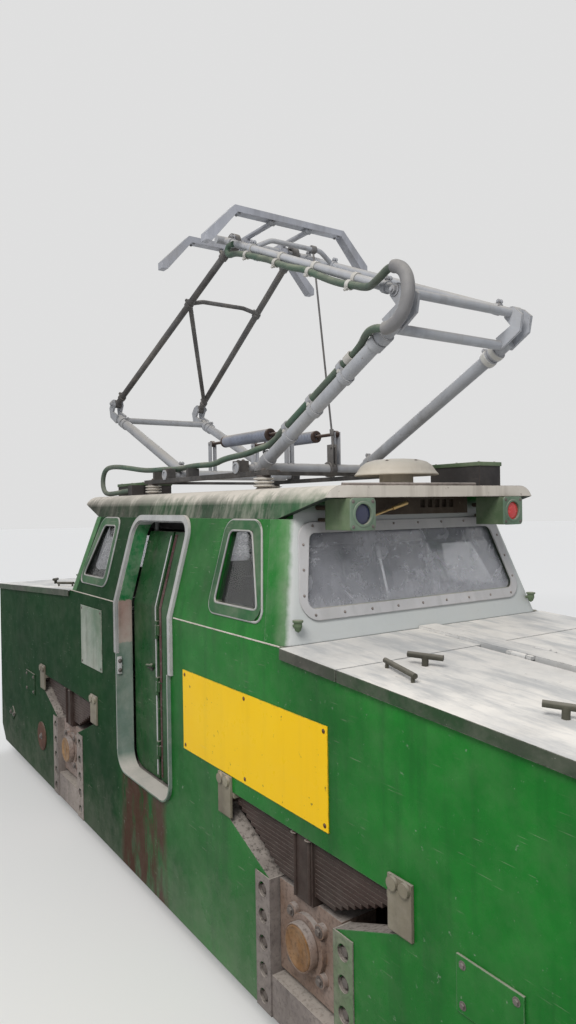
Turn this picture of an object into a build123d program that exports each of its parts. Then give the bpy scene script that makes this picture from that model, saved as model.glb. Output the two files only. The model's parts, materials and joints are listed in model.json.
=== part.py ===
from build123d import *
import math
import os

# Narrow-gauge mine electric locomotive with a centre cab, two sloping hoods and a diamond pantograph.
# Origin: middle of the locomotive, level with the lowest point of the wheel flanges.
# +X points to the front, +Y to the left, +Z up. Lengths are in millimetres, angles in degrees.

# Main body
HALF_LENGTH = 2450
HALF_WIDTH = 575
FRAME_BOTTOM = 90
BELT_Z = 1200
CAB_HALF = 966
FRAME_PLATE = 55
SKIN = 12
FRAME_TOP = 780
END_CHAMFER = 90
CLEARANCE = 5
RUNNING_GAP = 0.3

# Wheels and axles, 600 mm gauge
AXLE_X = 1040
TREAD_R = 350
FLANGE_R = 375
AXLE_Z = FLANGE_R
WHEEL_BACK_Y = 272
FLANGE_WIDTH = 28
WHEEL_WIDTH = 105
RIM_DEPTH = 55
HUB_R = 95
AXLE_R = 60
JOURNAL_R = 40
JOURNAL_END_Y = HALF_WIDTH - 45

# Openings in the side frames around the axle boxes, measured from the axle
CUTOUT_HALF = 430
CUTOUT_TOP = 690
CUTOUT_SHOULDER = 612
PEDESTAL_HALF = 160
PEDESTAL_TOP = 500
STAY_TOP = 215
GUIDE_LINER = 6
GUIDE_FLANGE = 75
GUIDE_PROUD = 4
POCKET_R = 22
POCKET_DEPTH = 16
POCKET_OFFSET = 195
POCKET_LOW_Z = 131
POCKET_PITCH = 81
POCKET_COUNT = 5

# Axle boxes and leaf springs
BOX_HALF = 148
BOX_BOTTOM = 235
BOX_INNER_Y = HALF_WIDTH - 150
BOX_OUTER_Y = HALF_WIDTH - 30
CAP_R = 62
CAP_END_Y = HALF_WIDTH + 9
CAP_FLANGE_R = 82
CAP_FLANGE = 16
LUG_R = 20
LUG_CIRCLE_R = 96
LEAF_COUNT = 11
LEAF_THICKNESS = 12
LEAF_PITCH = 13.2
LEAF_LONGEST = 405
LEAF_STEP = 27
LEAF_INNER_Y = HALF_WIDTH - 105
LEAF_OUTER_Y = HALF_WIDTH - 20
SPRING_TOP = 672
BUCKLE_HALF = 45
BUCKLE_WALL = 10
HANGER_WIDTH = 82
HANGER_PLATE = 8
HANGER_TOP = 738
HANGER_BOTTOM = 606
HANGER_HEAD_R = 17

# Floors and cross members
FLOOR_Z = 490
PLATE = 10
WELL_HALF = AXLE_X - 420
DECK_Z = 800
CROSS_BOTTOM = 130
CROSS_THICKNESS = 20
CROSS_INNER_X = AXLE_X - 600
CROSS_OUTER_X = AXLE_X + 580
MOTOR_HALF_WIDTH = 235
MOTOR_BOTTOM = 170
MOTOR_TOP = 465
MOTOR_TO_AXLE = 85
BEARING_R = 92
BEARING_LENGTH = 110
BEARING_CENTRE_Y = 150

# Brake gear
SHOE_DEPTH = 42
SHOE_HALF_ANGLE = 24
SHOE_WIDTH = 80
BRAKE_BEAM_R = 16
HANGER_BAR = 14

# Hoods, drawn flat from the cab wall and then tilted down towards the ends
HOOD_SLOPE = 3.26
HOOD_SHEET = 6
HOOD_OVERHANG = 11
HOOD_FLANGE_DEPTH = 32
STRIP_LENGTH = 264
RIDGE_HALF = 40
RIDGE_RISE = 9
HOOD_START = 2
LID_INNER_Y = 63
LID_HINGE_Y = 52
LID_HINGE_Z = 3
LID_PIN_R = 4
LID_BARREL_R = 8
LID_BARREL_LENGTH = 50
LID_LUG_LENGTH = 18
LID_HINGE_PLACES = (150, 620, 1080)

# Cab, leaning in above the belt
SIDE_LEAN = 15
SCREEN_LEAN = 16.4
WALL = 25
CORNER_R = 50
ROOF_SPLIT_Z = 1565
ROOF_Z = 1665
ROOF_ROLL_R = 70
VISOR_X = CAB_HALF + 64
VISOR_START_X = CAB_HALF - 166
VISOR_TIP_Z = 1628
VISOR_LIP = 15
POST_DEPTH = 95

# Windows
GLASS = 6
FRAME_WIDTH = 34
FRAME_PROUD = 6
SCREEN_LOW_Z = 1262
SCREEN_HIGH_Z = 1555
SCREEN_LOW_HALF = HALF_WIDTH - 75
SCREEN_HIGH_HALF = HALF_WIDTH - 133
SCREEN_R = 60
SIDE_WINDOW_R = 45
SIDE_WINDOW_LOW_Z = SCREEN_LOW_Z - 10
SIDE_WINDOW_HIGH_Z = SCREEN_HIGH_Z + 5
SIDE_WINDOW_LOW_X = CAB_HALF - 477, CAB_HALF - 125
SIDE_WINDOW_HIGH_X = CAB_HALF - 470, CAB_HALF - 250

# Folding doors
DOOR_REAR_X = -312
DOOR_FRONT_X = 210
DOOR_TOP_Z = 1552
SILL_Z = 490
DOOR_LOW_R = 84
DOOR_HIGH_R = 66
LINER = 6
LINER_DEPTH = 62
LINER_PROUD = 14
TRIM_END_Z = 985
TRIM_WIDTH = 24
TRIM_PROUD = 12
LEAF_DEPTH = 70
LEAF_WALL = 25
LEAF_GAP = 6
DOOR_LEAF_TOP_Z = 1505
FOLD_GAP = 9
FOLD_OUTSIDE = 5
FOLD_PIN_R = 4
FOLD_EYE_R = 7
FOLD_EYE_LENGTH = 40
FOLD_HINGE_PLACES = (620, 880, 1110)
POST_R = 10
POST_Y = HALF_WIDTH - 190
ARM_EYE_R = 19
ARM_HEIGHT = 16
RAIL_SLOT = 14
RAIL_WIDTH = 40
RAIL_LOW_Z = 1558
RAIL_HEIGHT = 20
RAIL_START_X = -70
RAIL_WALL = 13
ROLLER_R = 6
HANDLE_Z = 955
HANDLE_FROM_FOLD = 67
HANDLE_PROUD = 10
HANDLE_HALF = 30
HANDLE_R = 6

# Lamps under the visors
LAMP_SIZE = 95
LAMP_TOP_Z = 1626
LAMP_FRONT_X = VISOR_X + 15
LAMP_DEPTH = 120
LAMP_Y = HALF_WIDTH - 240
LENS_R = 31
LENS_DEPTH = 6

# Plates on the body sides: spans along the side and in height
SIGN_X = DOOR_FRONT_X + 110, DOOR_FRONT_X + 970
SIGN_Z = BELT_Z - 458, BELT_Z - 175
NOTICE_X = DOOR_REAR_X - 480, DOOR_REAR_X - 200
NOTICE_Z = BELT_Z - 338, BELT_Z - 56
COVER_X = AXLE_X + 590, AXLE_X + 766
COVER_Z = AXLE_Z + 155, AXLE_Z + 277
PLATE_PROUD = 3
COVER_PROUD = 6
ROUND_COVER_X = AXLE_X + 460
ROUND_COVER_Z = AXLE_Z - 45
ROUND_COVER_R = 78
LUG_X = HALF_LENGTH - 300
LUG_Z = AXLE_Z - 60
LUG_HALF_LENGTH = 60
LUG_HALF_HEIGHT = 45

# Knobs at the lower corners of the windscreens
KNOB_X = CAB_HALF + 6
KNOB_Y = SCREEN_LOW_HALF + 22
KNOB_TOP_Z = SCREEN_LOW_Z + 12
KNOB_R = 16
KNOB_DEPTH = 36

# Panel with a grille between the lamps
PANEL_X = CAB_HALF - 66
PANEL_LOW_Z = 1572
PANEL_HALF_WIDTH = LAMP_Y - 65
GRILLE_Y = -200
GRILLE_PITCH = 34
GRILLE_COUNT = 5
GRILLE_SLOT = 24
GRILLE_LOW_Z = 1594
GRILLE_HIGH_Z = 1622
GRILLE_DEPTH = 12

# Cab fittings
SEAT_HALF_WIDTH = 210
SEAT_HEIGHT = 65
SEAT_INSET = 20
CONTROLLER_SIDE = 180
CONTROLLER_X = WELL_HALF + 150
CONTROLLER_Y = HALF_WIDTH - 215
CONTROLLER_TOP_Z = 1090
CONTROLLER_CAP = 20
CRANK_STEM = 45
CRANK_REACH = 120
CRANK_WIDTH = 20
CRANK_HEIGHT = 12
KNOB_GRIP = 38

# Couplers and end beams
BEAM_DEPTH = 50
BEAM_HALF_WIDTH = HALF_WIDTH - 145
BEAM_LOW_Z = 230
BEAM_HIGH_Z = 620
COUPLER_Z = 400
COUPLER_LENGTH = 150
COUPLER_END_X = HALF_LENGTH + BEAM_DEPTH + COUPLER_LENGTH
COUPLER_HALF_WIDTH = 130
COUPLER_HALF_HEIGHT = 85
COUPLER_MOUTH = 64
COUPLER_BLOCK_HALF = 90
COUPLER_MOUTH_DEPTH = 110
COUPLER_PIN_R = 17
COUPLER_PIN_X = COUPLER_END_X - 55

# Pantograph, a diamond of two lower and two upper frames
SHAFT_Z = 1750
FRONT_SHAFT_X = 340
REAR_SHAFT_X = -290
LOWER_ARM = 925
UPPER_ARM = 1242
FRONT_ANGLE = 31
REAR_ANGLE = 27
SHAFT_R = 22
STUB_R = 14
ARM_Y = 250
LOWER_R = 23
UPPER_R = 15
FRONT_APEX_Y = 190
REAR_APEX_Y = 150
NECK_START = 862
NECK_DROP = 62
KNUCKLE_PIN_R = 12
KNUCKLE_PLATE = 10
KNUCKLE_EYE_R = 24
KNUCKLE_EYE_WIDTH = 32
KNUCKLE_SIDE_GAP = 1
KNUCKLE_TUBE_R = 14
CROSS_TUBE_R = 16
CROSS_TUBE_AT = 835
BOW_R = 10
FRONT_BOW_AT = 250
REAR_BOW_AT = 400
BOW_RISE = 45
BRACE_R = 11
APEX_SHAFT_R = 16
APEX_HALF = 235
REAR_EYE_BORE_R = 25
REAR_EYE_R = 36

# Raising springs between levers on the two shafts
LEVER_LENGTH = 145
LEVER_WIDTH = 24
LEVER_PLATE = 6
LEVER_PIN_R = 6
LEVER_EYE_R = 14
LEVER_EYE_WIDTH = 16
SPRING_Y = 115
SPRING_R = 26
SPRING_WIRE = 8
SPRING_PITCH = 11
SPRING_GROOVE = 3
SPRING_REAR_X = -170
SPRING_FRONT_X = 210
SPRING_ROD_R = 7
SPRING_ROD_END_X = 25
SPRING_CAP = 12

# Pan head
PAN_RAIL_X = 200
PAN_RAIL_WIDTH = 42
PAN_RAIL_HEIGHT = 26
PAN_TOP_RISE = 62
PAN_SHOULDER_Y = 270
PAN_TIP_Y = 400
PAN_TIP_DROP = 160
PAN_CARRIER_Y = 120
PAN_CARRIER_R = 11

# Pantograph base
BASE_RAIL_Y = HALF_WIDTH - 240
BASE_RAIL_WIDTH = 40
BASE_RAIL_HEIGHT = 18
BASE_BAR_HEIGHT = 12
BASE_FRONT_X = 560
BASE_REAR_X = -520
INSULATOR_R = 38
INSULATOR_HEIGHT = 50
BEARING_BLOCK = 52
FRONT_INSULATOR_X = 500
REAR_INSULATOR_X = -460

# Roof fittings
DOME_X = CAB_HALF - 206
DOME_Y = 60
DOME_R = 150
DOME_STEM_HEIGHT = 42
DOME_HEIGHT = 102
FRONT_BOX_X = CAB_HALF - 266, CAB_HALF - 26
FRONT_BOX_Y = HALF_WIDTH - 285, HALF_WIDTH - 175
FRONT_BOX_HEIGHT = 85
REAR_BOX_X = 66 - CAB_HALF, 366 - CAB_HALF
REAR_BOX_Y = 240 - HALF_WIDTH, 395 - HALF_WIDTH
REAR_BOX_HEIGHT = 60
TERMINAL_LENGTH = 50
TERMINAL_HALF = 30

# Power cable: places of its line along the roof, at the front shaft and round the knuckle
CABLE_R = 12
ARM_CABLE_R = 15
CABLE_LEAD = 60
ARM_CABLE_START = 170
ARM_CABLE_END = 640
UPPER_CABLE_START = 200
UPPER_CABLE_END = 1120
CLAMP_PLACES = (230, 400, 590)
CLAMP_WALL = 5
CLAMP_LENGTH = 22
COLLAR_START = 785
COLLAR_LENGTH = 26
COLLAR_WALL = 6
SADDLE_PLACES = (-455, -110)
SADDLE_LENGTH = 20
ROOF_CABLE = [(-640, -358, 1690), (-735, -358, 1690), (-850, -372, 1679), (-957, -381, 1678), (-996, -382, 1717),
              (-996, -380, 1772), (-957, -376, 1811), (-860, -366, 1816), (-730, -342, 1802), (-620, -316, 1786),
              (-520, -301, 1782), (-420, -299, 1782), (-270, -296, 1775), (-160, -294, 1782), (-60, -295, 1782),
              (60, -297, 1778), (150, -295, 1798), (250, -294, 1802)]
TURN_CABLE = [(250, -294, 1802), (320, -293.3, 1804.8), (375, -281, 1820)]
KNUCKLE_CABLE = [(1010, -281, 2126), (1075, -303, 2126), (1140, -306, 2108), (1196, -304, 2138), (1222, -302, 2200),
                 (1203, -300, 2264), (1146, -298, 2292), (1075, -290, 2268)]


def prism(points, axis, span, radius=None):
    """A straight prism along "x", "y" or "z"; each point gives the other two places in that order."""
    place = "xyz".index(axis)
    low, high = span
    corners = [point[:place] + (low,) + point[place:] for point in points]
    if radius is None:
        wire = Polyline(*corners, close=True)
    else:
        wire = FilletPolyline(*corners, radius=radius, close=True)
    direction = [0, 0, 0]
    direction[place] = 1
    return extrude(make_face(wire), amount=high - low, dir=tuple(direction))


def block(x_span, y_span, z_span):
    """A box between two places along each axis."""
    spans = (x_span, y_span, z_span)
    middle = [(low + high) / 2 for low, high in spans]
    size = [high - low for low, high in spans]
    return Pos(*middle) * Box(*size)


def rod(start, end, radius):
    """A round bar from one point to another."""
    run = Vector(*end) - Vector(*start)
    return extrude(Plane(origin=start, z_dir=run) * Circle(radius), amount=run.length)


def cross_rod(x, z, y_span, radius):
    """A round bar across the locomotive."""
    return rod((x, y_span[0], z), (x, y_span[1], z), radius)


def joined(pieces):
    """One node of the given pieces: those that touch become one solid."""
    return Part() + list(pieces)


def on_left(shape):
    """The same piece on the other side of the locomotive."""
    return mirror(shape, about=Plane.XZ)


def at_rear(shape):
    """The same piece at the other end of the locomotive."""
    return mirror(shape, about=Plane.YZ)


def both_sides(shape):
    return [shape, on_left(shape)]


def both_ends(shape):
    return [shape, at_rear(shape)]


def all_corners(shape):
    return both_sides(shape) + [at_rear(each) for each in both_sides(shape)]


def side_y(z, inset=0):
    """Distance from the centre line of the body side at a height; inset is measured level, inwards."""
    return HALF_WIDTH - inset - max(z - BELT_Z, 0) * math.tan(math.radians(SIDE_LEAN))


def screen_x(z, inset=0):
    """Place of the leaning windscreen wall at a height."""
    return CAB_HALF - inset - (z - BELT_Z) * math.tan(math.radians(SCREEN_LEAN))


def right_layer(outer, inner, x_span, z_span):
    """A layer of the right body side between two insets, following the bend at the belt."""
    low, high = z_span
    heights = [low] + ([BELT_Z] if low < BELT_Z < high else []) + [high]
    outside = [(-side_y(z, outer), z) for z in heights]
    inside = [(-side_y(z, inner), z) for z in reversed(heights)]
    return prism(outside + inside, "x", x_span)


def screen_layer(outer, inner, z_span):
    """A layer of the front windscreen wall between two insets."""
    low, high = z_span
    outline = [(screen_x(low, outer), low), (screen_x(high, outer), high)]
    outline += [(screen_x(high, inner), high), (screen_x(low, inner), low)]
    return prism(outline, "y", (-HALF_WIDTH, HALF_WIDTH))


# Side frames: one thick plate below, a thinner skin above, open around each axle box
def hood_line(x, below=0):
    """Height of the hood's upper surface at a place along the locomotive."""
    return BELT_Z - below - (abs(x) - CAB_HALF) * math.tan(math.radians(HOOD_SLOPE))


def cutout_points(axle_x, bottom):
    ends = axle_x - CUTOUT_HALF, axle_x + CUTOUT_HALF
    jambs = axle_x - PEDESTAL_HALF, axle_x + PEDESTAL_HALF
    points = [(jambs[0], bottom), (jambs[0], PEDESTAL_TOP), (ends[0], CUTOUT_SHOULDER), (ends[0], CUTOUT_TOP)]
    points += [(ends[1], CUTOUT_TOP), (ends[1], CUTOUT_SHOULDER), (jambs[1], PEDESTAL_TOP), (jambs[1], bottom)]
    return points


def door_outline(inset):
    """Door opening seen from the side, each edge moved inwards by the inset."""
    rear, front = DOOR_REAR_X + inset, DOOR_FRONT_X - inset
    low, high = SILL_Z + inset, DOOR_TOP_Z - inset
    return [(rear, low), (front, low), (front, high), (rear, high)]


def door_prism(inset, y_span):
    radii = [DOOR_LOW_R - inset, DOOR_LOW_R - inset, DOOR_HIGH_R - inset, DOOR_HIGH_R - inset]
    return prism(door_outline(inset), "y", y_span, radius=radii)


def side_frame():
    top_gap = HOOD_SHEET + CLEARANCE
    end_x = HALF_LENGTH
    outline = [(-end_x + END_CHAMFER, FRAME_BOTTOM), (end_x - END_CHAMFER, FRAME_BOTTOM)]
    outline += [(end_x, FRAME_BOTTOM + END_CHAMFER), (end_x, hood_line(end_x, top_gap))]
    outline += [(CAB_HALF, BELT_Z - top_gap), (CAB_HALF, BELT_Z), (-CAB_HALF, BELT_Z)]
    outline += [(-CAB_HALF, BELT_Z - top_gap), (-end_x, hood_line(end_x, top_gap))]
    outline += [(-end_x, FRAME_BOTTOM + END_CHAMFER)]
    frame = prism(outline, "y", (-HALF_WIDTH, -HALF_WIDTH + FRAME_PLATE))
    skin_side = (-HALF_WIDTH + SKIN, -HALF_WIDTH + FRAME_PLATE)
    frame -= block((-end_x, end_x), skin_side, (FRAME_TOP, BELT_Z))
    frame -= door_prism(0, (-HALF_WIDTH, 0))
    for axle_x in (-AXLE_X, AXLE_X):
        frame -= prism(cutout_points(axle_x, FRAME_BOTTOM), "y", (-HALF_WIDTH, 0))
        for row in range(POCKET_COUNT):
            height = POCKET_LOW_Z + row * POCKET_PITCH
            for side in (-POCKET_OFFSET, POCKET_OFFSET):
                frame -= cross_rod(axle_x + side, height, (-HALF_WIDTH, -HALF_WIDTH + POCKET_DEPTH), POCKET_R)
    return frame


def horn_guide():
    """Liners beside one axle box, joined by the stay under it."""
    outer_y = -HALF_WIDTH - GUIDE_PROUD
    inner_y = -HALF_WIDTH + FRAME_PLATE
    edge = PEDESTAL_HALF
    pieces = [block((AXLE_X - edge, AXLE_X + edge), (-HALF_WIDTH, inner_y), (FRAME_BOTTOM, STAY_TOP))]
    for side in (-1, 1):
        web = sorted((AXLE_X + side * edge, AXLE_X + side * (edge - GUIDE_LINER)))
        flange = sorted((AXLE_X + side * (edge + GUIDE_FLANGE), AXLE_X + side * (edge - GUIDE_LINER)))
        pieces.append(block(web, (-HALF_WIDTH, inner_y), (FRAME_BOTTOM, PEDESTAL_TOP)))
        strip = block(flange, (outer_y, -HALF_WIDTH), (FRAME_BOTTOM, PEDESTAL_TOP))
        for row in range(POCKET_COUNT):
            height = POCKET_LOW_Z + row * POCKET_PITCH
            strip -= cross_rod(AXLE_X + side * POCKET_OFFSET, height, (outer_y, -HALF_WIDTH), POCKET_R)
        pieces.append(strip)
    return joined(pieces)


def axle_box():
    body = block((AXLE_X - BOX_HALF, AXLE_X + BOX_HALF), (-BOX_OUTER_Y, -BOX_INNER_Y), (BOX_BOTTOM, PEDESTAL_TOP))
    body -= cross_rod(AXLE_X, AXLE_Z, (-JOURNAL_END_Y - CLEARANCE, -BOX_INNER_Y), JOURNAL_R + RUNNING_GAP)
    pieces = [body, cross_rod(AXLE_X, AXLE_Z, (-CAP_END_Y, -BOX_OUTER_Y), CAP_R)]
    flange_y = (-BOX_OUTER_Y - CAP_FLANGE, -BOX_OUTER_Y)
    pieces.append(cross_rod(AXLE_X, AXLE_Z, flange_y, CAP_FLANGE_R))
    for angle in (45, 135, 225, 315):
        turn = math.radians(angle)
        place = AXLE_X + LUG_CIRCLE_R * math.cos(turn), AXLE_Z + LUG_CIRCLE_R * math.sin(turn)
        pieces.append(cross_rod(*place, flange_y, LUG_R))
    return joined(pieces)


def leaf_spring():
    """Loaded leaf spring, longest leaf on top, held by a buckle that stands on the axle box."""
    pieces = []
    for leaf in range(LEAF_COUNT):
        top = SPRING_TOP - leaf * LEAF_PITCH
        half = LEAF_LONGEST - leaf * LEAF_STEP
        span = (AXLE_X - half, AXLE_X + half)
        pieces.append(block(span, (-LEAF_OUTER_Y, -LEAF_INNER_Y), (top - LEAF_THICKNESS, top)))
    buckle_x = (AXLE_X - BUCKLE_HALF, AXLE_X + BUCKLE_HALF)
    buckle_y = (-LEAF_OUTER_Y - BUCKLE_WALL, -LEAF_INNER_Y + BUCKLE_WALL)
    pieces.append(block(buckle_x, buckle_y, (PEDESTAL_TOP, SPRING_TOP + BUCKLE_WALL)))
    return joined(pieces)


def spring_hanger(side):
    """Bracket over one end of a leaf spring, bolted to the outside of the frame."""
    outer_end = AXLE_X + side * (CUTOUT_HALF + HANGER_WIDTH / 3)
    inner_end = outer_end - side * HANGER_WIDTH
    x_span = sorted((outer_end, inner_end))
    plate = block(x_span, (-HALF_WIDTH - HANGER_PLATE, -HALF_WIDTH), (HANGER_BOTTOM, HANGER_TOP))
    leaf_end = AXLE_X + side * LEAF_LONGEST
    shoe_x = sorted((leaf_end, leaf_end - side * HANGER_WIDTH / 2))
    shoe = block(shoe_x, (-HALF_WIDTH, -LEAF_INNER_Y), (SPRING_TOP + RUNNING_GAP, CUTOUT_TOP - RUNNING_GAP))
    pieces = [plate, shoe]
    head_y = (-HALF_WIDTH - 2 * HANGER_PLATE, -HALF_WIDTH - HANGER_PLATE)
    for share in (0.25, 0.75):
        head_x = x_span[0] + share * HANGER_WIDTH
        pieces.append(cross_rod(head_x, HANGER_TOP - HANGER_HEAD_R, head_y, HANGER_HEAD_R))
    return joined(pieces)


def wheelset(axle_x):
    """Two flanged wheels on their axle, turned about the axle's centre line."""
    back, front = WHEEL_BACK_Y, WHEEL_BACK_Y + WHEEL_WIDTH
    web_low = (back + front) / 2 - WHEEL_WIDTH / 6
    web_high = (back + front) / 2 + WHEEL_WIDTH / 6
    rim_r = TREAD_R - RIM_DEPTH
    profile = [(0, 0), (AXLE_R, 0), (AXLE_R, back - CLEARANCE), (HUB_R, back - CLEARANCE), (HUB_R, web_low)]
    profile += [(rim_r, web_low), (rim_r, back), (FLANGE_R, back), (FLANGE_R, back + FLANGE_WIDTH / 2)]
    profile += [(TREAD_R, back + FLANGE_WIDTH), (TREAD_R - 2, front), (rim_r, front), (rim_r, web_high)]
    profile += [(HUB_R, web_high), (HUB_R, front), (JOURNAL_R, front), (JOURNAL_R, JOURNAL_END_Y), (0, JOURNAL_END_Y)]
    face = make_face(Polyline(*[(radius, y, 0) for radius, y in profile], close=True))
    half = revolve(face, axis=Axis.Y)
    return Pos(axle_x, 0, AXLE_Z) * (half + on_left(half))


def motor():
    """Traction motor hung on the axle by two bearings, its nose on the cross member."""
    nose_x = CROSS_INNER_X + CROSS_THICKNESS
    sides = (-MOTOR_HALF_WIDTH, MOTOR_HALF_WIDTH)
    pieces = [block((nose_x, AXLE_X - MOTOR_TO_AXLE), sides, (MOTOR_BOTTOM, MOTOR_TOP))]
    for middle in (-BEARING_CENTRE_Y, BEARING_CENTRE_Y):
        span = (middle - BEARING_LENGTH / 2, middle + BEARING_LENGTH / 2)
        pieces.append(cross_rod(AXLE_X, AXLE_Z, span, BEARING_R))
    body = joined(pieces)
    return body - cross_rod(AXLE_X, AXLE_Z, sides, AXLE_R + RUNNING_GAP)


def cross_members():
    inner_y = HALF_WIDTH - FRAME_PLATE
    low = block((CROSS_INNER_X, CROSS_INNER_X + CROSS_THICKNESS), (-inner_y, inner_y), (CROSS_BOTTOM, FLOOR_Z - PLATE))
    high = block((CROSS_OUTER_X, CROSS_OUTER_X + CROSS_THICKNESS), (-inner_y, inner_y), (CROSS_BOTTOM, DECK_Z - PLATE))
    return joined(both_ends(low) + both_ends(high))


def cab_floor():
    """Low floor between the wheels with a riser up to each deck."""
    inner_y = HALF_WIDTH - FRAME_PLATE
    floor = block((-WELL_HALF, WELL_HALF), (-inner_y, inner_y), (FLOOR_Z - PLATE, FLOOR_Z))
    riser = block((WELL_HALF - PLATE, WELL_HALF), (-inner_y, inner_y), (FLOOR_Z, DECK_Z - PLATE))
    return joined([floor] + both_ends(riser))


def deck():
    """Floor of one hood, running on into the cab as a bench, with the wall between them."""
    narrow_y = HALF_WIDTH - FRAME_PLATE
    wide_y = HALF_WIDTH - SKIN
    plate = block((WELL_HALF - PLATE, HALF_LENGTH - SKIN), (-wide_y, wide_y), (DECK_Z - PLATE, DECK_Z))
    bulkhead = block((CAB_HALF - SKIN, CAB_HALF), (-wide_y, wide_y), (DECK_Z, BELT_Z))
    ledge = block((WELL_HALF - PLATE, HALF_LENGTH - SKIN), (-narrow_y, narrow_y), (FRAME_TOP, DECK_Z - PLATE))
    return joined([plate, bulkhead]) - ledge


def brake_gear():
    """Two brake shoes behind the outer side of the wheels, hung from the deck and tied by a beam."""
    inner_r = TREAD_R + CLEARANCE + 1
    outer_r = inner_r + SHOE_DEPTH
    turns = [math.radians(angle) for angle in (-SHOE_HALF_ANGLE, 0, SHOE_HALF_ANGLE)]
    rim = [[(AXLE_X + r * math.cos(turn), 0, AXLE_Z + r * math.sin(turn)) for turn in turns] for r in (inner_r, outer_r)]
    edges = [ThreePointArc(*rim[0]), Line(rim[0][2], rim[1][2]), ThreePointArc(*reversed(rim[1])), Line(rim[1][0], rim[0][0])]
    middle_y = WHEEL_BACK_Y + FLANGE_WIDTH + (WHEEL_WIDTH - FLANGE_WIDTH) / 2
    shoe = extrude(make_face(edges), amount=SHOE_WIDTH / 2, both=True)
    shoe = Pos(0, -middle_y, 0) * shoe
    bar_x = (AXLE_X + outer_r - 2, AXLE_X + outer_r + HANGER_BAR)
    bar_y = (-middle_y - SHOE_WIDTH / 4, -middle_y + SHOE_WIDTH / 4)
    bar = block(bar_x, bar_y, (AXLE_Z - SHOE_WIDTH, DECK_Z - PLATE))
    beam = cross_rod(bar_x[1] + BRAKE_BEAM_R - 2, AXLE_Z, (-middle_y - SHOE_WIDTH / 2, middle_y + SHOE_WIDTH / 2), BRAKE_BEAM_R)
    return joined(both_sides(shoe) + both_sides(bar) + [beam])


def end_beam():
    """End plate of the hood with the thick beam that carries the coupler."""
    top = hood_line(HALF_LENGTH, HOOD_SHEET + CLEARANCE)
    wide_y = HALF_WIDTH - SKIN
    narrow_y = HALF_WIDTH - FRAME_PLATE
    high = block((HALF_LENGTH - SKIN, HALF_LENGTH), (-wide_y, wide_y), (FRAME_TOP, top))
    low = block((HALF_LENGTH - SKIN, HALF_LENGTH), (-narrow_y, narrow_y), (FRAME_BOTTOM + END_CHAMFER, FRAME_TOP))
    beam = block((HALF_LENGTH, HALF_LENGTH + BEAM_DEPTH), (-BEAM_HALF_WIDTH, BEAM_HALF_WIDTH), (BEAM_LOW_Z, BEAM_HIGH_Z))
    return joined([high, low, beam])


def coupler():
    """Central buffer with an upright pin through the two jaws of its mouth."""
    start = HALF_LENGTH + BEAM_DEPTH
    body = block((start, COUPLER_END_X - 40), (-COUPLER_BLOCK_HALF, COUPLER_BLOCK_HALF),
                 (COUPLER_Z - COUPLER_HALF_HEIGHT, COUPLER_Z + COUPLER_HALF_HEIGHT))
    head = prism([(COUPLER_END_X - 45, -COUPLER_HALF_WIDTH), (COUPLER_END_X - 15, -COUPLER_HALF_WIDTH),
                  (COUPLER_END_X, -COUPLER_HALF_WIDTH / 2), (COUPLER_END_X, COUPLER_HALF_WIDTH / 2),
                  (COUPLER_END_X - 15, COUPLER_HALF_WIDTH), (COUPLER_END_X - 45, COUPLER_HALF_WIDTH)],
                 "z", (COUPLER_Z - COUPLER_HALF_HEIGHT, COUPLER_Z + COUPLER_HALF_HEIGHT))
    mouth = block((COUPLER_END_X - COUPLER_MOUTH_DEPTH, COUPLER_END_X), (-COUPLER_HALF_WIDTH, COUPLER_HALF_WIDTH),
                  (COUPLER_Z - COUPLER_MOUTH / 2, COUPLER_Z + COUPLER_MOUTH / 2))
    pin_hole = Pos(COUPLER_PIN_X, 0, COUPLER_Z) * Cylinder(COUPLER_PIN_R, 2 * COUPLER_HALF_HEIGHT)
    return joined([body, head]) - mouth - pin_hole


# Hoods
HOOD_LENGTH = (HALF_LENGTH - CAB_HALF) / math.cos(math.radians(HOOD_SLOPE))
HOOD_EDGE_Y = HALF_WIDTH + HOOD_OVERHANG
FRONT_HOOD = Pos(CAB_HALF, 0, BELT_Z) * Rot(0, HOOD_SLOPE, 0)


def hood_flange(x_span, side=-1):
    """Turned-down edge along one side of the hood sheets."""
    y_span = sorted((side * (HOOD_EDGE_Y - HOOD_SHEET), side * HOOD_EDGE_Y))
    return block(x_span, y_span, (-HOOD_FLANGE_DEPTH, 0))


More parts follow.
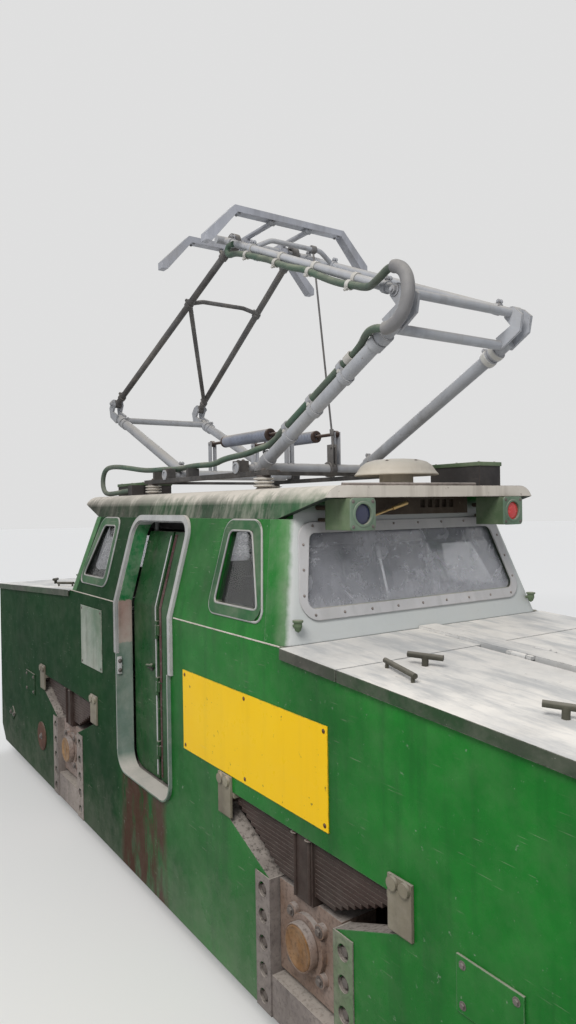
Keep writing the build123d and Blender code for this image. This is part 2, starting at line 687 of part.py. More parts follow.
def hood_top():
    """Fixed strip beside the cab and the raised ridge on which the lids are hinged."""
    edge_span = (-HOOD_EDGE_Y, HOOD_EDGE_Y)
    pieces = [block((HOOD_START, STRIP_LENGTH), edge_span, (-HOOD_SHEET, 0))]
    pieces += [hood_flange((HOOD_START, STRIP_LENGTH), side) for side in (-1, 1)]
    pieces.append(block((HOOD_START, HOOD_LENGTH), (-RIDGE_HALF, RIDGE_HALF), (-HOOD_SHEET - CLEARANCE, RIDGE_RISE)))
    reach = LID_BARREL_LENGTH / 2 + RUNNING_GAP
    lug_z = (LID_HINGE_Z - LID_PIN_R - 2, LID_HINGE_Z + LID_PIN_R + 1)
    for place in LID_HINGE_PLACES:
        middle = STRIP_LENGTH + place
        for side in (-1, 1):
            axis_y = side * LID_HINGE_Y
            lug_y = sorted((side * RIDGE_HALF, side * (LID_HINGE_Y + LID_PIN_R + 1)))
            for end in (-1, 1):
                lug_x = sorted((middle + end * reach, middle + end * (reach + LID_LUG_LENGTH)))
                pieces.append(block(lug_x, lug_y, lug_z))
            ends = [(middle + end * (reach + LID_LUG_LENGTH), axis_y, LID_HINGE_Z) for end in (-1, 1)]
            pieces.append(rod(*ends, LID_PIN_R))
    top = FRONT_HOOD * joined(pieces)
    support = block((CAB_HALF, HALF_LENGTH - SKIN), (-WALL / 2, WALL / 2), (DECK_Z, BELT_Z))
    under = FRONT_HOOD * block((-100, HOOD_LENGTH + 100), (-RIDGE_HALF, RIDGE_HALF), (-HOOD_SHEET - CLEARANCE, 300))
    return joined([top, support - under])


def lid():
    """Front right lid with its hinge barrels, two turning latches and a lifting bar."""
    start = STRIP_LENGTH + CLEARANCE
    end = HOOD_LENGTH + HOOD_OVERHANG
    pieces = [block((start, end), (-HOOD_EDGE_Y, -LID_INNER_Y), (-HOOD_SHEET, 0)), hood_flange((start, end))]
    pieces.append(block((end - HOOD_SHEET, end), (-HOOD_EDGE_Y, -LID_INNER_Y), (-HOOD_FLANGE_DEPTH, 0)))
    bores = []
    for place in LID_HINGE_PLACES:
        span = (STRIP_LENGTH + place - LID_BARREL_LENGTH / 2, STRIP_LENGTH + place + LID_BARREL_LENGTH / 2)
        ends = [(x, -LID_HINGE_Y, LID_HINGE_Z) for x in span]
        pieces.append(rod(*ends, LID_BARREL_R))
        pieces.append(block(span, (-LID_INNER_Y - LID_BARREL_R, -LID_HINGE_Y), (-HOOD_SHEET, 0)))
        bores.append(rod(*ends, LID_PIN_R + RUNNING_GAP))
    for x, y, turn in ((354, -357, 30), (814, -403, 30)):
        pieces.append(rod((x, y, 0), (x, y, 26), 9))
        pieces.append(Pos(x, y, 26) * Rot(0, 0, turn) * rod((-48, 0, 0), (48, 0, 0), 8))
    bar_start, bar_end = Vector(308, -456, 18), Vector(462, -496, 18)
    pieces.append(rod(tuple(bar_start), tuple(bar_end), 7))
    for foot in (bar_start * 0.93 + bar_end * 0.07, bar_start * 0.07 + bar_end * 0.93):
        pieces.append(rod((foot.X, foot.Y, -1), (foot.X, foot.Y, 18), 5))
    whole = joined(pieces)
    for bore in bores:
        whole -= bore
    return FRONT_HOOD * whole


# Cab
CAB_TOP_Z = ROOF_Z - WALL


def cab_solid(inset, radius):
    """Tapered block of the cab above the belt, its four upright corners rounded."""
    low = [(screen_x(BELT_Z, inset), side_y(BELT_Z, inset)), (screen_x(CAB_TOP_Z, inset), side_y(CAB_TOP_Z, inset))]
    faces = []
    for (x, y), z in zip(low, (BELT_Z, CAB_TOP_Z)):
        faces.append(make_face(Polyline((-x, -y, z), (x, -y, z), (x, y, z), (-x, y, z), close=True)))
    body = loft(faces, ruled=True)
    corners = [edge for edge in body.edges() if abs(edge.tangent_at(0.5).Z) > 0.5]
    return fillet(corners, radius)


def roof_section(inset, x_span):
    """Roof in section: leaning sides rolled over into a flat top."""
    shoulder = side_y(ROOF_SPLIT_Z, inset)
    top = ROOF_Z - inset
    corner = side_y(top, inset)
    points = [(shoulder, ROOF_SPLIT_Z), (corner, top), (-corner, top), (-shoulder, ROOF_SPLIT_Z)]
    lows = [(shoulder, ROOF_SPLIT_Z), (-shoulder, ROOF_SPLIT_Z)]
    roll = ROOF_ROLL_R - inset
    arc = FilletPolyline(*[(x_span[0], y, z) for y, z in points], radius=[roll, roll])
    base = Line((x_span[0], *lows[1]), (x_span[0], *lows[0]))
    return extrude(make_face(arc.edges() + base.edges()), amount=x_span[1] - x_span[0], dir=(1, 0, 0))


def roof():
    shell = roof_section(0, (-VISOR_X, VISOR_X)) - roof_section(WALL, (-VISOR_X, VISOR_X))
    for side in (-1, 1):
        cut = [(side * VISOR_START_X, ROOF_SPLIT_Z), (side * VISOR_X, ROOF_SPLIT_Z), (side * VISOR_X, VISOR_TIP_Z)]
        shell -= prism(cut, "y", (-HALF_WIDTH, HALF_WIDTH))
    lip = roof_section(WALL - 1, (VISOR_X - VISOR_LIP, VISOR_X))
    lip -= block((0, 2 * VISOR_X), (-HALF_WIDTH, HALF_WIDTH), (0, VISOR_TIP_Z))
    return joined([shell] + both_ends(lip))


def screen_prism(inset, x_span):
    """Windscreen outline seen from the front, each edge moved inwards by the inset."""
    low, high = SCREEN_LOW_Z + inset, SCREEN_HIGH_Z - inset
    wide, narrow = SCREEN_LOW_HALF - inset, SCREEN_HIGH_HALF - inset
    points = [(-wide, low), (wide, low), (narrow, high), (-narrow, high)]
    return prism(points, "x", x_span, radius=SCREEN_R - inset)


def side_window_prism(inset):
    """Front side window seen from the side: upright rear edge, front edge leaning back."""
    low_z, high_z = SIDE_WINDOW_LOW_Z + inset, SIDE_WINDOW_HIGH_Z - inset
    points = [(SIDE_WINDOW_LOW_X[0] + inset, low_z), (SIDE_WINDOW_LOW_X[1] - inset, low_z)]
    points += [(SIDE_WINDOW_HIGH_X[1] - inset, high_z), (SIDE_WINDOW_HIGH_X[0] + inset, high_z)]
    return prism(points, "y", (-HALF_WIDTH, 0), radius=SIDE_WINDOW_R - inset)


def cab_walls():
    shell = cab_solid(0, CORNER_R) - cab_solid(WALL, CORNER_R - WALL)
    under_roof = roof_section(WALL, (-VISOR_X, VISOR_X))
    below = block((-VISOR_X, VISOR_X), (-HALF_WIDTH, HALF_WIDTH), (BELT_Z, ROOF_SPLIT_Z))
    shell = shell & joined([below, under_roof])
    opening = screen_prism(FRAME_WIDTH, (0, VISOR_X))
    for cut in both_ends(opening):
        shell -= cut
    window = side_window_prism(FRAME_WIDTH)
    for cut in all_corners(window):
        shell -= cut
    for cut in both_sides(door_prism(0, (-HALF_WIDTH, 0))):
        shell -= cut
    return shell


def front_zone():
    """Space that holds the windscreen wall with its rounded corner posts."""
    outline = [(screen_x(BELT_Z, POST_DEPTH), BELT_Z), (2 * CAB_HALF, BELT_Z)]
    outline += [(2 * CAB_HALF, ROOF_Z), (screen_x(ROOF_Z, POST_DEPTH), ROOF_Z)]
    return prism(outline, "y", (-HALF_WIDTH, HALF_WIDTH))


def window_frames():
    """Rims around the windscreens and the side windows, each standing a little proud."""
    screen = screen_prism(0, (0, VISOR_X)) - screen_prism(FRAME_WIDTH, (0, VISOR_X))
    screen = screen & screen_layer(-FRAME_PROUD, 0, (BELT_Z, ROOF_SPLIT_Z))
    side = side_window_prism(0) - side_window_prism(FRAME_WIDTH)
    side = side & right_layer(-FRAME_PROUD, 0, (0, CAB_HALF), (BELT_Z, ROOF_SPLIT_Z))
    return joined(both_ends(screen) + all_corners(side))


def windows():
    middle = (WALL - GLASS) / 2
    screen = screen_prism(FRAME_WIDTH, (0, VISOR_X)) & screen_layer(middle, middle + GLASS, (BELT_Z, ROOF_SPLIT_Z))
    side = side_window_prism(FRAME_WIDTH)
    side = side & right_layer(middle, middle + GLASS, (0, CAB_HALF), (BELT_Z, ROOF_SPLIT_Z))
    return joined(both_ends(screen) + all_corners(side))


# Folding doors: a rear and a front leaf, hinged together, folding into the cab
FOLD_X = (DOOR_REAR_X + DOOR_FRONT_X) / 2
FOLD_Y = -(HALF_WIDTH - LEAF_DEPTH + FOLD_OUTSIDE)
GUIDE_X = 2 * FOLD_X - DOOR_REAR_X


def door_frame():
    """Bent liner of the door opening; below the trim it stands out of the side."""
    ring = door_prism(0, (-2 * HALF_WIDTH, 0)) - door_prism(LINER, (-2 * HALF_WIDTH, 0))
    x_span = (DOOR_REAR_X - 1, DOOR_FRONT_X + 1)
    layer = right_layer(0, LINER_DEPTH, x_span, (SILL_Z - 1, DOOR_TOP_Z + 1))
    lip = right_layer(-LINER_PROUD, 1, x_span, (SILL_Z - 1, TRIM_END_Z))
    return ring & joined([layer, lip])


def door_trim():
    """Thick trim around the upper part of the door opening, on the outside of the body."""
    x_span = (DOOR_REAR_X - TRIM_WIDTH, DOOR_FRONT_X + TRIM_WIDTH)
    around = door_prism(-TRIM_WIDTH, (-2 * HALF_WIDTH, 0)) - door_prism(0, (-2 * HALF_WIDTH, 0))
    return around & right_layer(-TRIM_PROUD, 0, x_span, (TRIM_END_Z, DOOR_TOP_Z + TRIM_WIDTH))


def door_leaf_slab(x_span):
    """Part of the door between two places, bent at the belt, with rounded lower corners."""
    inset = LINER + LEAF_GAP
    slab = right_layer(LEAF_DEPTH, LEAF_DEPTH + LEAF_WALL, x_span, (SILL_Z + inset, DOOR_LEAF_TOP_Z))
    return slab & door_prism(inset, (-HALF_WIDTH, 0))


def fold_eye(height, radius):
    return Pos(FOLD_X, FOLD_Y, height) * Cylinder(radius, FOLD_EYE_LENGTH)


def rear_leaf():
    """Leaf that turns on the door post; it carries the pins of the fold and the T-handle."""
    edge = FOLD_X - FOLD_GAP
    leaf = door_leaf_slab((DOOR_REAR_X + LINER + LEAF_GAP, edge))
    pieces = [leaf]
    start_x = DOOR_REAR_X + LINER + LEAF_GAP
    for low_z in (SILL_Z + 100, DOOR_LEAF_TOP_Z - 60):
        z_span = (low_z, low_z + ARM_HEIGHT)
        leaf_y = -side_y(low_z, LEAF_DEPTH + 1)
        pieces.append(block((start_x, start_x + 30), (leaf_y, -POST_Y), z_span))
        pieces.append(block((DOOR_REAR_X, start_x + 30), (-POST_Y - ARM_EYE_R / 2, -POST_Y + ARM_EYE_R / 2), z_span))
        pieces.append(Pos(DOOR_REAR_X, -POST_Y, low_z + ARM_HEIGHT / 2) * Cylinder(ARM_EYE_R, ARM_HEIGHT))
    for height in FOLD_HINGE_PLACES:
        low = height - FOLD_EYE_LENGTH / 2 - RUNNING_GAP
        high = height + FOLD_EYE_LENGTH / 2 + RUNNING_GAP
        pieces.append(rod((FOLD_X, FOLD_Y, low - 16), (FOLD_X, FOLD_Y, high + 16), FOLD_PIN_R))
        for tab in ((low - 16, low), (high, high + 16)):
            pieces.append(block((edge - 6, FOLD_X), (FOLD_Y - FOLD_PIN_R, FOLD_Y + 14), tab))
    handle = Vector(FOLD_X - HANDLE_FROM_FOLD, -side_y(HANDLE_Z, LEAF_DEPTH), HANDLE_Z)
    out = handle + Vector(0, -HANDLE_PROUD, 0)
    pieces.append(rod(tuple(handle + Vector(0, 1, 0)), tuple(out), HANDLE_R + 2))
    reach = Vector(HANDLE_HALF, 0, HANDLE_HALF / 8)
    pieces.append(rod(tuple(out - reach), tuple(out + reach), HANDLE_R))
    whole = joined(pieces)
    shaft = rod((DOOR_REAR_X, -POST_Y, SILL_Z), (DOOR_REAR_X, -POST_Y, ROOF_Z), POST_R + RUNNING_GAP)
    return whole - shaft


def front_leaf():
    """Leaf between the fold and the guide rail, with its roller pin at the top."""
    edge = FOLD_X + FOLD_GAP
    end_x = DOOR_FRONT_X - LINER - LEAF_GAP
    pieces = [door_leaf_slab((edge, end_x))]
    for height in FOLD_HINGE_PLACES:
        tab_z = (height - FOLD_EYE_LENGTH / 2, height + FOLD_EYE_LENGTH / 2)
        pieces.append(fold_eye(height, FOLD_EYE_R))
        pieces.append(block((FOLD_X, edge + 6), (FOLD_Y - 2, FOLD_Y + 14), tab_z))
    top = DOOR_LEAF_TOP_Z
    leaf_y = -side_y(top, LEAF_DEPTH + 1)
    pieces.append(block((end_x - 30, end_x), (leaf_y, -POST_Y + ROLLER_R), (top - ARM_HEIGHT, top)))
    pieces.append(block((end_x - 30, GUIDE_X), (-POST_Y - ROLLER_R, -POST_Y + ROLLER_R), (top - ARM_HEIGHT, top)))
    pieces.append(rod((GUIDE_X, -POST_Y, top - ARM_HEIGHT), (GUIDE_X, -POST_Y, RAIL_LOW_Z + RAIL_HEIGHT - 2), ROLLER_R))
    whole = joined(pieces)
    for height in FOLD_HINGE_PLACES:
        whole -= fold_eye(height, FOLD_PIN_R + RUNNING_GAP)
    return whole


def door_runners():
    """Upright post on which the door turns and the slotted rail under the roof."""
    post = rod((DOOR_REAR_X, -POST_Y, FLOOR_Z), (DOOR_REAR_X, -POST_Y, CAB_TOP_Z), POST_R)
    furthest_x = DOOR_REAR_X + 2 * math.hypot(FOLD_X - DOOR_REAR_X, FOLD_Y + POST_Y)
    x_span = (RAIL_START_X, furthest_x + RAIL_WALL + ROLLER_R + CLEARANCE)
    rail = block(x_span, (-POST_Y - RAIL_WIDTH / 2, -POST_Y + RAIL_WIDTH / 2), (RAIL_LOW_Z, RAIL_LOW_Z + RAIL_HEIGHT))
    slot_y = (-POST_Y - RAIL_SLOT / 2, -POST_Y + RAIL_SLOT / 2)
    rail -= block((x_span[0] + RAIL_WALL, x_span[1] - RAIL_WALL), slot_y, (RAIL_LOW_Z, RAIL_LOW_Z + RAIL_HEIGHT))
    stays = [rod((x, -POST_Y, RAIL_LOW_Z + RAIL_HEIGHT - 4), (x, -POST_Y, CAB_TOP_Z), RAIL_WALL / 2) for x in
             (x_span[0] + RAIL_WALL / 2, x_span[1] - RAIL_WALL / 2)]
    return joined(both_sides(post) + both_sides(joined([rail] + stays)))


def lamp_box():
    z_span = (LAMP_TOP_Z - LAMP_SIZE, LAMP_TOP_Z)
    y_span = (-LAMP_Y - LAMP_SIZE / 2, -LAMP_Y + LAMP_SIZE / 2)
    box = block((LAMP_FRONT_X - LAMP_DEPTH, LAMP_FRONT_X - LENS_DEPTH), y_span, z_span)
    centre_z = LAMP_TOP_Z - LAMP_SIZE / 2
    rim = block((LAMP_FRONT_X - LENS_DEPTH, LAMP_FRONT_X), y_span, z_span)
    rim -= rod((LAMP_FRONT_X - LENS_DEPTH, -LAMP_Y, centre_z), (LAMP_FRONT_X, -LAMP_Y, centre_z), LENS_R)
    foot_x = (LAMP_FRONT_X - LAMP_DEPTH + 20, LAMP_FRONT_X - 50)
    foot = block(foot_x, (-LAMP_Y - 20, -LAMP_Y + 20), (LAMP_TOP_Z, CAB_TOP_Z))
    return joined([box, rim, foot])


def lamp_lens():
    centre_z = LAMP_TOP_Z - LAMP_SIZE / 2
    return rod((LAMP_FRONT_X - LENS_DEPTH, -LAMP_Y, centre_z), (LAMP_FRONT_X - 1, -LAMP_Y, centre_z), LENS_R - RUNNING_GAP)


def sign_plate():
    return block(SIGN_X, (-HALF_WIDTH - PLATE_PROUD, -HALF_WIDTH), SIGN_Z)


def side_covers():
    """Small bolted covers low on the hood sides and the notice plate beside the door."""
    cover = block(COVER_X, (-HALF_WIDTH - COVER_PROUD, -HALF_WIDTH), COVER_Z)
    notice = block(NOTICE_X, (-HALF_WIDTH - PLATE_PROUD, -HALF_WIDTH), NOTICE_Z)
    return joined(all_corners(cover) + both_sides(notice))


def frame_lugs():
    """Round covers and diamond-shaped lugs low on the side frames."""
    side_y_span = (-HALF_WIDTH - COVER_PROUD, -HALF_WIDTH)
    cover = cross_rod(ROUND_COVER_X, ROUND_COVER_Z, side_y_span, ROUND_COVER_R)
    diamond = [(LUG_X - LUG_HALF_LENGTH, LUG_Z), (LUG_X, LUG_Z - LUG_HALF_HEIGHT)]
    diamond += [(LUG_X + LUG_HALF_LENGTH, LUG_Z), (LUG_X, LUG_Z + LUG_HALF_HEIGHT)]
    lug = prism(diamond, "y", side_y_span, radius=LUG_HALF_HEIGHT / 4)
    return joined(all_corners(cover) + all_corners(lug))


def corner_knob():
    """Acorn-shaped knob with a wide rim, on a short arm from the cab wall."""
    profile = [(0, 0), (KNOB_R, 0), (KNOB_R, -5), (KNOB_R * 0.75, -8), (KNOB_R * 0.8, -KNOB_DEPTH * 0.5)]
    profile += [(KNOB_R * 0.5, -KNOB_DEPTH * 0.85), (0, -KNOB_DEPTH)]
    face = make_face(Polyline(*[(radius, 0, z) for radius, z in profile], close=True))
    knob = Pos(KNOB_X, -KNOB_Y, KNOB_TOP_Z) * revolve(face, axis=Axis.Z)
    arm_z = KNOB_TOP_Z - KNOB_DEPTH / 2
    arm_start = screen_x(arm_z - KNOB_R / 3, -RUNNING_GAP)
    return knob + rod((arm_start, -KNOB_Y, arm_z), (KNOB_X, -KNOB_Y, arm_z), KNOB_R / 3)


def visor_panel():
    """Panel under the visor between the lamps, with a short grille beside its middle."""
    outline = [(screen_x(PANEL_LOW_Z, -RUNNING_GAP), PANEL_LOW_Z), (PANEL_X, PANEL_LOW_Z), (PANEL_X, CAB_TOP_Z)]
    outline.append((screen_x(CAB_TOP_Z, -RUNNING_GAP), CAB_TOP_Z))
    panel = prism(outline, "y", (-PANEL_HALF_WIDTH, PANEL_HALF_WIDTH))
    for place in range(GRILLE_COUNT):
        start = GRILLE_Y + place * GRILLE_PITCH
        slot_y = (-start - GRILLE_SLOT, -start)
        panel -= block((PANEL_X - GRILLE_DEPTH, PANEL_X), slot_y, (GRILLE_LOW_Z, GRILLE_HIGH_Z))
    return panel


def seat():
    seat_x = (WELL_HALF + SEAT_INSET, CAB_HALF - SKIN - SEAT_INSET)
    return block(seat_x, (-SEAT_HALF_WIDTH, SEAT_HALF_WIDTH), (DECK_Z, DECK_Z + SEAT_HEIGHT))


def controller():
    """Controller column with its drum cap and crank."""
    x, y, top = CONTROLLER_X, CONTROLLER_Y, CONTROLLER_TOP_Z
    half = CONTROLLER_SIDE / 2
    column = block((x - half, x + half), (y - half, y + half), (DECK_Z, top))
    cap = rod((x, y, top), (x, y, top + CONTROLLER_CAP), half - 10)
    crank_z = top + CRANK_STEM
    stem = rod((x, y, top), (x, y, crank_z), CRANK_HEIGHT)
    crank_y = (y - CRANK_WIDTH / 2, y + CRANK_WIDTH / 2)
    crank = block((x - CRANK_REACH, x + CRANK_WIDTH / 2), crank_y, (crank_z - 5, crank_z - 5 + CRANK_HEIGHT))
    grip_x = x - CRANK_REACH + CRANK_WIDTH / 2
    grip = rod((grip_x, y, crank_z), (grip_x, y, crank_z + KNOB_GRIP), CRANK_HEIGHT)
    return joined([column, cap, stem, crank, grip])


# Pantograph places in the X and Z plane
def arm_end(shaft_x, angle, side):
    """Knuckle at the far end of a lower arm; side is 1 at the front and -1 at the rear."""
    turn = math.radians(angle)
    return shaft_x + side * LOWER_ARM * math.cos(turn), SHAFT_Z + LOWER_ARM * math.sin(turn)


FRONT_KNUCKLE = arm_end(FRONT_SHAFT_X, FRONT_ANGLE, 1)
REAR_KNUCKLE = arm_end(REAR_SHAFT_X, REAR_ANGLE, -1)


def apex_place():
    """Where the two pairs of upper arms meet."""
    run = FRONT_KNUCKLE[0] - REAR_KNUCKLE[0]
    rise = FRONT_KNUCKLE[1] - REAR_KNUCKLE[1]
    base = math.hypot(run, rise)
    height = math.sqrt(UPPER_ARM ** 2 - base ** 2 / 4)
    middle_x = (FRONT_KNUCKLE[0] + REAR_KNUCKLE[0]) / 2
    middle_z = (FRONT_KNUCKLE[1] + REAR_KNUCKLE[1]) / 2
    return middle_x - height * rise / base, middle_z + height * run / base


APEX = apex_place()


def on_arm(shaft_x, knuckle, side, along, above):
    """Place measured along the line from a shaft to its knuckle and square to it."""
    unit_x, unit_z = (knuckle[0] - shaft_x) / LOWER_ARM, (knuckle[1] - SHAFT_Z) / LOWER_ARM
    return shaft_x + unit_x * along - side * unit_z * above, SHAFT_Z + unit_z * along + abs(unit_x) * above


def spring_lever(shaft_x, y):
    """Upright fork on a shaft with the pin that holds a spring's eye."""
    tip_z = SHAFT_Z + LEVER_LENGTH
    gap = LEVER_EYE_WIDTH / 2 + KNUCKLE_SIDE_GAP
    x_span = (shaft_x - LEVER_WIDTH / 2, shaft_x + LEVER_WIDTH / 2)
    pieces = [cross_rod(shaft_x, tip_z, (y - gap - LEVER_PLATE, y + gap + LEVER_PLATE), LEVER_PIN_R)]
    for plate_y in ((y - gap - LEVER_PLATE, y - gap), (y + gap, y + gap + LEVER_PLATE)):
        pieces.append(block(x_span, plate_y, (SHAFT_Z, tip_z + LEVER_WIDTH / 3)))
    return pieces


def lower_frame(shaft_x, knuckle, side):
    """Lower frame: shaft, two arms ending in forked necks, cross tube and two spring levers."""
    end_y = BASE_RAIL_Y + BASE_RAIL_WIDTH / 2
    wide_y = ARM_Y + LOWER_R + KNUCKLE_PLATE
    pieces = [cross_rod(shaft_x, SHAFT_Z, (-wide_y, wide_y), SHAFT_R)]
    pieces.append(cross_rod(shaft_x, SHAFT_Z, (-end_y, end_y), STUB_R))
    neck = on_arm(shaft_x, knuckle, side, NECK_START, -NECK_DROP)
    low, out = -NECK_DROP - 0.75 * LOWER_R, LOWER_ARM + KNUCKLE_EYE_R
    fork = [(NECK_START - LOWER_R, low + 2 * LOWER_R), (NECK_START - LOWER_R, low), (LOWER_ARM, low)]
    fork += [(out + 12, low / 2), (out, 0), (LOWER_ARM, KNUCKLE_EYE_R), (LOWER_ARM - KNUCKLE_EYE_R, 0)]
    fork += [(LOWER_ARM - KNUCKLE_EYE_R + 6, low / 2)]
    outline = [on_arm(shaft_x, knuckle, side, *point) for point in fork]
    gap = KNUCKLE_EYE_WIDTH / 2 + KNUCKLE_SIDE_GAP
    for y in (-ARM_Y, ARM_Y):
        pieces.append(rod((shaft_x, y, SHAFT_Z), (neck[0], y, neck[1]), LOWER_R))
        collar = [[shaft_x + (neck[0] - shaft_x) * share, y, SHAFT_Z + (neck[1] - SHAFT_Z) * share] for share in
                  (COLLAR_START / NECK_START, (COLLAR_START + COLLAR_LENGTH) / NECK_START)]
        pieces.append(rod(*collar, LOWER_R + COLLAR_WALL))
        pieces.append(cross_rod(*knuckle, (y - gap - KNUCKLE_PLATE, y + gap + KNUCKLE_PLATE), KNUCKLE_PIN_R))
        for plate_y in ((y - gap - KNUCKLE_PLATE, y - gap), (y + gap, y + gap + KNUCKLE_PLATE)):
            pieces.append(prism(outline, "y", plate_y))
    cross = on_arm(shaft_x, knuckle, side, CROSS_TUBE_AT, -NECK_DROP * CROSS_TUBE_AT / NECK_START)
    pieces.append(cross_rod(*cross, (-ARM_Y, ARM_Y), CROSS_TUBE_R))
    if side > 0:
        inner = ARM_Y - gap - KNUCKLE_PLATE
        pieces.append(cross_rod(*knuckle, (-inner, inner), KNUCKLE_TUBE_R))
    for y in (-SPRING_Y, SPRING_Y):
        pieces += spring_lever(shaft_x, y)
    return joined(pieces)


def upper_frame(knuckle, apex_y, bow_at, bow_rise):
    """Upper frame: two converging arms with an eye at each knuckle and a bowed tube across them."""
    run_x, run_z = APEX[0] - knuckle[0], APEX[1] - knuckle[1]
    share = 1 - bow_at / UPPER_ARM
    bow_y = ARM_Y + (apex_y - ARM_Y) * share
    place = Vector(knuckle[0] + run_x * share, 0, knuckle[1] + run_z * share)
    up = Vector(-run_z, 0, run_x).normalized() * (bow_rise if run_x > 0 else -bow_rise)
    ends = [place + Vector(0, y, 0) for y in (-bow_y, bow_y)]
    middles = [place + up + Vector(0, y, 0) for y in (-bow_y * 0.6, bow_y * 0.6)]
    path = FilletPolyline(ends[0], middles[0], middles[1], ends[1], radius=60)
    section = Plane(origin=path @ 0, z_dir=path % 0) * Circle(BOW_R)
    pieces = [sweep(section, path=path)]
    holes = []
    for sign in (-1, 1):
        low_y, top_y = sign * ARM_Y, sign * apex_y
        pieces.append(rod((knuckle[0], low_y, knuckle[1]), (APEX[0], top_y, APEX[1]), UPPER_R))
        eye_span = (low_y - KNUCKLE_EYE_WIDTH / 2, low_y + KNUCKLE_EYE_WIDTH / 2)
        pieces.append(cross_rod(*knuckle, eye_span, KNUCKLE_EYE_R - 2))
        holes.append(cross_rod(*knuckle, eye_span, KNUCKLE_PIN_R + RUNNING_GAP))
    return pieces, holes


def front_upper_frame():
    """Front upper frame; it carries the shaft at the top."""
    pieces, holes = upper_frame(FRONT_KNUCKLE, FRONT_APEX_Y, FRONT_BOW_AT, BOW_RISE)
    whole = joined(pieces + [cross_rod(*APEX, (-APEX_HALF, APEX_HALF), APEX_SHAFT_R)])
    for hole in holes:
        whole -= hole
    return whole


def rear_upper_frame():
    """Rear upper frame; its open eyes hang loosely round the shaft at the top."""
    pieces, holes = upper_frame(REAR_KNUCKLE, REAR_APEX_Y, REAR_BOW_AT, BOW_RISE / 2)
    for y in (-REAR_APEX_Y, REAR_APEX_Y):
        span = (y - UPPER_R, y + UPPER_R)
        pieces.append(cross_rod(*APEX, span, REAR_EYE_R))
        holes.append(cross_rod(*APEX, (y - 2 * UPPER_R, y + 2 * UPPER_R), REAR_EYE_BORE_R))
    share = 1 - REAR_BOW_AT / UPPER_ARM
    brace_y = ARM_Y + (REAR_APEX_Y - ARM_Y) * share
    brace_end = [k + (a - k) * share for k, a in zip(REAR_KNUCKLE, APEX)]
    near_knuckle = [k + (a - k) * 0.06 for k, a in zip(REAR_KNUCKLE, APEX)]
    pieces.append(rod((near_knuckle[0], ARM_Y - 8, near_knuckle[1]), (brace_end[0], -brace_y, brace_end[1]), BRACE_R))
    whole = joined(pieces)
    for hole in holes:
        whole -= hole
    return whole


def pan_rail(x):
    """One contact rail: flat in the middle, bent down into a horn at each end."""
    top = APEX[1] + PAN_TOP_RISE
    tip_z = top - PAN_TIP_DROP
    low = PAN_RAIL_HEIGHT
    outline = [(-PAN_SHOULDER_Y, top), (PAN_SHOULDER_Y, top), (PAN_TIP_Y, tip_z + 30), (PAN_TIP_Y, tip_z)]
    outline += [(PAN_TIP_Y - low, tip_z), (PAN_SHOULDER_Y - low / 2, top - low), (-PAN_SHOULDER_Y + low / 2, top - low)]
    outline += [(-PAN_TIP_Y + low, tip_z), (-PAN_TIP_Y, tip_z), (-PAN_TIP_Y, tip_z + 30)]
    return prism(outline, "x", (x - PAN_RAIL_WIDTH / 2, x + PAN_RAIL_WIDTH / 2))


def pan_head():
    """Two contact rails on carriers that ride on the apex shaft."""
    pieces = [pan_rail(APEX[0] + x) for x in (-PAN_RAIL_X, PAN_RAIL_X)]
    rail_under = APEX[1] + PAN_TOP_RISE - PAN_RAIL_HEIGHT
    bearing_r = APEX_SHAFT_R + 12
    bores = []
    for y in (-PAN_CARRIER_Y + 30, PAN_CARRIER_Y - 30):
        span = (y - 18, y + 18)
        pieces.append(cross_rod(*APEX, span, bearing_r))
        bores.append(cross_rod(*APEX, span, APEX_SHAFT_R + RUNNING_GAP))
        carrier_z = rail_under - PAN_CARRIER_R + 4
        ends = [(APEX[0] + x, y, carrier_z) for x in (-PAN_RAIL_X, PAN_RAIL_X)]
        pieces.append(rod(*ends, PAN_CARRIER_R))
    whole = joined(pieces)
    for bore in bores:
        whole -= bore
    return whole


def spring_rod():
    """Front part of each raising spring: an eye on the front lever and a rod that runs inside the coil."""
    height = SHAFT_Z + LEVER_LENGTH
    pieces = []
    for y in (-SPRING_Y, SPRING_Y):
        eye_span = (y - LEVER_EYE_WIDTH / 2, y + LEVER_EYE_WIDTH / 2)
        eye = cross_rod(FRONT_SHAFT_X, height, eye_span, LEVER_EYE_R)
        eye += rod((SPRING_ROD_END_X, y, height), (FRONT_SHAFT_X, y, height), SPRING_ROD_R)
        eye += rod((SPRING_ROD_END_X, y, height), (SPRING_ROD_END_X + SPRING_CAP, y, height), SPRING_ROD_R + 4)
        pieces.append(eye - cross_rod(FRONT_SHAFT_X, height, eye_span, LEVER_PIN_R + RUNNING_GAP))
    return joined(pieces)


def coil_tube():
    """Closely wound coil between two caps, drawn as ridges around a tube."""
    length = SPRING_FRONT_X - SPRING_REAR_X
    turns = round((length - 2 * SPRING_CAP) / SPRING_PITCH)
    pitch = (length - 2 * SPRING_CAP) / turns
    inner_r = SPRING_R - SPRING_WIRE
    profile = [(0, 0), (0, SPRING_R), (SPRING_CAP, SPRING_R)]
    for turn in range(turns):
        start = SPRING_CAP + turn * pitch
        profile += [(start, SPRING_R - SPRING_GROOVE), (start + pitch / 2, SPRING_R)]
    profile += [(length - SPRING_CAP, SPRING_R - SPRING_GROOVE), (length - SPRING_CAP, SPRING_R), (length, SPRING_R)]
    profile += [(length, inner_r), (SPRING_CAP, inner_r), (SPRING_CAP, 0)]
    return revolve(make_face(Polyline(*[(x, radius, 0) for x, radius in profile], close=True)), axis=Axis.X)


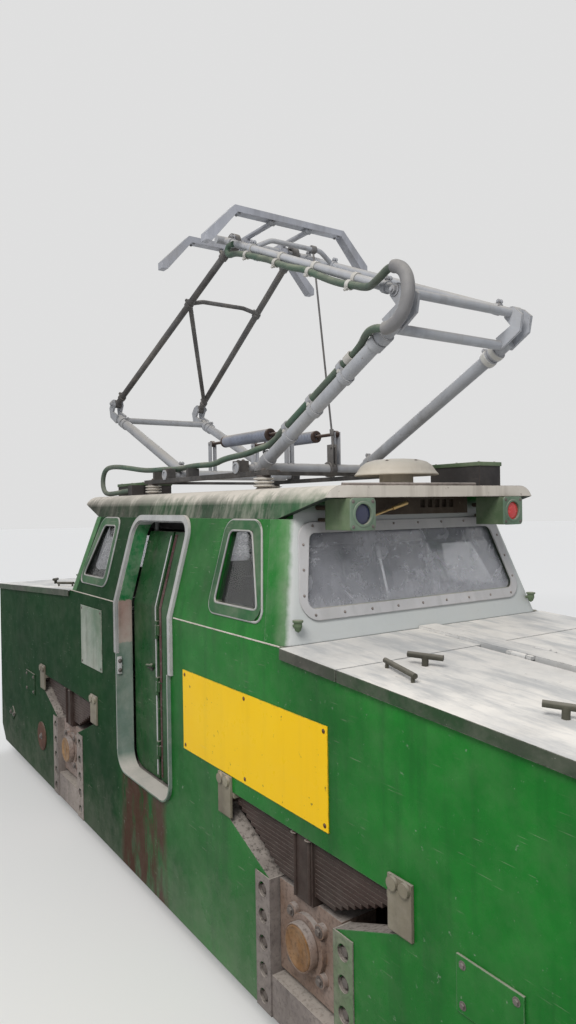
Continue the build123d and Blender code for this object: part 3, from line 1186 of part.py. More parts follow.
def spring_coil():
    """Rear part of each raising spring: an eye on the rear lever and the coil between its two caps."""
    height = SHAFT_Z + LEVER_LENGTH
    pieces = []
    for y in (-SPRING_Y, SPRING_Y):
        eye_span = (y - LEVER_EYE_WIDTH / 2, y + LEVER_EYE_WIDTH / 2)
        coil = Pos(SPRING_REAR_X, y, height) * coil_tube()
        coil += cross_rod(REAR_SHAFT_X, height, eye_span, LEVER_EYE_R)
        coil += rod((REAR_SHAFT_X, y, height), (SPRING_REAR_X, y, height), SPRING_ROD_R)
        pieces.append(coil - cross_rod(REAR_SHAFT_X, height, eye_span, LEVER_PIN_R + RUNNING_GAP))
    return joined(pieces)


def pantograph_base():
    """Two long rails tied by cross bars, with a bearing block at each shaft end."""
    rail_low = ROOF_Z + INSULATOR_HEIGHT
    rail_high = rail_low + BASE_RAIL_HEIGHT
    pieces = []
    holes = []
    for sign in (-1, 1):
        y_span = sorted((sign * (BASE_RAIL_Y - BASE_RAIL_WIDTH / 2), sign * (BASE_RAIL_Y + BASE_RAIL_WIDTH / 2)))
        pieces.append(block((BASE_REAR_X, BASE_FRONT_X), y_span, (rail_low, rail_high)))
        for shaft_x in (FRONT_SHAFT_X, REAR_SHAFT_X):
            half = BEARING_BLOCK / 2
            pieces.append(block((shaft_x - half, shaft_x + half), y_span, (rail_low, SHAFT_Z + half)))
            holes.append(cross_rod(shaft_x, SHAFT_Z, y_span, STUB_R + RUNNING_GAP))
    for x in (BASE_REAR_X, BASE_FRONT_X - BASE_RAIL_WIDTH):
        y_span = (-BASE_RAIL_Y, BASE_RAIL_Y)
        pieces.append(block((x, x + BASE_RAIL_WIDTH), y_span, (rail_low, rail_low + BASE_BAR_HEIGHT)))
    for x in SADDLE_PLACES:
        saddle_y = (-BASE_RAIL_Y, -BASE_RAIL_Y + BASE_RAIL_WIDTH + CABLE_R)
        saddle_top = max(z for along, y, z in ROOF_CABLE if abs(along - x) < 2 * CABLE_LEAD) - CABLE_R
        pieces.append(block((x - SADDLE_LENGTH / 2, x + SADDLE_LENGTH / 2), saddle_y, (rail_high, saddle_top)))
    whole = joined(pieces)
    for hole in holes:
        whole -= hole
    return whole


def insulators():
    """Ribbed insulators under the base rails."""
    profile = [(0, 0), (INSULATOR_R - 14, 0), (INSULATOR_R - 14, 8)]
    ribs = 3
    pitch = (INSULATOR_HEIGHT - 16) / ribs
    for rib in range(ribs):
        low = 8 + rib * pitch
        profile += [(INSULATOR_R, low + pitch * 0.25), (INSULATOR_R, low + pitch * 0.5), (INSULATOR_R - 14, low + pitch)]
    profile += [(INSULATOR_R - 14, INSULATOR_HEIGHT), (0, INSULATOR_HEIGHT)]
    face = make_face(Polyline(*[(radius, 0, z) for radius, z in profile], close=True))
    one = revolve(face, axis=Axis.Z)
    pieces = []
    for x in (REAR_INSULATOR_X, FRONT_INSULATOR_X):
        for y in (-BASE_RAIL_Y, BASE_RAIL_Y):
            pieces.append(Pos(x, y, ROOF_Z) * one)
    return joined(pieces)


def roof_dome():
    """Mushroom-shaped ventilator on the roof, on the centre line ahead of the pantograph base."""
    rim, stem = DOME_R, DOME_R * 0.4
    low, high = DOME_STEM_HEIGHT, DOME_HEIGHT
    profile = [(0, 0), (stem, 0), (stem, low), (rim, low), (rim, low + 8), (rim * 0.95, low + (high - low) * 0.5)]
    profile += [(rim * 0.8, low + (high - low) * 0.8), (rim * 0.5, low + (high - low) * 0.95), (0, high)]
    face = make_face(Polyline(*[(radius, 0, z) for radius, z in profile], close=True))
    return Pos(DOME_X, DOME_Y, ROOF_Z) * revolve(face, axis=Axis.Z)


def roof_boxes():
    front = block(FRONT_BOX_X, FRONT_BOX_Y, (ROOF_Z, ROOF_Z + FRONT_BOX_HEIGHT))
    rear = block(REAR_BOX_X, REAR_BOX_Y, (ROOF_Z, ROOF_Z + REAR_BOX_HEIGHT))
    terminal_x = (ROOF_CABLE[0][0], ROOF_CABLE[0][0] + TERMINAL_LENGTH)
    terminal_y = (ROOF_CABLE[0][1] - TERMINAL_HALF, ROOF_CABLE[0][1] + TERMINAL_HALF)
    terminal = block(terminal_x, terminal_y, (ROOF_Z, ROOF_CABLE[0][2] + 2 * CABLE_R))
    return joined([front, rear, terminal])


def cable(points, radius, name):
    """Round cable along straight runs joined by arcs as large as the runs allow."""
    vectors = [Vector(*point) for point in points]
    runs = [b - a for a, b in zip(vectors, vectors[1:])]
    radii = []
    for before, after in zip(runs, runs[1:]):
        turn = math.radians(before.get_angle(after))
        radii.append(0.45 * min(before.length, after.length) / math.tan(turn / 2))
    path = FilletPolyline(*points, radius=radii)
    print(name, "length", round(path.length), "bend radii", [round(each) for each in radii])
    section = Plane(origin=path @ 0, z_dir=path % 0) * Circle(radius)
    return sweep(section, path=path)


def cable_clamps():
    """Bands that hold the power cable on the front right lower arm."""
    run = Vector(*on_arm(FRONT_SHAFT_X, FRONT_KNUCKLE, 1, NECK_START, -NECK_DROP)) - Vector(FRONT_SHAFT_X, SHAFT_Z)
    lift = LOWER_R + ARM_CABLE_R + 1
    both = Circle(LOWER_R + CLAMP_WALL) + Pos(0, lift) * Circle(ARM_CABLE_R + CLAMP_WALL)
    both += Pos(0, lift / 2) * Rectangle(2 * ARM_CABLE_R, lift)
    both -= Circle(LOWER_R + RUNNING_GAP)
    both -= Pos(0, lift) * Circle(ARM_CABLE_R + RUNNING_GAP)
    bands = []
    for along in CLAMP_PLACES:
        share = along / NECK_START
        middle = (FRONT_SHAFT_X + run.X * share, -ARM_Y, SHAFT_Z + run.Y * share)
        across = Plane(origin=middle, x_dir=(0, 1, 0), z_dir=(run.X, 0, run.Y))
        bands.append(extrude(across * both, amount=CLAMP_LENGTH / 2, both=True))
    return joined(bands)


def cable_nodes():
    """Power cable: over the roof, along a front lower arm, round the knuckle, along the upper arm."""
    slope = -NECK_DROP / NECK_START
    lift = LOWER_R + ARM_CABLE_R + 1
    lead = CABLE_LEAD
    places = (ARM_CABLE_START - lead, ARM_CABLE_START, ARM_CABLE_END, ARM_CABLE_END + lead)
    arm = [on_arm(FRONT_SHAFT_X, FRONT_KNUCKLE, 1, along, along * slope + lift) for along in places]
    before, start, end, after = [(x, -ARM_Y, z) for x, z in arm]
    run = Vector(APEX[0] - FRONT_KNUCKLE[0], ARM_Y - FRONT_APEX_Y, APEX[1] - FRONT_KNUCKLE[1])
    offset = (UPPER_R + CABLE_R + 1) / math.sqrt(2)
    down = Vector(run.Z, 0, -run.X).normalized() * -offset + Vector(0, -offset, 0)
    base = Vector(FRONT_KNUCKLE[0], -ARM_Y, FRONT_KNUCKLE[1]) + down
    places = (UPPER_CABLE_START - lead, UPPER_CABLE_START, UPPER_CABLE_END)
    upper_before, upper_start, upper_end = [tuple(base + run * (along / run.length)) for along in places]
    nodes = {"power_cable_roof": cable(ROOF_CABLE, CABLE_R, "roof cable")}
    nodes["power_cable_turn"] = cable(TURN_CABLE + [before, start], CABLE_R, "cable at the shaft")
    nodes["power_cable_arm"] = rod(start, end, ARM_CABLE_R)
    knuckle = [end, after] + KNUCKLE_CABLE + [upper_before, upper_start]
    nodes["power_cable_knuckle"] = cable(knuckle, CABLE_R, "cable at the knuckle")
    nodes["power_cable_upper"] = rod(upper_start, upper_end, CABLE_R)
    return nodes


nodes = {}
frame = side_frame()
nodes["side_frame_right"] = frame
nodes["side_frame_left"] = on_left(frame)
nodes["end_beams"] = joined(both_ends(end_beam()))
nodes["couplers"] = joined(both_ends(coupler()))
nodes["cross_members"] = cross_members()
nodes["cab_floor"] = cab_floor()
nodes["decks"] = joined(both_ends(deck()))
nodes["motors"] = joined(both_ends(motor()))
nodes["wheelset_front"] = wheelset(AXLE_X)
nodes["wheelset_rear"] = wheelset(-AXLE_X)
nodes["axle_boxes"] = joined(all_corners(axle_box()))
nodes["leaf_springs"] = joined(all_corners(leaf_spring()))
nodes["spring_hangers"] = joined([each for side in (-1, 1) for each in all_corners(spring_hanger(side))])
nodes["horn_guides"] = joined(all_corners(horn_guide()))
nodes["brake_gear"] = joined(both_ends(brake_gear()))
nodes["hood_tops"] = joined(both_ends(hood_top()))
front_right_lid = lid()
nodes["lid_front_right"] = front_right_lid
nodes["lid_front_left"] = on_left(front_right_lid)
nodes["lid_rear_right"] = at_rear(front_right_lid)
nodes["lid_rear_left"] = at_rear(on_left(front_right_lid))

walls = cab_walls()
zone = front_zone()
front_wall = walls & zone
middle_walls = walls - zone - at_rear(zone)
right_half = block((-CAB_HALF, CAB_HALF), (-HALF_WIDTH, 0), (BELT_Z, ROOF_Z))
right_wall = middle_walls & right_half
nodes["cab_front"] = front_wall
nodes["cab_rear"] = at_rear(front_wall)
nodes["cab_side_right"] = right_wall
nodes["cab_side_left"] = on_left(right_wall)
nodes["cab_roof"] = roof()
nodes["window_frames"] = window_frames()
nodes["windows"] = windows()
nodes["door_frames"] = joined(both_sides(door_frame()))
nodes["door_runners"] = door_runners()
rear_right_leaf = rear_leaf()
front_right_leaf = front_leaf()
nodes["door_rear_leaf_right"] = rear_right_leaf
nodes["door_front_leaf_right"] = front_right_leaf
nodes["door_rear_leaf_left"] = on_left(rear_right_leaf)
nodes["door_front_leaf_left"] = on_left(front_right_leaf)
nodes["lamp_boxes"] = joined(all_corners(lamp_box()))
nodes["lamp_lenses"] = joined(all_corners(lamp_lens()))
nodes["sign_plates"] = joined(both_sides(sign_plate()))
nodes["side_covers"] = side_covers()
nodes["frame_lugs"] = frame_lugs()
nodes["corner_knobs"] = joined(all_corners(corner_knob()))
nodes["visor_panels"] = joined([visor_panel(), at_rear(on_left(visor_panel()))])
nodes["door_trims"] = joined(both_sides(door_trim()))
nodes["seats"] = joined(both_ends(seat()))
nodes["controllers"] = joined([controller(), at_rear(on_left(controller()))])

nodes["pantograph_base"] = pantograph_base()
nodes["insulators"] = insulators()
nodes["front_lower_frame"] = lower_frame(FRONT_SHAFT_X, FRONT_KNUCKLE, 1)
nodes["rear_lower_frame"] = lower_frame(REAR_SHAFT_X, REAR_KNUCKLE, -1)
nodes["front_upper_frame"] = front_upper_frame()
nodes["rear_upper_frame"] = rear_upper_frame()
nodes["pan_head"] = pan_head()
nodes["spring_rods"] = spring_rod()
nodes["spring_coils"] = spring_coil()
nodes["roof_dome"] = roof_dome()
nodes["roof_boxes"] = roof_boxes()
nodes["cable_clamps"] = cable_clamps()
nodes.update(cable_nodes())

print("front knuckle", FRONT_KNUCKLE, "rear knuckle", REAR_KNUCKLE, "apex", APEX)
print("fold axis", FOLD_X, FOLD_Y, "guide", GUIDE_X)

os.makedirs("parts", exist_ok=True)
for name, shape in nodes.items():
    export_step(shape, f"parts/{name}.step")
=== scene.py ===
# %% [markdown]
# # A narrow-gauge mine locomotive, finished in Blender
# The steel parts of this locomotive come from a CAD model and arrive as a fixed frame. Blender adds what
# a workshop and fifty years of dust add: paint, wear, bolts, springs, glass and the power hose. Every
# piece is drawn in metres, where it sits on the locomotive, and rides on one of its bodies.

# %% Load the frame
import json
import math
import bpy
import bmesh
from mathutils import Matrix, Vector


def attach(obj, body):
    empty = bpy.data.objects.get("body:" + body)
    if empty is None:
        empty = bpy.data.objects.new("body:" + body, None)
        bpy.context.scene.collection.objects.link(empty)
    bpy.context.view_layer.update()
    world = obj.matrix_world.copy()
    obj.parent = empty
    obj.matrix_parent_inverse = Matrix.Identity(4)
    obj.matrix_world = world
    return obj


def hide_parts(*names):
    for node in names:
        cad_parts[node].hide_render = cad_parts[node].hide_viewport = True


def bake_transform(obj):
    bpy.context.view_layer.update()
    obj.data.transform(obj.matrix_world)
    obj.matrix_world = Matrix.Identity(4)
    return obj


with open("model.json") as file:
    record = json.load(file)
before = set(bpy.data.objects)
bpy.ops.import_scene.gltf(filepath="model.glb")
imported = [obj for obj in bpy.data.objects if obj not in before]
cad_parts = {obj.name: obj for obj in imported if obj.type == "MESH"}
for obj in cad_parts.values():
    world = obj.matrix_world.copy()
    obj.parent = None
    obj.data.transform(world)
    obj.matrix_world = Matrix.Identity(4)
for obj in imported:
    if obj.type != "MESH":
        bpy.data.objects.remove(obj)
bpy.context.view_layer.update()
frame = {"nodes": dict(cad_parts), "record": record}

# %% [markdown]
# ## Building shaders
# A material in Blender is a small network of nodes. Two short helpers keep the later cells readable: one
# puts a node in a network and fills in its sockets, the other joins two sockets.

# %% Node helpers
def put(tree, kind, values=(), **settings):
    """Add one node, set its options and the values of its input sockets."""
    made = tree.nodes.new(kind)
    for name, value in settings.items():
        setattr(made, name, value)
    for socket, value in dict(values).items():
        made.inputs[socket].default_value = value
    return made


def join(tree, source, target):
    tree.links.new(source, target)


# %% [markdown]
# Most masks come from a little arithmetic. A Map Range node stretches a part of a value to a full mask,
# and Math nodes multiply masks, where both must hold, or add them, where either may.

# %% Arithmetic on masks
def span(tree, source, low, high, out_low=0.0, out_high=1.0):
    """Stretch a value between two limits to a new range, held inside it."""
    node = put(tree, "ShaderNodeMapRange", {1: low, 2: high, 3: out_low, 4: out_high})
    join(tree, source, node.inputs[0])
    return node.outputs[0]


def sums(tree, operation, first, *others):
    """One sum on two or more values in turn; each is a socket or a number."""
    result = first
    for other in others:
        node = put(tree, "ShaderNodeMath", operation=operation)
        for place, value in enumerate((result, other)):
            if isinstance(value, (int, float)):
                node.inputs[place].default_value = value
            else:
                join(tree, value, node.inputs[place])
        result = node.outputs[0]
    return result


def times(tree, *factors):
    return sums(tree, "MULTIPLY", *factors)


def plus(tree, *terms):
    return sums(tree, "ADD", *terms)


# %% [markdown]
# Colours are blended by a Mix node, and nearly every pattern starts as cloudy noise. The noise reads
# Object coordinates, which are metres on the piece, so a cloud has the same size on every piece.

# %% Blend and noise
def tint(tree, share, first, second):
    """Blend two colours; each is a socket or a colour."""
    node = put(tree, "ShaderNodeMix", data_type="RGBA")
    join(tree, share, node.inputs[0])
    for place, value in ((6, first), (7, second)):
        if isinstance(value, tuple):
            node.inputs[place].default_value = value
        else:
            join(tree, value, node.inputs[place])
    return node.outputs[2]


def noise(tree, place, scale, detail=4.0, rough=0.55, stretch=None):
    """Cloudy noise in the piece's own metres; stretch squeezes it along chosen axes."""
    if stretch:
        mapping = put(tree, "ShaderNodeMapping", {3: stretch})
        join(tree, place, mapping.inputs[0])
        place = mapping.outputs[0]
    node = put(tree, "ShaderNodeTexNoise", {2: scale, 3: detail, 4: rough})
    join(tree, place, node.inputs[0])
    return node.outputs[0]


def split(tree, source):
    """The X, Y and Z sockets of a vector."""
    node = put(tree, "ShaderNodeSeparateXYZ")
    join(tree, source, node.inputs[0])
    return node.outputs


# %% [markdown]
# ## Wear on edges
# Paint goes first where hands, tools and other metal touch: on the edges. Blender's Bevel node finds an
# edge by averaging the surface round a point; where that average leans away from the true surface there
# is an edge.

# %% The edge group
NUMBER, COLOUR, ARROW = "NodeSocketFloat", "NodeSocketColor", "NodeSocketVector"


def new_group(name, inputs, outputs):
    """A shader node group with named input and output sockets."""
    group = bpy.data.node_groups.new(name, "ShaderNodeTree")
    for label, kind, value in inputs:
        socket = group.interface.new_socket(label, in_out="INPUT", socket_type=kind)
        socket.default_value = value
    for label, kind in outputs:
        group.interface.new_socket(label, in_out="OUTPUT", socket_type=kind)
    return group, put(group, "NodeGroupInput").outputs, put(group, "NodeGroupOutput").inputs


edge_group, edge_in, edge_out = new_group(
    "worn edges", [("Radius", NUMBER, 0.004)], [("Edge", NUMBER), ("Normal", ARROW)])
rounding = put(edge_group, "ShaderNodeBevel", samples=4)
join(edge_group, edge_in["Radius"], rounding.inputs[0])
surface = put(edge_group, "ShaderNodeNewGeometry")
lean = put(edge_group, "ShaderNodeVectorMath", operation="DOT_PRODUCT")
join(edge_group, rounding.outputs[0], lean.inputs[0])
join(edge_group, surface.outputs["Normal"], lean.inputs[1])
join(edge_group, span(edge_group, lean.outputs["Value"], 0.985, 0.8), edge_out["Edge"])
join(edge_group, rounding.outputs[0], edge_out["Normal"])
print("edge group has", len(edge_group.nodes), "nodes")

# %% [markdown]
# ## Weathered metal
# One group paints nearly all of the metal. In order, it mottles the paint, lets dirt run down it,
# scratches it, chips it at its edges and lays dust on whatever faces up. Each material then sets only its
# own colours and amounts, so the sockets are the list of all that can differ.

# %% Sockets of the weathered metal group
def rgb(red, green, blue):
    return (red, green, blue, 1.0)


AMOUNTS = {
    "Mottle": 0.8, "Streaks": 0.3, "Scratches": 0.3, "Chips": 0.5, "Dust cover": 0.5, "Smear": 0.15,
    "Grime": 0.0, "Splash": 0.0, "Door rust": 0.0, "Front grey": 0.0, "Brush marks": 0.0, "Spill": 0.0,
    "Pits": 0.0, "Sheen": 0.45, "Grain": 0.3, "Edge radius": 0.004,
}
# Dirt colours the streaks and the pits, and also the rear darkening, which is partly painted shade.
COATS = {
    "Paint": rgb(0.5, 0.5, 0.5), "Shade": rgb(0.3, 0.3, 0.3), "Dirt": rgb(0.05, 0.045, 0.04),
    "Under": rgb(0.1, 0.06, 0.04), "Dust": rgb(0.4, 0.37, 0.33),
}
sockets = [(label, COLOUR, value) for label, value in COATS.items()]
sockets += [(label, NUMBER, value) for label, value in AMOUNTS.items()]
metal_group, metal_in, metal_out = new_group(
    "weathered metal", sockets, [("Color", COLOUR), ("Roughness", NUMBER), ("Normal", ARROW)])
t = metal_group
where = put(t, "ShaderNodeTexCoord").outputs
at = where["Object"]
along, _, height = split(t, at)
faces_x, _, faces_up = split(t, where["Normal"])
print("the group has", len(sockets), "inputs")

# %% [markdown]
# First the paint itself. Broad clouds fade it towards a second shade, as weather and rags do, and small
# clouds break the broad ones up.

# %% Mottled paint
broad = span(t, noise(t, at, 1.6, 5.0), 0.38, 0.62)
colour = tint(t, times(t, broad, metal_in["Mottle"]), metal_in["Paint"], metal_in["Shade"])
cloudy = span(t, noise(t, at, 17.0, 6.0, 0.65), 0.35, 0.75)
colour = tint(t, times(t, cloudy, metal_in["Mottle"], 0.45), colour, metal_in["Shade"])

# %% [markdown]
# Water and oil run straight down, so the noise for the streaks is squeezed sideways and left long in Z.
# The rear half of the sides is darker, partly from soot and partly as painted shade for the dimmer rear, and
# the wheels throw pale dust on their foot; both masks follow the place on the body, with noise added so that
# they end raggedly.

# %% Streaks, grime with painted shade, and splash
STREAK_SQUEEZE = (16.0, 16.0, 1.1)
GRIME_SHADE_FROM, GRIME_SHADE_FULL = 1.15, 0.2
SPLASH_FROM, SPLASH_FULL = 0.72, 0.42

runs = span(t, noise(t, at, 1.0, 6.0, 0.62, STREAK_SQUEEZE), 0.5, 0.74)
colour = tint(t, times(t, runs, metal_in["Streaks"]), colour, metal_in["Dirt"])
drift = noise(t, at, 2.2, 6.0, 0.62)
# Darker towards the rear: partly soot, partly painted shade for the dimmer rear.
rear_grime_and_shade = span(t, plus(t, along, times(t, drift, 1.1)), GRIME_SHADE_FROM, GRIME_SHADE_FULL)
rear_grime_and_shade = times(t, rear_grime_and_shade, metal_in["Grime"])
colour = tint(t, rear_grime_and_shade, colour, metal_in["Dirt"])
ragged_foot = plus(t, height, times(t, noise(t, at, 11.0, 6.0, 0.72), 0.7))
spray = span(t, ragged_foot, SPLASH_FROM, SPLASH_FULL)
colour = tint(t, times(t, spray, metal_in["Splash"]), colour, metal_in["Dust"])

# %% [markdown]
# Boots and rain have taken the paint off below the door's sill, and the plate is rusty there. The mask is
# 1 within a hand's width of the door's middle, which the square of the distance gives, and below the
# sill. Noise squeezed like the streaks lets the rust run down in tongues.

# %% Rust below the doors
DOOR_MIDDLE = -0.07
SILL_HEIGHT, SILL_FADE = 0.49, 0.04
RUST_SQUEEZE = (22.0, 22.0, 5.0)

aside = sums(t, "SUBTRACT", along, DOOR_MIDDLE)
sill = span(t, plus(t, times(t, aside, aside), times(t, drift, 0.05)), 0.085, 0.065)
sill = times(t, sill, span(t, height, SILL_HEIGHT + SILL_FADE, SILL_HEIGHT))
sill = times(t, sill, span(t, noise(t, at, 1.0, 6.0, 0.7, RUST_SQUEEZE), 0.38, 0.52))
colour = tint(t, times(t, sill, metal_in["Door rust"]), colour, rgb(0.06, 0.022, 0.015))

# %% [markdown]
# The ends of the cab, round the windscreens, wear a grey coat that turns the corner with the sheet. Which
# way a face looks decides it: the square of the normal's X is near 1 on an end.

# %% Greyed ends and brush marks
GREY_TOP = 1.62

endwards = plus(t, times(t, faces_x, faces_x), times(t, noise(t, at, 30.0, 5.0, 0.7), 0.3))
endwards = times(t, span(t, endwards, 0.62, 0.9), metal_in["Front grey"])
endwards = times(t, endwards, span(t, height, GREY_TOP, GREY_TOP - 0.04))
colour = tint(t, endwards, colour, rgb(0.55, 0.57, 0.58))
strokes = span(t, noise(t, at, 1.0, 7.0, 0.68, (3.2, 13.0, 9.0)), 0.46, 0.62)
strokes = times(t, strokes, metal_in["Brush marks"])

# %% [markdown]
# A scratch is a thin slanting line. Noise that is squeezed hundreds of times in one direction gives many
# of them; two such noises with different slants are joined, and a broad cloud keeps them in patches.

# %% Scratches
nicks = []
for slant in (0.35, -1.1):
    turned = put(t, "ShaderNodeMapping", {2: (0.0, slant, 0.0), 3: (9.0, 9.0, 260.0)})
    join(t, at, turned.inputs[0])
    nicks.append(span(t, noise(t, turned.outputs[0], 1.0, 2.0, 0.5), 0.7, 0.76))
patch = span(t, noise(t, at, 5.0, 4.0), 0.5, 0.62)
hair = times(t, sums(t, "MAXIMUM", *nicks), patch, metal_in["Scratches"])
colour = tint(t, hair, colour, metal_in["Dust"])

# %% [markdown]
# Chips show the coat below. The edge group says where the edges are, and crumbly noise eats into that
# mask and adds a few specks on open faces.

# %% Chips at the edges
edge = put(t, "ShaderNodeGroup", node_tree=edge_group)
join(t, metal_in["Edge radius"], edge.inputs["Radius"])
crumble = noise(t, at, 46.0, 5.0, 0.7)
specks = span(t, crumble, 0.66, 0.72)
bare = plus(t, specks, times(t, edge.outputs["Edge"], span(t, crumble, 0.38, 0.55)))
bare = sums(t, "MINIMUM", times(t, bare, metal_in["Chips"]), 1.0)
colour = tint(t, bare, colour, metal_in["Under"])

# %% [markdown]
# Dust lies on what faces up, so its mask comes from the normal's Z.

# %% Dust
SPILL_SQUEEZE = (15.0, 12.0, 2.2)

lying = span(t, faces_up, 0.25, 0.9)
thick = times(t, lying, span(t, noise(t, at, 4.0, 6.0, 0.6), 0.25, 0.6, 0.55, 1.0))
thin = times(t, span(t, noise(t, at, 7.0, 7.0, 0.72), 0.44, 0.72), metal_in["Smear"])
film = plus(t, times(t, thick, metal_in["Dust cover"]), thin)
tongues = span(t, noise(t, at, 1.0, 7.0, 0.72, SPILL_SQUEEZE), 0.46, 0.66)
tongues = times(t, tongues, span(t, noise(t, at, 3.0, 3.0), 0.38, 0.58, 0.35, 1.0))
spilt = times(t, tongues, span(t, faces_up, 0.0, 0.6))
film = plus(t, film, times(t, spilt, metal_in["Spill"]))
film = sums(t, "MINIMUM", film, 0.96)
colour = tint(t, film, colour, metal_in["Dust"])
colour = tint(t, strokes, colour, metal_in["Shade"])

# %% [markdown]
# Old castings are pitted. The pits are dark, and the bump below sinks them.

# %% Pits and roughness
pits = times(t, span(t, noise(t, at, 75.0, 5.0, 0.72), 0.5, 0.64), metal_in["Pits"])
join(t, tint(t, pits, colour, metal_in["Dirt"]), metal_out["Color"])

matt = plus(t, metal_in["Sheen"], times(t, film, 0.45), times(t, rear_grime_and_shade, 0.55))
matt = plus(t, matt, times(t, sums(t, "SUBTRACT", cloudy, 0.4), 0.15), times(t, bare, 0.2))
join(t, sums(t, "MINIMUM", matt, 1.0), metal_out["Roughness"])

# %% [markdown]
# The relief is one height for the Bump node: fine grain all over, chips and pits below it and the film of
# dust above it. The bump starts from the normal of the edge group, so edges stay rounded.

# %% Relief
grain = times(t, noise(t, at, 150.0, 4.0, 0.6), metal_in["Grain"])
relief = plus(t, grain, times(t, bare, -0.8), times(t, film, 0.3), times(t, pits, -1.2))
bump = put(t, "ShaderNodeBump", {"Strength": 0.35, "Distance": 0.0012})
join(t, relief, bump.inputs["Height"])
join(t, edge.outputs["Normal"], bump.inputs["Normal"])
join(t, bump.outputs[0], metal_out["Normal"])
print("weathered metal group has", len(t.nodes), "nodes")

# %% [markdown]
# ## The finishes
# Each finish below is a shader of its own that takes colour, roughness and relief from the group. Its
# specular level is low, because a film of dust hides most of a paint's mirror.

# %% A finish from the group
STONE_DUST = rgb(0.42, 0.38, 0.34)
RUST = rgb(0.1, 0.045, 0.022)
PRIMER = rgb(0.28, 0.33, 0.27)
BODY_GREEN = rgb(0.012, 0.185, 0.022)
BODY_SHADE = rgb(0.006, 0.09, 0.013)
DUSTY_SPECULAR = 0.1


def plain(name):
    """A new material, its network and its shader."""
    material = bpy.data.materials.new(name)
    material.use_nodes = True
    return material, material.node_tree, material.node_tree.nodes["Principled BSDF"]


def weathered(name, metallic=0.0, **looks):
    """A metal finish: keyword names are the group's sockets, with _ for a space."""
    material, tree, shader = plain(name)
    shader.inputs["Metallic"].default_value = metallic
    shader.inputs["Specular IOR Level"].default_value = DUSTY_SPECULAR
    body = put(tree, "ShaderNodeGroup", node_tree=metal_group)
    for socket, value in looks.items():
        body.inputs[socket.replace("_", " ")].default_value = value
    for socket, target in (("Color", "Base Color"), ("Roughness", "Roughness"), ("Normal", "Normal")):
        join(tree, body.outputs[socket], shader.inputs[target])
    return material


# %% [markdown]
# The body is a strong green, thin enough to show its mottling. It chips to a pale primer, and each place has
# aged in its own way: the cab ends are greyed by dust and the roof is caked with it. The door's green is
# darker, as painted shade on its angled leaves, and the rear halves of body and roof are darkened, partly by
# soot and partly as painted shade.

# %% Green paints
finish = {
    # Grime darkens the rear half of the body and the roof, partly soot and partly painted shade.
    "green_paint": weathered(
        "green body paint", Paint=BODY_GREEN, Shade=BODY_SHADE, Dirt=rgb(0.005, 0.022, 0.01),
        Under=PRIMER, Dust=STONE_DUST, Mottle=0.8, Streaks=0.35, Scratches=0.5, Chips=0.6,
        Dust_cover=0.85, Smear=0.06, Grime=0.86, Splash=0.14, Door_rust=0.9, Sheen=0.28, Grain=0.2),
    "cab_end_paint": weathered(
        "green paint greyed by dust", Paint=BODY_GREEN, Shade=BODY_SHADE, Dirt=rgb(0.05, 0.07, 0.05),
        Under=PRIMER, Dust=rgb(0.5, 0.47, 0.43), Mottle=0.8, Streaks=0.35, Scratches=0.4, Chips=0.5,
        Dust_cover=0.85, Smear=0.15, Front_grey=0.92, Sheen=0.28, Grain=0.2),
    "roof_green": weathered(
        "dust-caked green roof", Paint=rgb(0.022, 0.1, 0.036), Shade=rgb(0.02, 0.04, 0.024),
        Dirt=rgb(0.03, 0.028, 0.025), Under=rgb(0.16, 0.17, 0.14), Dust=rgb(0.6, 0.56, 0.5),
        Mottle=1.0, Streaks=0.6, Scratches=0.3, Chips=0.7, Dust_cover=0.95, Smear=0.1, Grime=0.6,
        Spill=0.85, Sheen=0.5, Grain=0.5),
    # The door's darker green is painted shade for its angled leaves.
    "door_paint": weathered(
        "door green darkened as painted shade", Paint=rgb(0.01, 0.08, 0.018), Shade=rgb(0.005, 0.038, 0.011),
        Dirt=rgb(0.03, 0.035, 0.025), Under=rgb(0.16, 0.17, 0.13), Dust=STONE_DUST, Mottle=1.0,
        Streaks=0.6, Scratches=0.6, Chips=0.8, Dust_cover=0.7, Smear=0.12, Sheen=0.3),
    "window_rim": weathered(
        "green window rim", Paint=rgb(0.03, 0.13, 0.045), Shade=rgb(0.02, 0.07, 0.03),
        Dirt=rgb(0.03, 0.035, 0.03), Under=rgb(0.22, 0.24, 0.2), Dust=STONE_DUST, Mottle=0.9,
        Streaks=0.3, Chips=0.8, Dust_cover=0.8, Smear=0.25, Sheen=0.4, Grain=0.3),
    "dusty_green": weathered(
        "green horn guide face", Paint=rgb(0.06, 0.2, 0.065), Shade=rgb(0.16, 0.17, 0.12),
        Dirt=rgb(0.03, 0.03, 0.025), Under=rgb(0.1, 0.09, 0.08), Dust=rgb(0.36, 0.35, 0.3),
        Mottle=1.0, Streaks=0.4, Chips=0.7, Pits=0.3, Dust_cover=0.9, Smear=0.55, Sheen=0.5,
        Grain=0.6),
    "hood_edge": weathered(
        "rubbed hood edge", Paint=rgb(0.022, 0.06, 0.024), Shade=rgb(0.06, 0.062, 0.052),
        Dirt=rgb(0.05, 0.05, 0.045), Under=rgb(0.36, 0.34, 0.31), Dust=STONE_DUST, Mottle=1.0,
        Streaks=0.3, Chips=0.8, Dust_cover=0.8, Smear=0.16, Sheen=0.5, Grain=0.4),
}
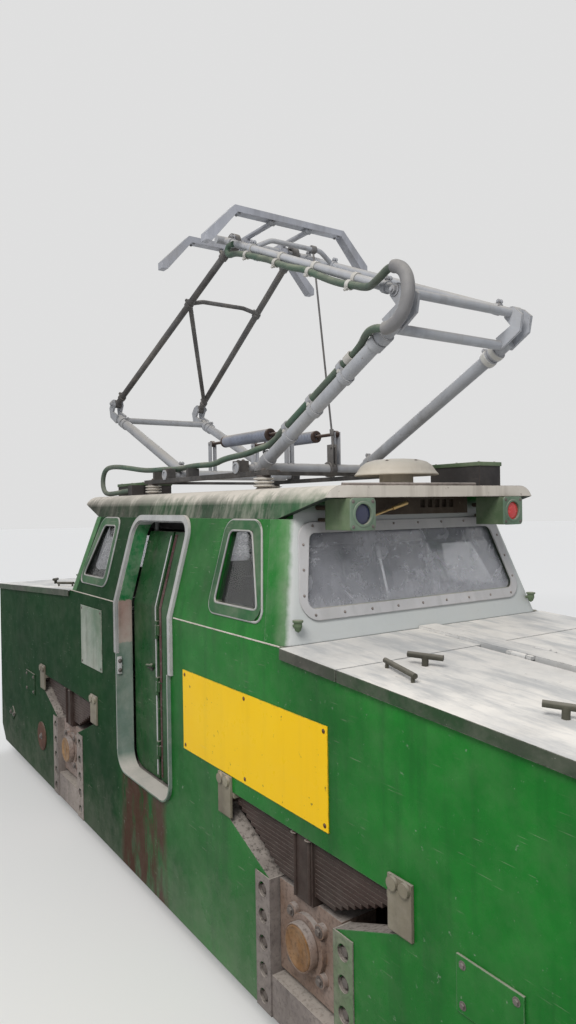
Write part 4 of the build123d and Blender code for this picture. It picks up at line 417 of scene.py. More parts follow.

# %% [markdown]
# Small fittings were painted at other times, with other greens, and the inside of the cab gets a very dark
# green, which is painted shade for the dim cab.

# %% Lamp and inside greens
finish.update({
    "lamp_green": weathered(
        "dusty green lamp box", Paint=rgb(0.15, 0.205, 0.12), Shade=rgb(0.07, 0.115, 0.06),
        Dirt=rgb(0.03, 0.03, 0.025), Under=rgb(0.24, 0.24, 0.2), Dust=rgb(0.34, 0.34, 0.28),
        Mottle=0.9, Streaks=0.3, Chips=0.6, Dust_cover=0.8, Smear=0.3, Sheen=0.45, Grain=0.5),
    "pale_green": weathered(
        "pale grey-green lamp rim", Paint=rgb(0.15, 0.24, 0.17), Shade=rgb(0.1, 0.16, 0.11),
        Under=rgb(0.3, 0.3, 0.26), Dust=STONE_DUST, Mottle=0.9, Chips=0.8, Dust_cover=0.7,
        Smear=0.25, Sheen=0.42, Edge_radius=0.002),
    # Painted shade: the inside is darkened to stand for the dim cab.
    "inside_paint": weathered(
        "inside paint darkened as painted shade", Paint=rgb(0.022, 0.036, 0.026), Shade=rgb(0.014, 0.02, 0.016),
        Under=rgb(0.1, 0.09, 0.08), Dust=rgb(0.12, 0.11, 0.1), Mottle=0.9, Dust_cover=0.6,
        Sheen=0.6),
    "desk_grey": weathered(
        "grey-green hammer paint", Paint=rgb(0.13, 0.17, 0.15), Shade=rgb(0.08, 0.1, 0.09),
        Under=rgb(0.2, 0.19, 0.17), Dust=STONE_DUST, Dust_cover=0.5, Sheen=0.4, Grain=0.8),
    "jamb_grey": weathered(
        "grey-green jamb", Paint=rgb(0.2, 0.27, 0.24), Shade=rgb(0.11, 0.17, 0.13),
        Dirt=rgb(0.05, 0.07, 0.05), Under=rgb(0.4, 0.38, 0.34), Dust=rgb(0.58, 0.54, 0.5),
        Mottle=1.0, Streaks=0.6, Scratches=0.3, Chips=0.8, Dust_cover=0.95, Smear=0.3, Sheen=0.5,
        Grain=0.6),
    "olive_bar": weathered(
        "dark olive lid handle", Paint=rgb(0.085, 0.085, 0.065), Shade=rgb(0.045, 0.043, 0.036),
        Under=rgb(0.14, 0.09, 0.05), Dust=rgb(0.34, 0.32, 0.28), Mottle=1.0, Chips=0.7,
        Dust_cover=0.4, Sheen=0.5, Grain=0.9, Edge_radius=0.0015),
})

# %% [markdown]
# The hoods and the visors are beige, brushed and walked on; the trims and window frames are grey.

# %% Pale and bright coats
finish.update({
    "beige_paint": weathered(
        "dusty beige hood", Paint=rgb(0.8, 0.78, 0.74), Shade=rgb(0.34, 0.36, 0.38),
        Dirt=rgb(0.16, 0.14, 0.12), Under=rgb(0.12, 0.12, 0.12), Dust=rgb(0.86, 0.82, 0.76),
        Mottle=0.85, Streaks=0.2, Scratches=0.3, Chips=0.9, Dust_cover=0.45, Smear=0.25,
        Brush_marks=0.55, Sheen=0.6, Grain=0.5),
    "visor_beige": weathered(
        "faded beige visor", Paint=rgb(0.74, 0.7, 0.65), Shade=rgb(0.52, 0.48, 0.42),
        Dirt=rgb(0.1, 0.07, 0.05), Under=rgb(0.09, 0.05, 0.03), Dust=rgb(0.56, 0.52, 0.46),
        Mottle=0.9, Streaks=0.4, Chips=0.8, Dust_cover=0.8, Smear=0.25, Sheen=0.55, Grain=0.4),
    "grey_trim": weathered(
        "worn grey trim", Paint=rgb(0.46, 0.47, 0.47), Shade=rgb(0.27, 0.28, 0.28),
        Dirt=rgb(0.07, 0.07, 0.06), Under=rgb(0.12, 0.11, 0.1), Dust=rgb(0.52, 0.49, 0.45),
        Mottle=0.9, Streaks=0.35, Chips=0.8, Dust_cover=0.8, Smear=0.3, Sheen=0.5, Grain=0.5),
    "screen_frame": weathered(
        "pale grey window frame", Paint=rgb(0.56, 0.56, 0.58), Shade=rgb(0.38, 0.38, 0.38),
        Dirt=rgb(0.09, 0.1, 0.09), Under=rgb(0.42, 0.4, 0.36), Dust=rgb(0.44, 0.42, 0.4),
        Mottle=0.9, Streaks=0.3, Chips=0.5, Dust_cover=0.8, Smear=0.3, Sheen=0.45, Grain=0.3),
    "notice_white": weathered(
        "stained blank notice", Paint=rgb(0.4, 0.42, 0.38), Shade=rgb(0.1, 0.17, 0.11),
        Dirt=rgb(0.035, 0.05, 0.035), Under=rgb(0.55, 0.55, 0.5), Dust=STONE_DUST, Mottle=1.0,
        Streaks=0.5, Chips=1.0, Smear=0.3, Sheen=0.4),
    "dome_paint": weathered(
        "cream ventilator paint", Paint=rgb(0.58, 0.54, 0.46), Shade=rgb(0.46, 0.41, 0.34),
        Dirt=rgb(0.12, 0.1, 0.08), Under=rgb(0.16, 0.15, 0.12), Dust=rgb(0.62, 0.59, 0.53),
        Streaks=0.3, Chips=0.5, Dust_cover=0.6, Smear=0.2, Sheen=0.55, Grain=0.4),
    "sign_yellow": weathered(
        "yellow sign enamel", Paint=rgb(0.88, 0.56, 0.004), Shade=rgb(0.8, 0.46, 0.006),
        Dirt=rgb(0.2, 0.13, 0.02), Under=rgb(0.05, 0.045, 0.03), Dust=rgb(0.78, 0.62, 0.28),
        Mottle=0.3, Streaks=0.1, Scratches=0.25, Chips=1.0, Dust_cover=0.2, Smear=0.03, Sheen=0.32,
        Grain=0.1, Edge_radius=0.003),
    "maroon": weathered(
        "maroon hinge strip paint", Paint=rgb(0.075, 0.016, 0.02), Shade=rgb(0.035, 0.01, 0.012),
        Under=rgb(0.16, 0.12, 0.11), Dust=STONE_DUST, Mottle=0.9, Streaks=0.6, Chips=0.9,
        Dust_cover=0.45, Smear=0.2, Sheen=0.4, Edge_radius=0.0015),
})

# %% [markdown]
# The running gear was never painted well. Stone dust sticks to its grease, so the castings are more grey
# than brown, pitted by the high Pits value, and rough.

# %% Castings, springs and steels
finish.update({
    "horn_grey": weathered(
        "greasy grey horn guide", Paint=rgb(0.38, 0.33, 0.3), Shade=rgb(0.19, 0.165, 0.155),
        Dirt=rgb(0.04, 0.035, 0.03), Under=rgb(0.05, 0.04, 0.035), Dust=STONE_DUST, Mottle=1.0,
        Streaks=0.6, Chips=0.8, Pits=0.35, Dust_cover=0.9, Smear=0.4, Sheen=0.6, Grain=1.0),
    "ledge_dust": weathered(
        "pitted dusty ledge", Paint=rgb(0.36, 0.32, 0.29), Shade=rgb(0.13, 0.11, 0.1),
        Dirt=rgb(0.04, 0.035, 0.03), Under=rgb(0.045, 0.035, 0.03), Dust=rgb(0.46, 0.42, 0.38),
        Mottle=1.0, Streaks=0.5, Chips=1.0, Pits=0.75, Dust_cover=0.35, Smear=0.5, Sheen=0.8,
        Grain=2.0),
    "cast_box": weathered(
        "dusty casting", Paint=rgb(0.44, 0.37, 0.345), Shade=rgb(0.19, 0.13, 0.1),
        Dirt=rgb(0.05, 0.035, 0.028), Under=rgb(0.24, 0.11, 0.035), Dust=rgb(0.33, 0.3, 0.28),
        Mottle=1.0, Chips=0.7, Pits=0.5, Dust_cover=0.85, Smear=0.3, Sheen=0.6, Grain=1.2),
    "cap_bronze": weathered(
        "gold-brown greasy cap", metallic=0.15, Paint=rgb(0.44, 0.24, 0.075),
        Shade=rgb(0.17, 0.085, 0.035), Dirt=rgb(0.04, 0.02, 0.01), Under=rgb(0.05, 0.026, 0.014),
        Dust=rgb(0.46, 0.36, 0.27), Mottle=1.0, Streaks=0.8, Chips=1.0, Pits=0.55, Dust_cover=0.4,
        Smear=0.35, Sheen=0.35, Grain=2.2),
    "spring_steel": weathered(
        "dark spring steel", metallic=0.1, Paint=rgb(0.072, 0.046, 0.04),
        Shade=rgb(0.03, 0.02, 0.017), Under=rgb(0.13, 0.09, 0.08), Dust=rgb(0.34, 0.3, 0.27),
        Mottle=1.0, Chips=0.7, Pits=0.3, Dust_cover=0.9, Smear=0.12, Sheen=0.5, Grain=0.9),
    "hanger_steel": weathered(
        "olive spring hanger", Paint=rgb(0.29, 0.27, 0.2), Shade=rgb(0.13, 0.11, 0.085),
        Under=rgb(0.05, 0.035, 0.03), Dust=rgb(0.4, 0.36, 0.32), Mottle=1.0, Chips=0.6,
        Dust_cover=0.8, Smear=0.35, Sheen=0.5, Grain=0.8),
    "wheel_steel": weathered(
        "rolled wheel steel", metallic=0.55, Paint=rgb(0.2, 0.18, 0.17),
        Shade=rgb(0.11, 0.065, 0.04), Under=RUST, Dust=rgb(0.24, 0.21, 0.18), Chips=0.5,
        Dust_cover=0.45, Sheen=0.45, Grain=0.5),
    "black_steel": weathered(
        "oily black steel", Paint=rgb(0.03, 0.03, 0.033), Shade=rgb(0.055, 0.05, 0.048),
        Under=RUST, Dust=rgb(0.24, 0.22, 0.21), Chips=0.4, Dust_cover=0.55, Sheen=0.55, Grain=0.6),
    "floor_plate": weathered(
        "worn floor plate", metallic=0.3, Paint=rgb(0.16, 0.155, 0.15), Shade=rgb(0.09, 0.08, 0.07),
        Under=RUST, Dust=rgb(0.3, 0.28, 0.25), Dust_cover=0.7, Sheen=0.55, Grain=0.6),
    "rust": weathered(
        "brown rust scale", Paint=rgb(0.15, 0.07, 0.045), Shade=rgb(0.065, 0.032, 0.024),
        Under=rgb(0.26, 0.13, 0.06), Dust=rgb(0.36, 0.31, 0.28), Mottle=1.0, Chips=0.7, Pits=0.5,
        Dust_cover=0.5, Sheen=0.75, Grain=1.5),
    "bolt_steel": weathered(
        "greasy bolt steel", metallic=0.4, Paint=rgb(0.17, 0.16, 0.155), Shade=rgb(0.09, 0.07, 0.06),
        Under=RUST, Dust=rgb(0.34, 0.31, 0.29), Chips=0.5, Dust_cover=0.6, Smear=0.3, Sheen=0.45,
        Edge_radius=0.0015),
    # This dark brown is painted shade: it stands for the shaded recess under the visors, on the visor panels
    # and the lamp stays.
    "brown_panel": weathered(
        "dark brown as painted shade", Paint=rgb(0.07, 0.048, 0.032), Shade=rgb(0.035, 0.028, 0.022),
        Under=rgb(0.16, 0.14, 0.11), Dust=rgb(0.3, 0.26, 0.22), Dust_cover=0.6, Smear=0.15,
        Sheen=0.6),
    "brass": weathered(
        "tarnished brass", metallic=0.7, Paint=rgb(0.6, 0.44, 0.2), Shade=rgb(0.42, 0.28, 0.11),
        Under=rgb(0.2, 0.12, 0.05), Dust=rgb(0.55, 0.48, 0.36), Chips=0.3, Dust_cover=0.3, Sheen=0.35),
})

# %% [markdown]
# The pantograph's arms are grey, its far arm sooty, and its rails are rubbed by the wire. Its tubes are
# thin, so the Bevel node in the group gets a small radius there, or the whole tube would chip.

# %% Pantograph coats
finish.update({
    "arm_paint": weathered(
        "grey pantograph paint", Paint=rgb(0.42, 0.44, 0.48), Shade=rgb(0.26, 0.27, 0.29),
        Dirt=rgb(0.1, 0.09, 0.08), Under=rgb(0.12, 0.08, 0.06), Dust=rgb(0.46, 0.43, 0.38),
        Mottle=0.9, Streaks=0.35, Chips=0.9, Dust_cover=0.6, Smear=0.2, Sheen=0.42, Grain=0.5,
        Edge_radius=0.002),
    "sooty_arm": weathered(
        "sooty upper arm", Paint=rgb(0.15, 0.15, 0.155), Shade=rgb(0.07, 0.066, 0.066),
        Dirt=rgb(0.05, 0.045, 0.04), Under=rgb(0.3, 0.28, 0.25), Dust=rgb(0.38, 0.35, 0.31),
        Mottle=1.0, Streaks=0.5, Chips=0.7, Dust_cover=0.6, Smear=0.35, Sheen=0.5, Grain=0.6,
        Edge_radius=0.002),
    "base_dark": weathered(
        "sooty base frame", Paint=rgb(0.06, 0.06, 0.062), Shade=rgb(0.035, 0.033, 0.032),
        Under=rgb(0.14, 0.1, 0.08), Dust=rgb(0.36, 0.33, 0.3), Mottle=1.0, Chips=0.6,
        Dust_cover=0.65, Smear=0.25, Sheen=0.55, Grain=0.6, Edge_radius=0.002),
    "bare_rail": weathered(
        "rubbed contact rail", metallic=0.4, Paint=rgb(0.46, 0.48, 0.54),
        Shade=rgb(0.27, 0.28, 0.31), Under=rgb(0.1, 0.08, 0.07), Dust=rgb(0.46, 0.43, 0.38),
        Mottle=0.9, Dust_cover=0.4, Smear=0.2, Sheen=0.35, Edge_radius=0.002),
    "coil_blue": weathered(
        "blue-grey coil", metallic=0.1, Paint=rgb(0.27, 0.3, 0.38), Shade=rgb(0.18, 0.2, 0.25),
        Under=rgb(0.12, 0.08, 0.06), Dust=rgb(0.46, 0.42, 0.36), Chips=0.3, Dust_cover=0.95,
        Smear=0.2, Sheen=0.4, Edge_radius=0.001),
})
print("metal finishes", len(finish))

# %% [markdown]
# ## Glass and lamp lenses
# The panes are thin and very dusty. One function makes them all: where its film of dust lies, a pane is
# paler, rougher and lets less light through.

# %% Dusty glass
LOW_ON_PANE, FOOT_OF_PANE = 1.38, 1.29
TRACE_SHARE = 0.55


def dusty_glass(name, clear, dust, alphas, transmission, soiled=1.0, ior=1.45):
    """Glass with a film of dust; alphas are those of clear and of dusty places."""
    material, tree, shader = plain(name)
    place = put(tree, "ShaderNodeTexCoord").outputs["Object"]
    cloudy = span(tree, noise(tree, place, 3.2, 6.0, 0.62), 0.34, 0.62)
    wiped = span(tree, noise(tree, place, 9.0, 5.0, 0.65, (1.0, 1.0, 0.35)), 0.36, 0.6)
    swirled = {"Scale": 9.0, "Detail": 4.0, "Roughness": 0.55, "Distortion": 3.0}
    swirls = put(tree, "ShaderNodeTexNoise", swirled)
    join(tree, place, swirls.inputs["Vector"])
    traces = times(tree, span(tree, swirls.outputs[0], 0.56, 0.62), TRACE_SHARE)
    ragged_height = plus(tree, split(tree, place)[2], times(tree, wiped, 0.05))
    low = span(tree, ragged_height, LOW_ON_PANE, FOOT_OF_PANE)
    film = times(tree, sums(tree, "MAXIMUM", times(tree, cloudy, wiped), traces, low), soiled)
    join(tree, tint(tree, film, clear, dust), shader.inputs["Base Color"])
    join(tree, span(tree, film, 0.0, 1.0, 0.04, 0.55), shader.inputs["Roughness"])
    join(tree, span(tree, film, 0.0, 1.0, *alphas), shader.inputs["Alpha"])
    shader.inputs["Transmission Weight"].default_value = transmission
    shader.inputs["IOR"].default_value = ior
    return material


# %% [markdown]
# The windscreens are nearly blind with dust.

# %% Panes and lenses
finish["glass"] = dusty_glass(
    "dusty window glass", rgb(0.52, 0.54, 0.6), rgb(0.78, 0.79, 0.85), (0.48, 0.9), 0.6)
# The side panes are tinted dark and their dust is dark too: painted shade for the dim cab seen through them.
finish["side_glass"] = dusty_glass(
    "side window glass darkened as painted shade", rgb(0.05, 0.055, 0.055), rgb(0.1, 0.1, 0.1), (0.3, 0.6), 0.6, 0.3, 1.2)
finish["lens"] = dusty_glass(
    "dark blue lamp lens", rgb(0.008, 0.012, 0.05), rgb(0.03, 0.035, 0.07), (1.0, 1.0), 0.0)
finish["red_lens"] = dusty_glass(
    "red lamp lens", rgb(0.5, 0.012, 0.014), rgb(0.6, 0.1, 0.09), (1.0, 1.0), 0.0)
for lens in ("lens", "red_lens"):
    finish[lens].node_tree.nodes["Principled BSDF"].inputs["Coat Weight"].default_value = 0.3
print("finishes with glass", len(finish))

# %% [markdown]
# ## Porcelain, rubber and leather
# These share one group: a base colour, a second colour in clouds, and dust on top, with a fine wrinkle
# for the relief.

# %% The aged surface group
soft_group, soft_in, soft_out = new_group(
    "aged surface",
    [("Base", COLOUR, rgb(0.5, 0.5, 0.5)), ("Clouds", COLOUR, rgb(0.4, 0.4, 0.4)),
     ("Dust", COLOUR, rgb(0.4, 0.37, 0.33)), ("Dust cover", NUMBER, 0.5), ("Sheen", NUMBER, 0.4),
     ("Wrinkle size", NUMBER, 120.0), ("Wrinkle", NUMBER, 0.5)],
    [("Color", COLOUR), ("Roughness", NUMBER), ("Height", NUMBER)])
t = soft_group
where = put(t, "ShaderNodeTexCoord").outputs
at = where["Object"]
clouds = span(t, noise(t, at, 6.0, 6.0, 0.6), 0.38, 0.64)
colour = tint(t, clouds, soft_in["Base"], soft_in["Clouds"])
lying = span(t, split(t, where["Normal"])[2], -0.1, 0.9, 0.18, 1.0)
film = times(t, lying, span(t, noise(t, at, 13.0, 5.0, 0.65), 0.3, 0.62), soft_in["Dust cover"])
film = sums(t, "MINIMUM", film, 0.95)
join(t, tint(t, film, colour, soft_in["Dust"]), soft_out["Color"])
matt = sums(t, "MINIMUM", plus(t, soft_in["Sheen"], times(t, film, 0.5)), 1.0)
join(t, matt, soft_out["Roughness"])
cells = put(t, "ShaderNodeTexVoronoi", feature="DISTANCE_TO_EDGE")
join(t, at, cells.inputs["Vector"])
join(t, soft_in["Wrinkle size"], cells.inputs["Scale"])
walls = times(t, span(t, cells.outputs["Distance"], 0.0, 0.25), soft_in["Wrinkle"])
join(t, walls, soft_out["Height"])
print("aged surface group has", len(t.nodes), "nodes")

# %% [markdown]
# Glazed porcelain shines through its dust, so it has a clear coat of its own. The hose is dark green
# rubber, the seats are cracked black leather, and the sleeves on the arm are white plastic.

# %% Soft and glazed finishes
def aged(name, relief=0.3, coat=0.0, **looks):
    """A material on the aged surface group, with its own bump depth and clear coat."""
    material, tree, shader = plain(name)
    body = put(tree, "ShaderNodeGroup", node_tree=soft_group)
    for socket, value in looks.items():
        body.inputs[socket.replace("_", " ")].default_value = value
    join(tree, body.outputs["Color"], shader.inputs["Base Color"])
    join(tree, body.outputs["Roughness"], shader.inputs["Roughness"])
    bump = put(tree, "ShaderNodeBump", {"Strength": relief, "Distance": 0.001})
    join(tree, body.outputs["Height"], bump.inputs["Height"])
    join(tree, bump.outputs[0], shader.inputs["Normal"])
    shader.inputs["Coat Weight"].default_value = coat
    return material


finish.update({
    "porcelain": aged(
        "glazed porcelain", 0.1, 0.5, Base=rgb(0.66, 0.64, 0.6), Clouds=rgb(0.52, 0.47, 0.41),
        Dust=rgb(0.46, 0.42, 0.37), Dust_cover=0.6, Sheen=0.16, Wrinkle_size=60.0, Wrinkle=0.2),
    "cable_green": aged(
        "dark green rubber hose", 0.5, Base=rgb(0.02, 0.07, 0.042), Clouds=rgb(0.045, 0.062, 0.048),
        Dust=rgb(0.27, 0.28, 0.22), Dust_cover=0.8, Sheen=0.5, Wrinkle_size=240.0),
    "grey_sheath": aged(
        "grey rubber sheath", 0.5, Base=rgb(0.2, 0.2, 0.21), Clouds=rgb(0.14, 0.14, 0.15),
        Dust=rgb(0.42, 0.4, 0.36), Dust_cover=0.7, Sheen=0.55, Wrinkle_size=200.0),
    "seat_cover": aged(
        "cracked black seat leather", 0.6, Base=rgb(0.03, 0.027, 0.026), Clouds=rgb(0.06, 0.05, 0.045),
        Dust=rgb(0.3, 0.27, 0.24), Dust_cover=0.55, Sheen=0.38, Wrinkle_size=170.0),
    "white_fitting": aged(
        "white plastic fitting", 0.1, Base=rgb(0.5, 0.5, 0.48), Clouds=rgb(0.34, 0.33, 0.31),
        Dust=rgb(0.46, 0.42, 0.37), Dust_cover=0.6, Sheen=0.4, Wrinkle_size=60.0, Wrinkle=0.1),
})
print("finishes in all", len(finish))

# %% [markdown]
# ## Three coats on the door's jamb
# The door's rear jamb shows three coats one above the other: bright green above the belt, a pale one with
# red showing through, and grey-green below.

# %% Coats of the jamb
PALE_FROM, GREEN_FROM = 1.045, 1.225
COAT_BLEND = 0.005

tree = finish["jamb_grey"].node_tree
coats = next(node for node in tree.nodes if node.type == "GROUP")
place = put(tree, "ShaderNodeTexCoord").outputs["Object"]
ragged = plus(tree, split(tree, place)[2], times(tree, noise(tree, place, 30.0, 5.0, 0.7), 0.04))
above_grey = span(tree, ragged, PALE_FROM, PALE_FROM + COAT_BLEND)
above_pale = span(tree, ragged, GREEN_FROM, GREEN_FROM + COAT_BLEND)
for socket, grey, pale, green in (
        ("Paint", rgb(0.2, 0.27, 0.24), rgb(0.42, 0.39, 0.35), rgb(0.022, 0.26, 0.075)),
        ("Shade", rgb(0.11, 0.17, 0.13), rgb(0.3, 0.2, 0.175), rgb(0.012, 0.13, 0.04))):
    lower = tint(tree, above_grey, grey, pale)
    join(tree, tint(tree, above_pale, lower, green), coats.inputs[socket])

# %% [markdown]
# ## Paint the CAD model
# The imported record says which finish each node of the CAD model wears, so one loop dresses them all.

# %% Dress the nodes
for part in frame["record"]["subparts"]:
    mesh = frame["nodes"][part["node"]].data
    mesh.materials.clear()
    mesh.materials.append(finish[part["material_slot"]])

# %% [markdown]
# Some nodes need a closer look than the record gives. A first table gives whole nodes their own finish;
# its material takes the place of the record's.

# %% Nodes with a finish of their own
OWN_FINISH = {
    "cab_roof": "roof_green", "cab_front": "cab_end_paint", "cab_rear": "cab_end_paint",
    # The visor panels wear the dark brown that is painted shade under the visor.
    "visor_panels": "brown_panel", "lamp_boxes": "lamp_green", "corner_knobs": "lamp_green",
    "window_frames": "screen_frame", "horn_guides": "horn_grey", "spring_hangers": "hanger_steel",
    "rear_upper_frame": "sooty_arm", "pantograph_base": "base_dark",
}
for node, look in OWN_FINISH.items():
    frame["nodes"][node].data.materials[0] = finish[look]
print("own finishes", len(OWN_FINISH))

# %% [markdown]
# Other nodes carry two colours on the real locomotive, such as the roof with its beige visors. The mesh
# gets a second material, and a rule on each face's place and direction picks the faces. Such a rule suits
# sharp corners; where a colour turns round a soft corner, the shader does it instead.

# %% A second finish by rule
def second_finish(node, look, chosen):
    """Give the faces that a rule picks another finish."""
    mesh = frame["nodes"][node].data
    mesh.materials.append(finish[look])
    picked = 0
    for face in mesh.polygons:
        if chosen(face.center, face.normal):
            face.material_index = len(mesh.materials) - 1
            picked += 1
    return picked


VISOR_FROM = 0.9
SIDE_PANES_TO, SIDE_PANES_OUT = 0.86, 0.47


def on_visor(place, normal):
    return abs(place.x) > VISOR_FROM and (abs(normal.x) > 0.3 or normal.z < -0.3)


def on_side_pane(place, normal):
    return abs(place.x) < SIDE_PANES_TO and abs(place.y) > SIDE_PANES_OUT


def on_jamb(place, normal):
    return abs(normal.x) > 0.6 or place.z < 0.6


print("visor faces", second_finish("cab_roof", "visor_beige", on_visor))
print("rim faces", second_finish("window_frames", "window_rim", on_side_pane))
print("side pane faces", second_finish("windows", "side_glass", on_side_pane))
print("jamb faces", second_finish("door_frames", "jamb_grey", on_jamb))

# %% [markdown]
# The cab's sheets are painted outside; inside they get a very dark paint, which is painted shade for the dim
# cab. A face looks inwards when its normal points towards the middle of the cab, which the sign of a dot
# product tells.

# %% Inside faces
CAB_MIDDLE_Z = 1.2
DOORWAY_HALF = 0.62


def looks_inside(place, normal):
    return normal.dot(Vector((place.x / 2, place.y, place.z - CAB_MIDDLE_Z))) < 0


def inside_doorway(place, normal):
    return abs(place.x) < DOORWAY_HALF and normal.y * place.y < 0


for node in ("cab_front", "cab_rear", "cab_side_right", "cab_side_left", "cab_roof"):
    print(node, "inside faces", second_finish(node, "inside_paint", looks_inside))
for node in ("side_frame_right", "side_frame_left"):
    second_finish(node, "inside_paint", inside_doorway)

# %% [markdown]
# On the running gear the front guide's outer face is green under its dust, and the cut edges of the side
# plates, which form ledges round each axle box, are thick with it.

# %% Guides, ledges, covers and lugs
LEDGE_X, LEDGE_Z = (0.6, 1.52), (0.1, 0.72)


def green_guide_face(place, normal):
    outward = normal.y * place.y > 0.7 * abs(place.y)
    return outward and place.x > 1.165 and place.z > 0.19


def on_ledge(place, normal):
    in_gap = LEDGE_X[0] < abs(place.x) < LEDGE_X[1] and LEDGE_Z[0] < place.z < LEDGE_Z[1]
    return in_gap and abs(normal.y) < 0.5 and normal.z > -0.2


second_finish("horn_guides", "dusty_green", green_guide_face)
second_finish("side_covers", "notice_white", lambda place, normal: abs(place.x) < 1.0)
second_finish("frame_lugs", "rust", lambda place, normal: abs(place.x) < 1.7)
for node in ("side_frame_right", "side_frame_left"):
    print(node, "ledge faces", second_finish(node, "ledge_dust", on_ledge))

# %% [markdown]
# Each lid is one node with its latches and lifting bars. Its rim is rubbed, its underside is bare grey,
# and whatever stands above the sloping sheet is a bar or a latch.

# %% Hoods and lids
HOOD_SLOPE = math.tan(math.radians(3.26))
HOOD_FOOT = Vector((0.962, 0.0, 1.2))
LIDS = ("lid_front_right", "lid_front_left", "lid_rear_right", "lid_rear_left")


def hood_height(x):
    """Height of the sloping hood's top at a distance from the middle of the locomotive."""
    return HOOD_FOOT.z - (abs(x) - HOOD_FOOT.x) * HOOD_SLOPE


def hood_rim(place, normal):
    return abs(place.y) > 0.57 and abs(normal.z) < 0.5


def above_sheet(place, normal):
    return place.z > hood_height(place.x) + 0.002 and abs(place.y) > 0.12


for node in ("hood_tops", *LIDS):
    second_finish(node, "hood_edge", hood_rim)
for node in LIDS:
    second_finish(node, "horn_grey", lambda place, normal: normal.z < -0.5)
    print(node, "bar faces", second_finish(node, "olive_bar", above_sheet))

# %% [markdown]
# ## The studio
# The floor is plain and pale. For light it is an ordinary matt floor, but a camera, a mirror or a pane
# sees it a little brighter, so that it ends in a white background without more light on the locomotive.
# The Light Path node tells the two apart.

# %% Floor
FLOOR_RADIUS = 60.0
GLOW_NEAR, GLOW_FAR = 3.0, 11.0


def seen_directly(tree):
    """1 where a camera, a reflection or a pane looks at the surface, 0 where light only bounces."""
    path = put(tree, "ShaderNodeLightPath").outputs
    return sums(tree, "MAXIMUM", path["Is Camera Ray"], path["Is Glossy Ray"], path["Is Transmission Ray"])


floor_paint, tree, shader = plain("pale studio floor")
shader.inputs["Base Color"].default_value = rgb(0.6, 0.6, 0.59)
shader.inputs["Roughness"].default_value = 0.9
shader.inputs["Emission Color"].default_value = rgb(1.0, 1.0, 1.0)
reach = put(tree, "ShaderNodeVectorMath", operation="LENGTH")
join(tree, put(tree, "ShaderNodeTexCoord").outputs["Object"], reach.inputs[0])
fade = span(tree, reach.outputs["Value"], GLOW_NEAR, GLOW_FAR, 0.22, 0.42)
join(tree, times(tree, seen_directly(tree), fade), shader.inputs["Emission Strength"])

disc = bmesh.new()
bmesh.ops.create_circle(disc, cap_ends=True, segments=64, radius=FLOOR_RADIUS)
floor_mesh = bpy.data.meshes.new("floor")
disc.to_mesh(floor_mesh)
disc.free()
floor_mesh.materials.append(floor_paint)
floor = bpy.data.objects.new("floor", floor_mesh)
bpy.context.scene.collection.objects.link(floor)

# %% [markdown]
# The world lights the scene evenly from all round, in a soft grey, and the camera sees it as a pale wall.

# %% World
world = bpy.data.worlds.new("studio")
world.use_nodes = True
bpy.context.scene.world = world
tree = world.node_tree
sky = tree.nodes["Background"]
sky.inputs["Strength"].default_value = 1.0
wall_colour = tint(tree, seen_directly(tree), rgb(0.5, 0.51, 0.53), rgb(0.74, 0.74, 0.74))
join(tree, wall_colour, sky.inputs["Color"])

# %% [markdown]
# Two large soft lamps give the round tubes and folded sheets their shape: a warm one high over the front
# corner that the camera sees, and a weak one behind that draws light edges.

# %% Lamps
def soft_lamp(name, place, aim, size, power, colour):
    """Round area lamp at a place, turned towards an aim; power in watts."""
    light = bpy.data.lights.new(name, "AREA")
    light.shape = "DISK"
    light.size = size
    light.energy = power
    light.color = colour
    lamp = bpy.data.objects.new(name, light)
    lamp.location = place
    lamp.rotation_euler = (Vector(aim) - Vector(place)).to_track_quat("-Z", "Y").to_euler()
    bpy.context.scene.collection.objects.link(lamp)
    return lamp


lamps = [
    soft_lamp("key", (3.4, -4.2, 6.0), (0.3, 0.0, 1.0), 3.2, 330.0, (1.0, 0.97, 0.93)),
    soft_lamp("rim", (-4.5, 3.5, 5.0), (0.0, 0.0, 1.4), 3.0, 150.0, (0.93, 0.96, 1.0)),
]
print("lamps", [lamp.name for lamp in lamps])

# %% [markdown]
# ## The camera
# The camera stands where the photograph was taken: at eye height beside the front hood, looking back
# along the locomotive.

# %% Camera
EYE = Vector((2.738, -1.741, 1.609))
FOCAL_LENGTH, SENSOR_WIDTH = 26.07, 36.0
turn, tilt, roll = math.radians(33.976), math.radians(-0.545), math.radians(-0.857)

ahead = Vector((-math.cos(turn) * math.cos(tilt), math.sin(turn) * math.cos(tilt), math.sin(tilt)))
level = Vector((math.sin(turn), math.cos(turn), 0.0))
upward = level.cross(ahead)
right = level * math.cos(roll) + upward * math.sin(roll)
above = upward * math.cos(roll) - level * math.sin(roll)
axes = Matrix((right, above, -ahead)).transposed().to_4x4()

optics = bpy.data.cameras.new("camera")
optics.sensor_fit = "AUTO"
optics.sensor_width = SENSOR_WIDTH
optics.lens = FOCAL_LENGTH
optics.clip_end = 200.0
camera = bpy.data.objects.new("camera", optics)
camera.matrix_world = Matrix.Translation(EYE) @ axes
bpy.context.scene.collection.objects.link(camera)
bpy.context.scene.camera = camera
bpy.context.scene.view_settings.view_transform = "Standard"
print("camera looks along", [round(value, 3) for value in ahead])

# %% [markdown]
# ## Tools for making pieces
# Each detail starts as a bmesh, Blender's editable mesh. A small shape is made at the world's origin,
# turned and moved to its place, and poured into the piece's own bmesh. When the piece is complete it
# becomes one object, is shaded smooth apart from its sharp edges, and rides on a body.

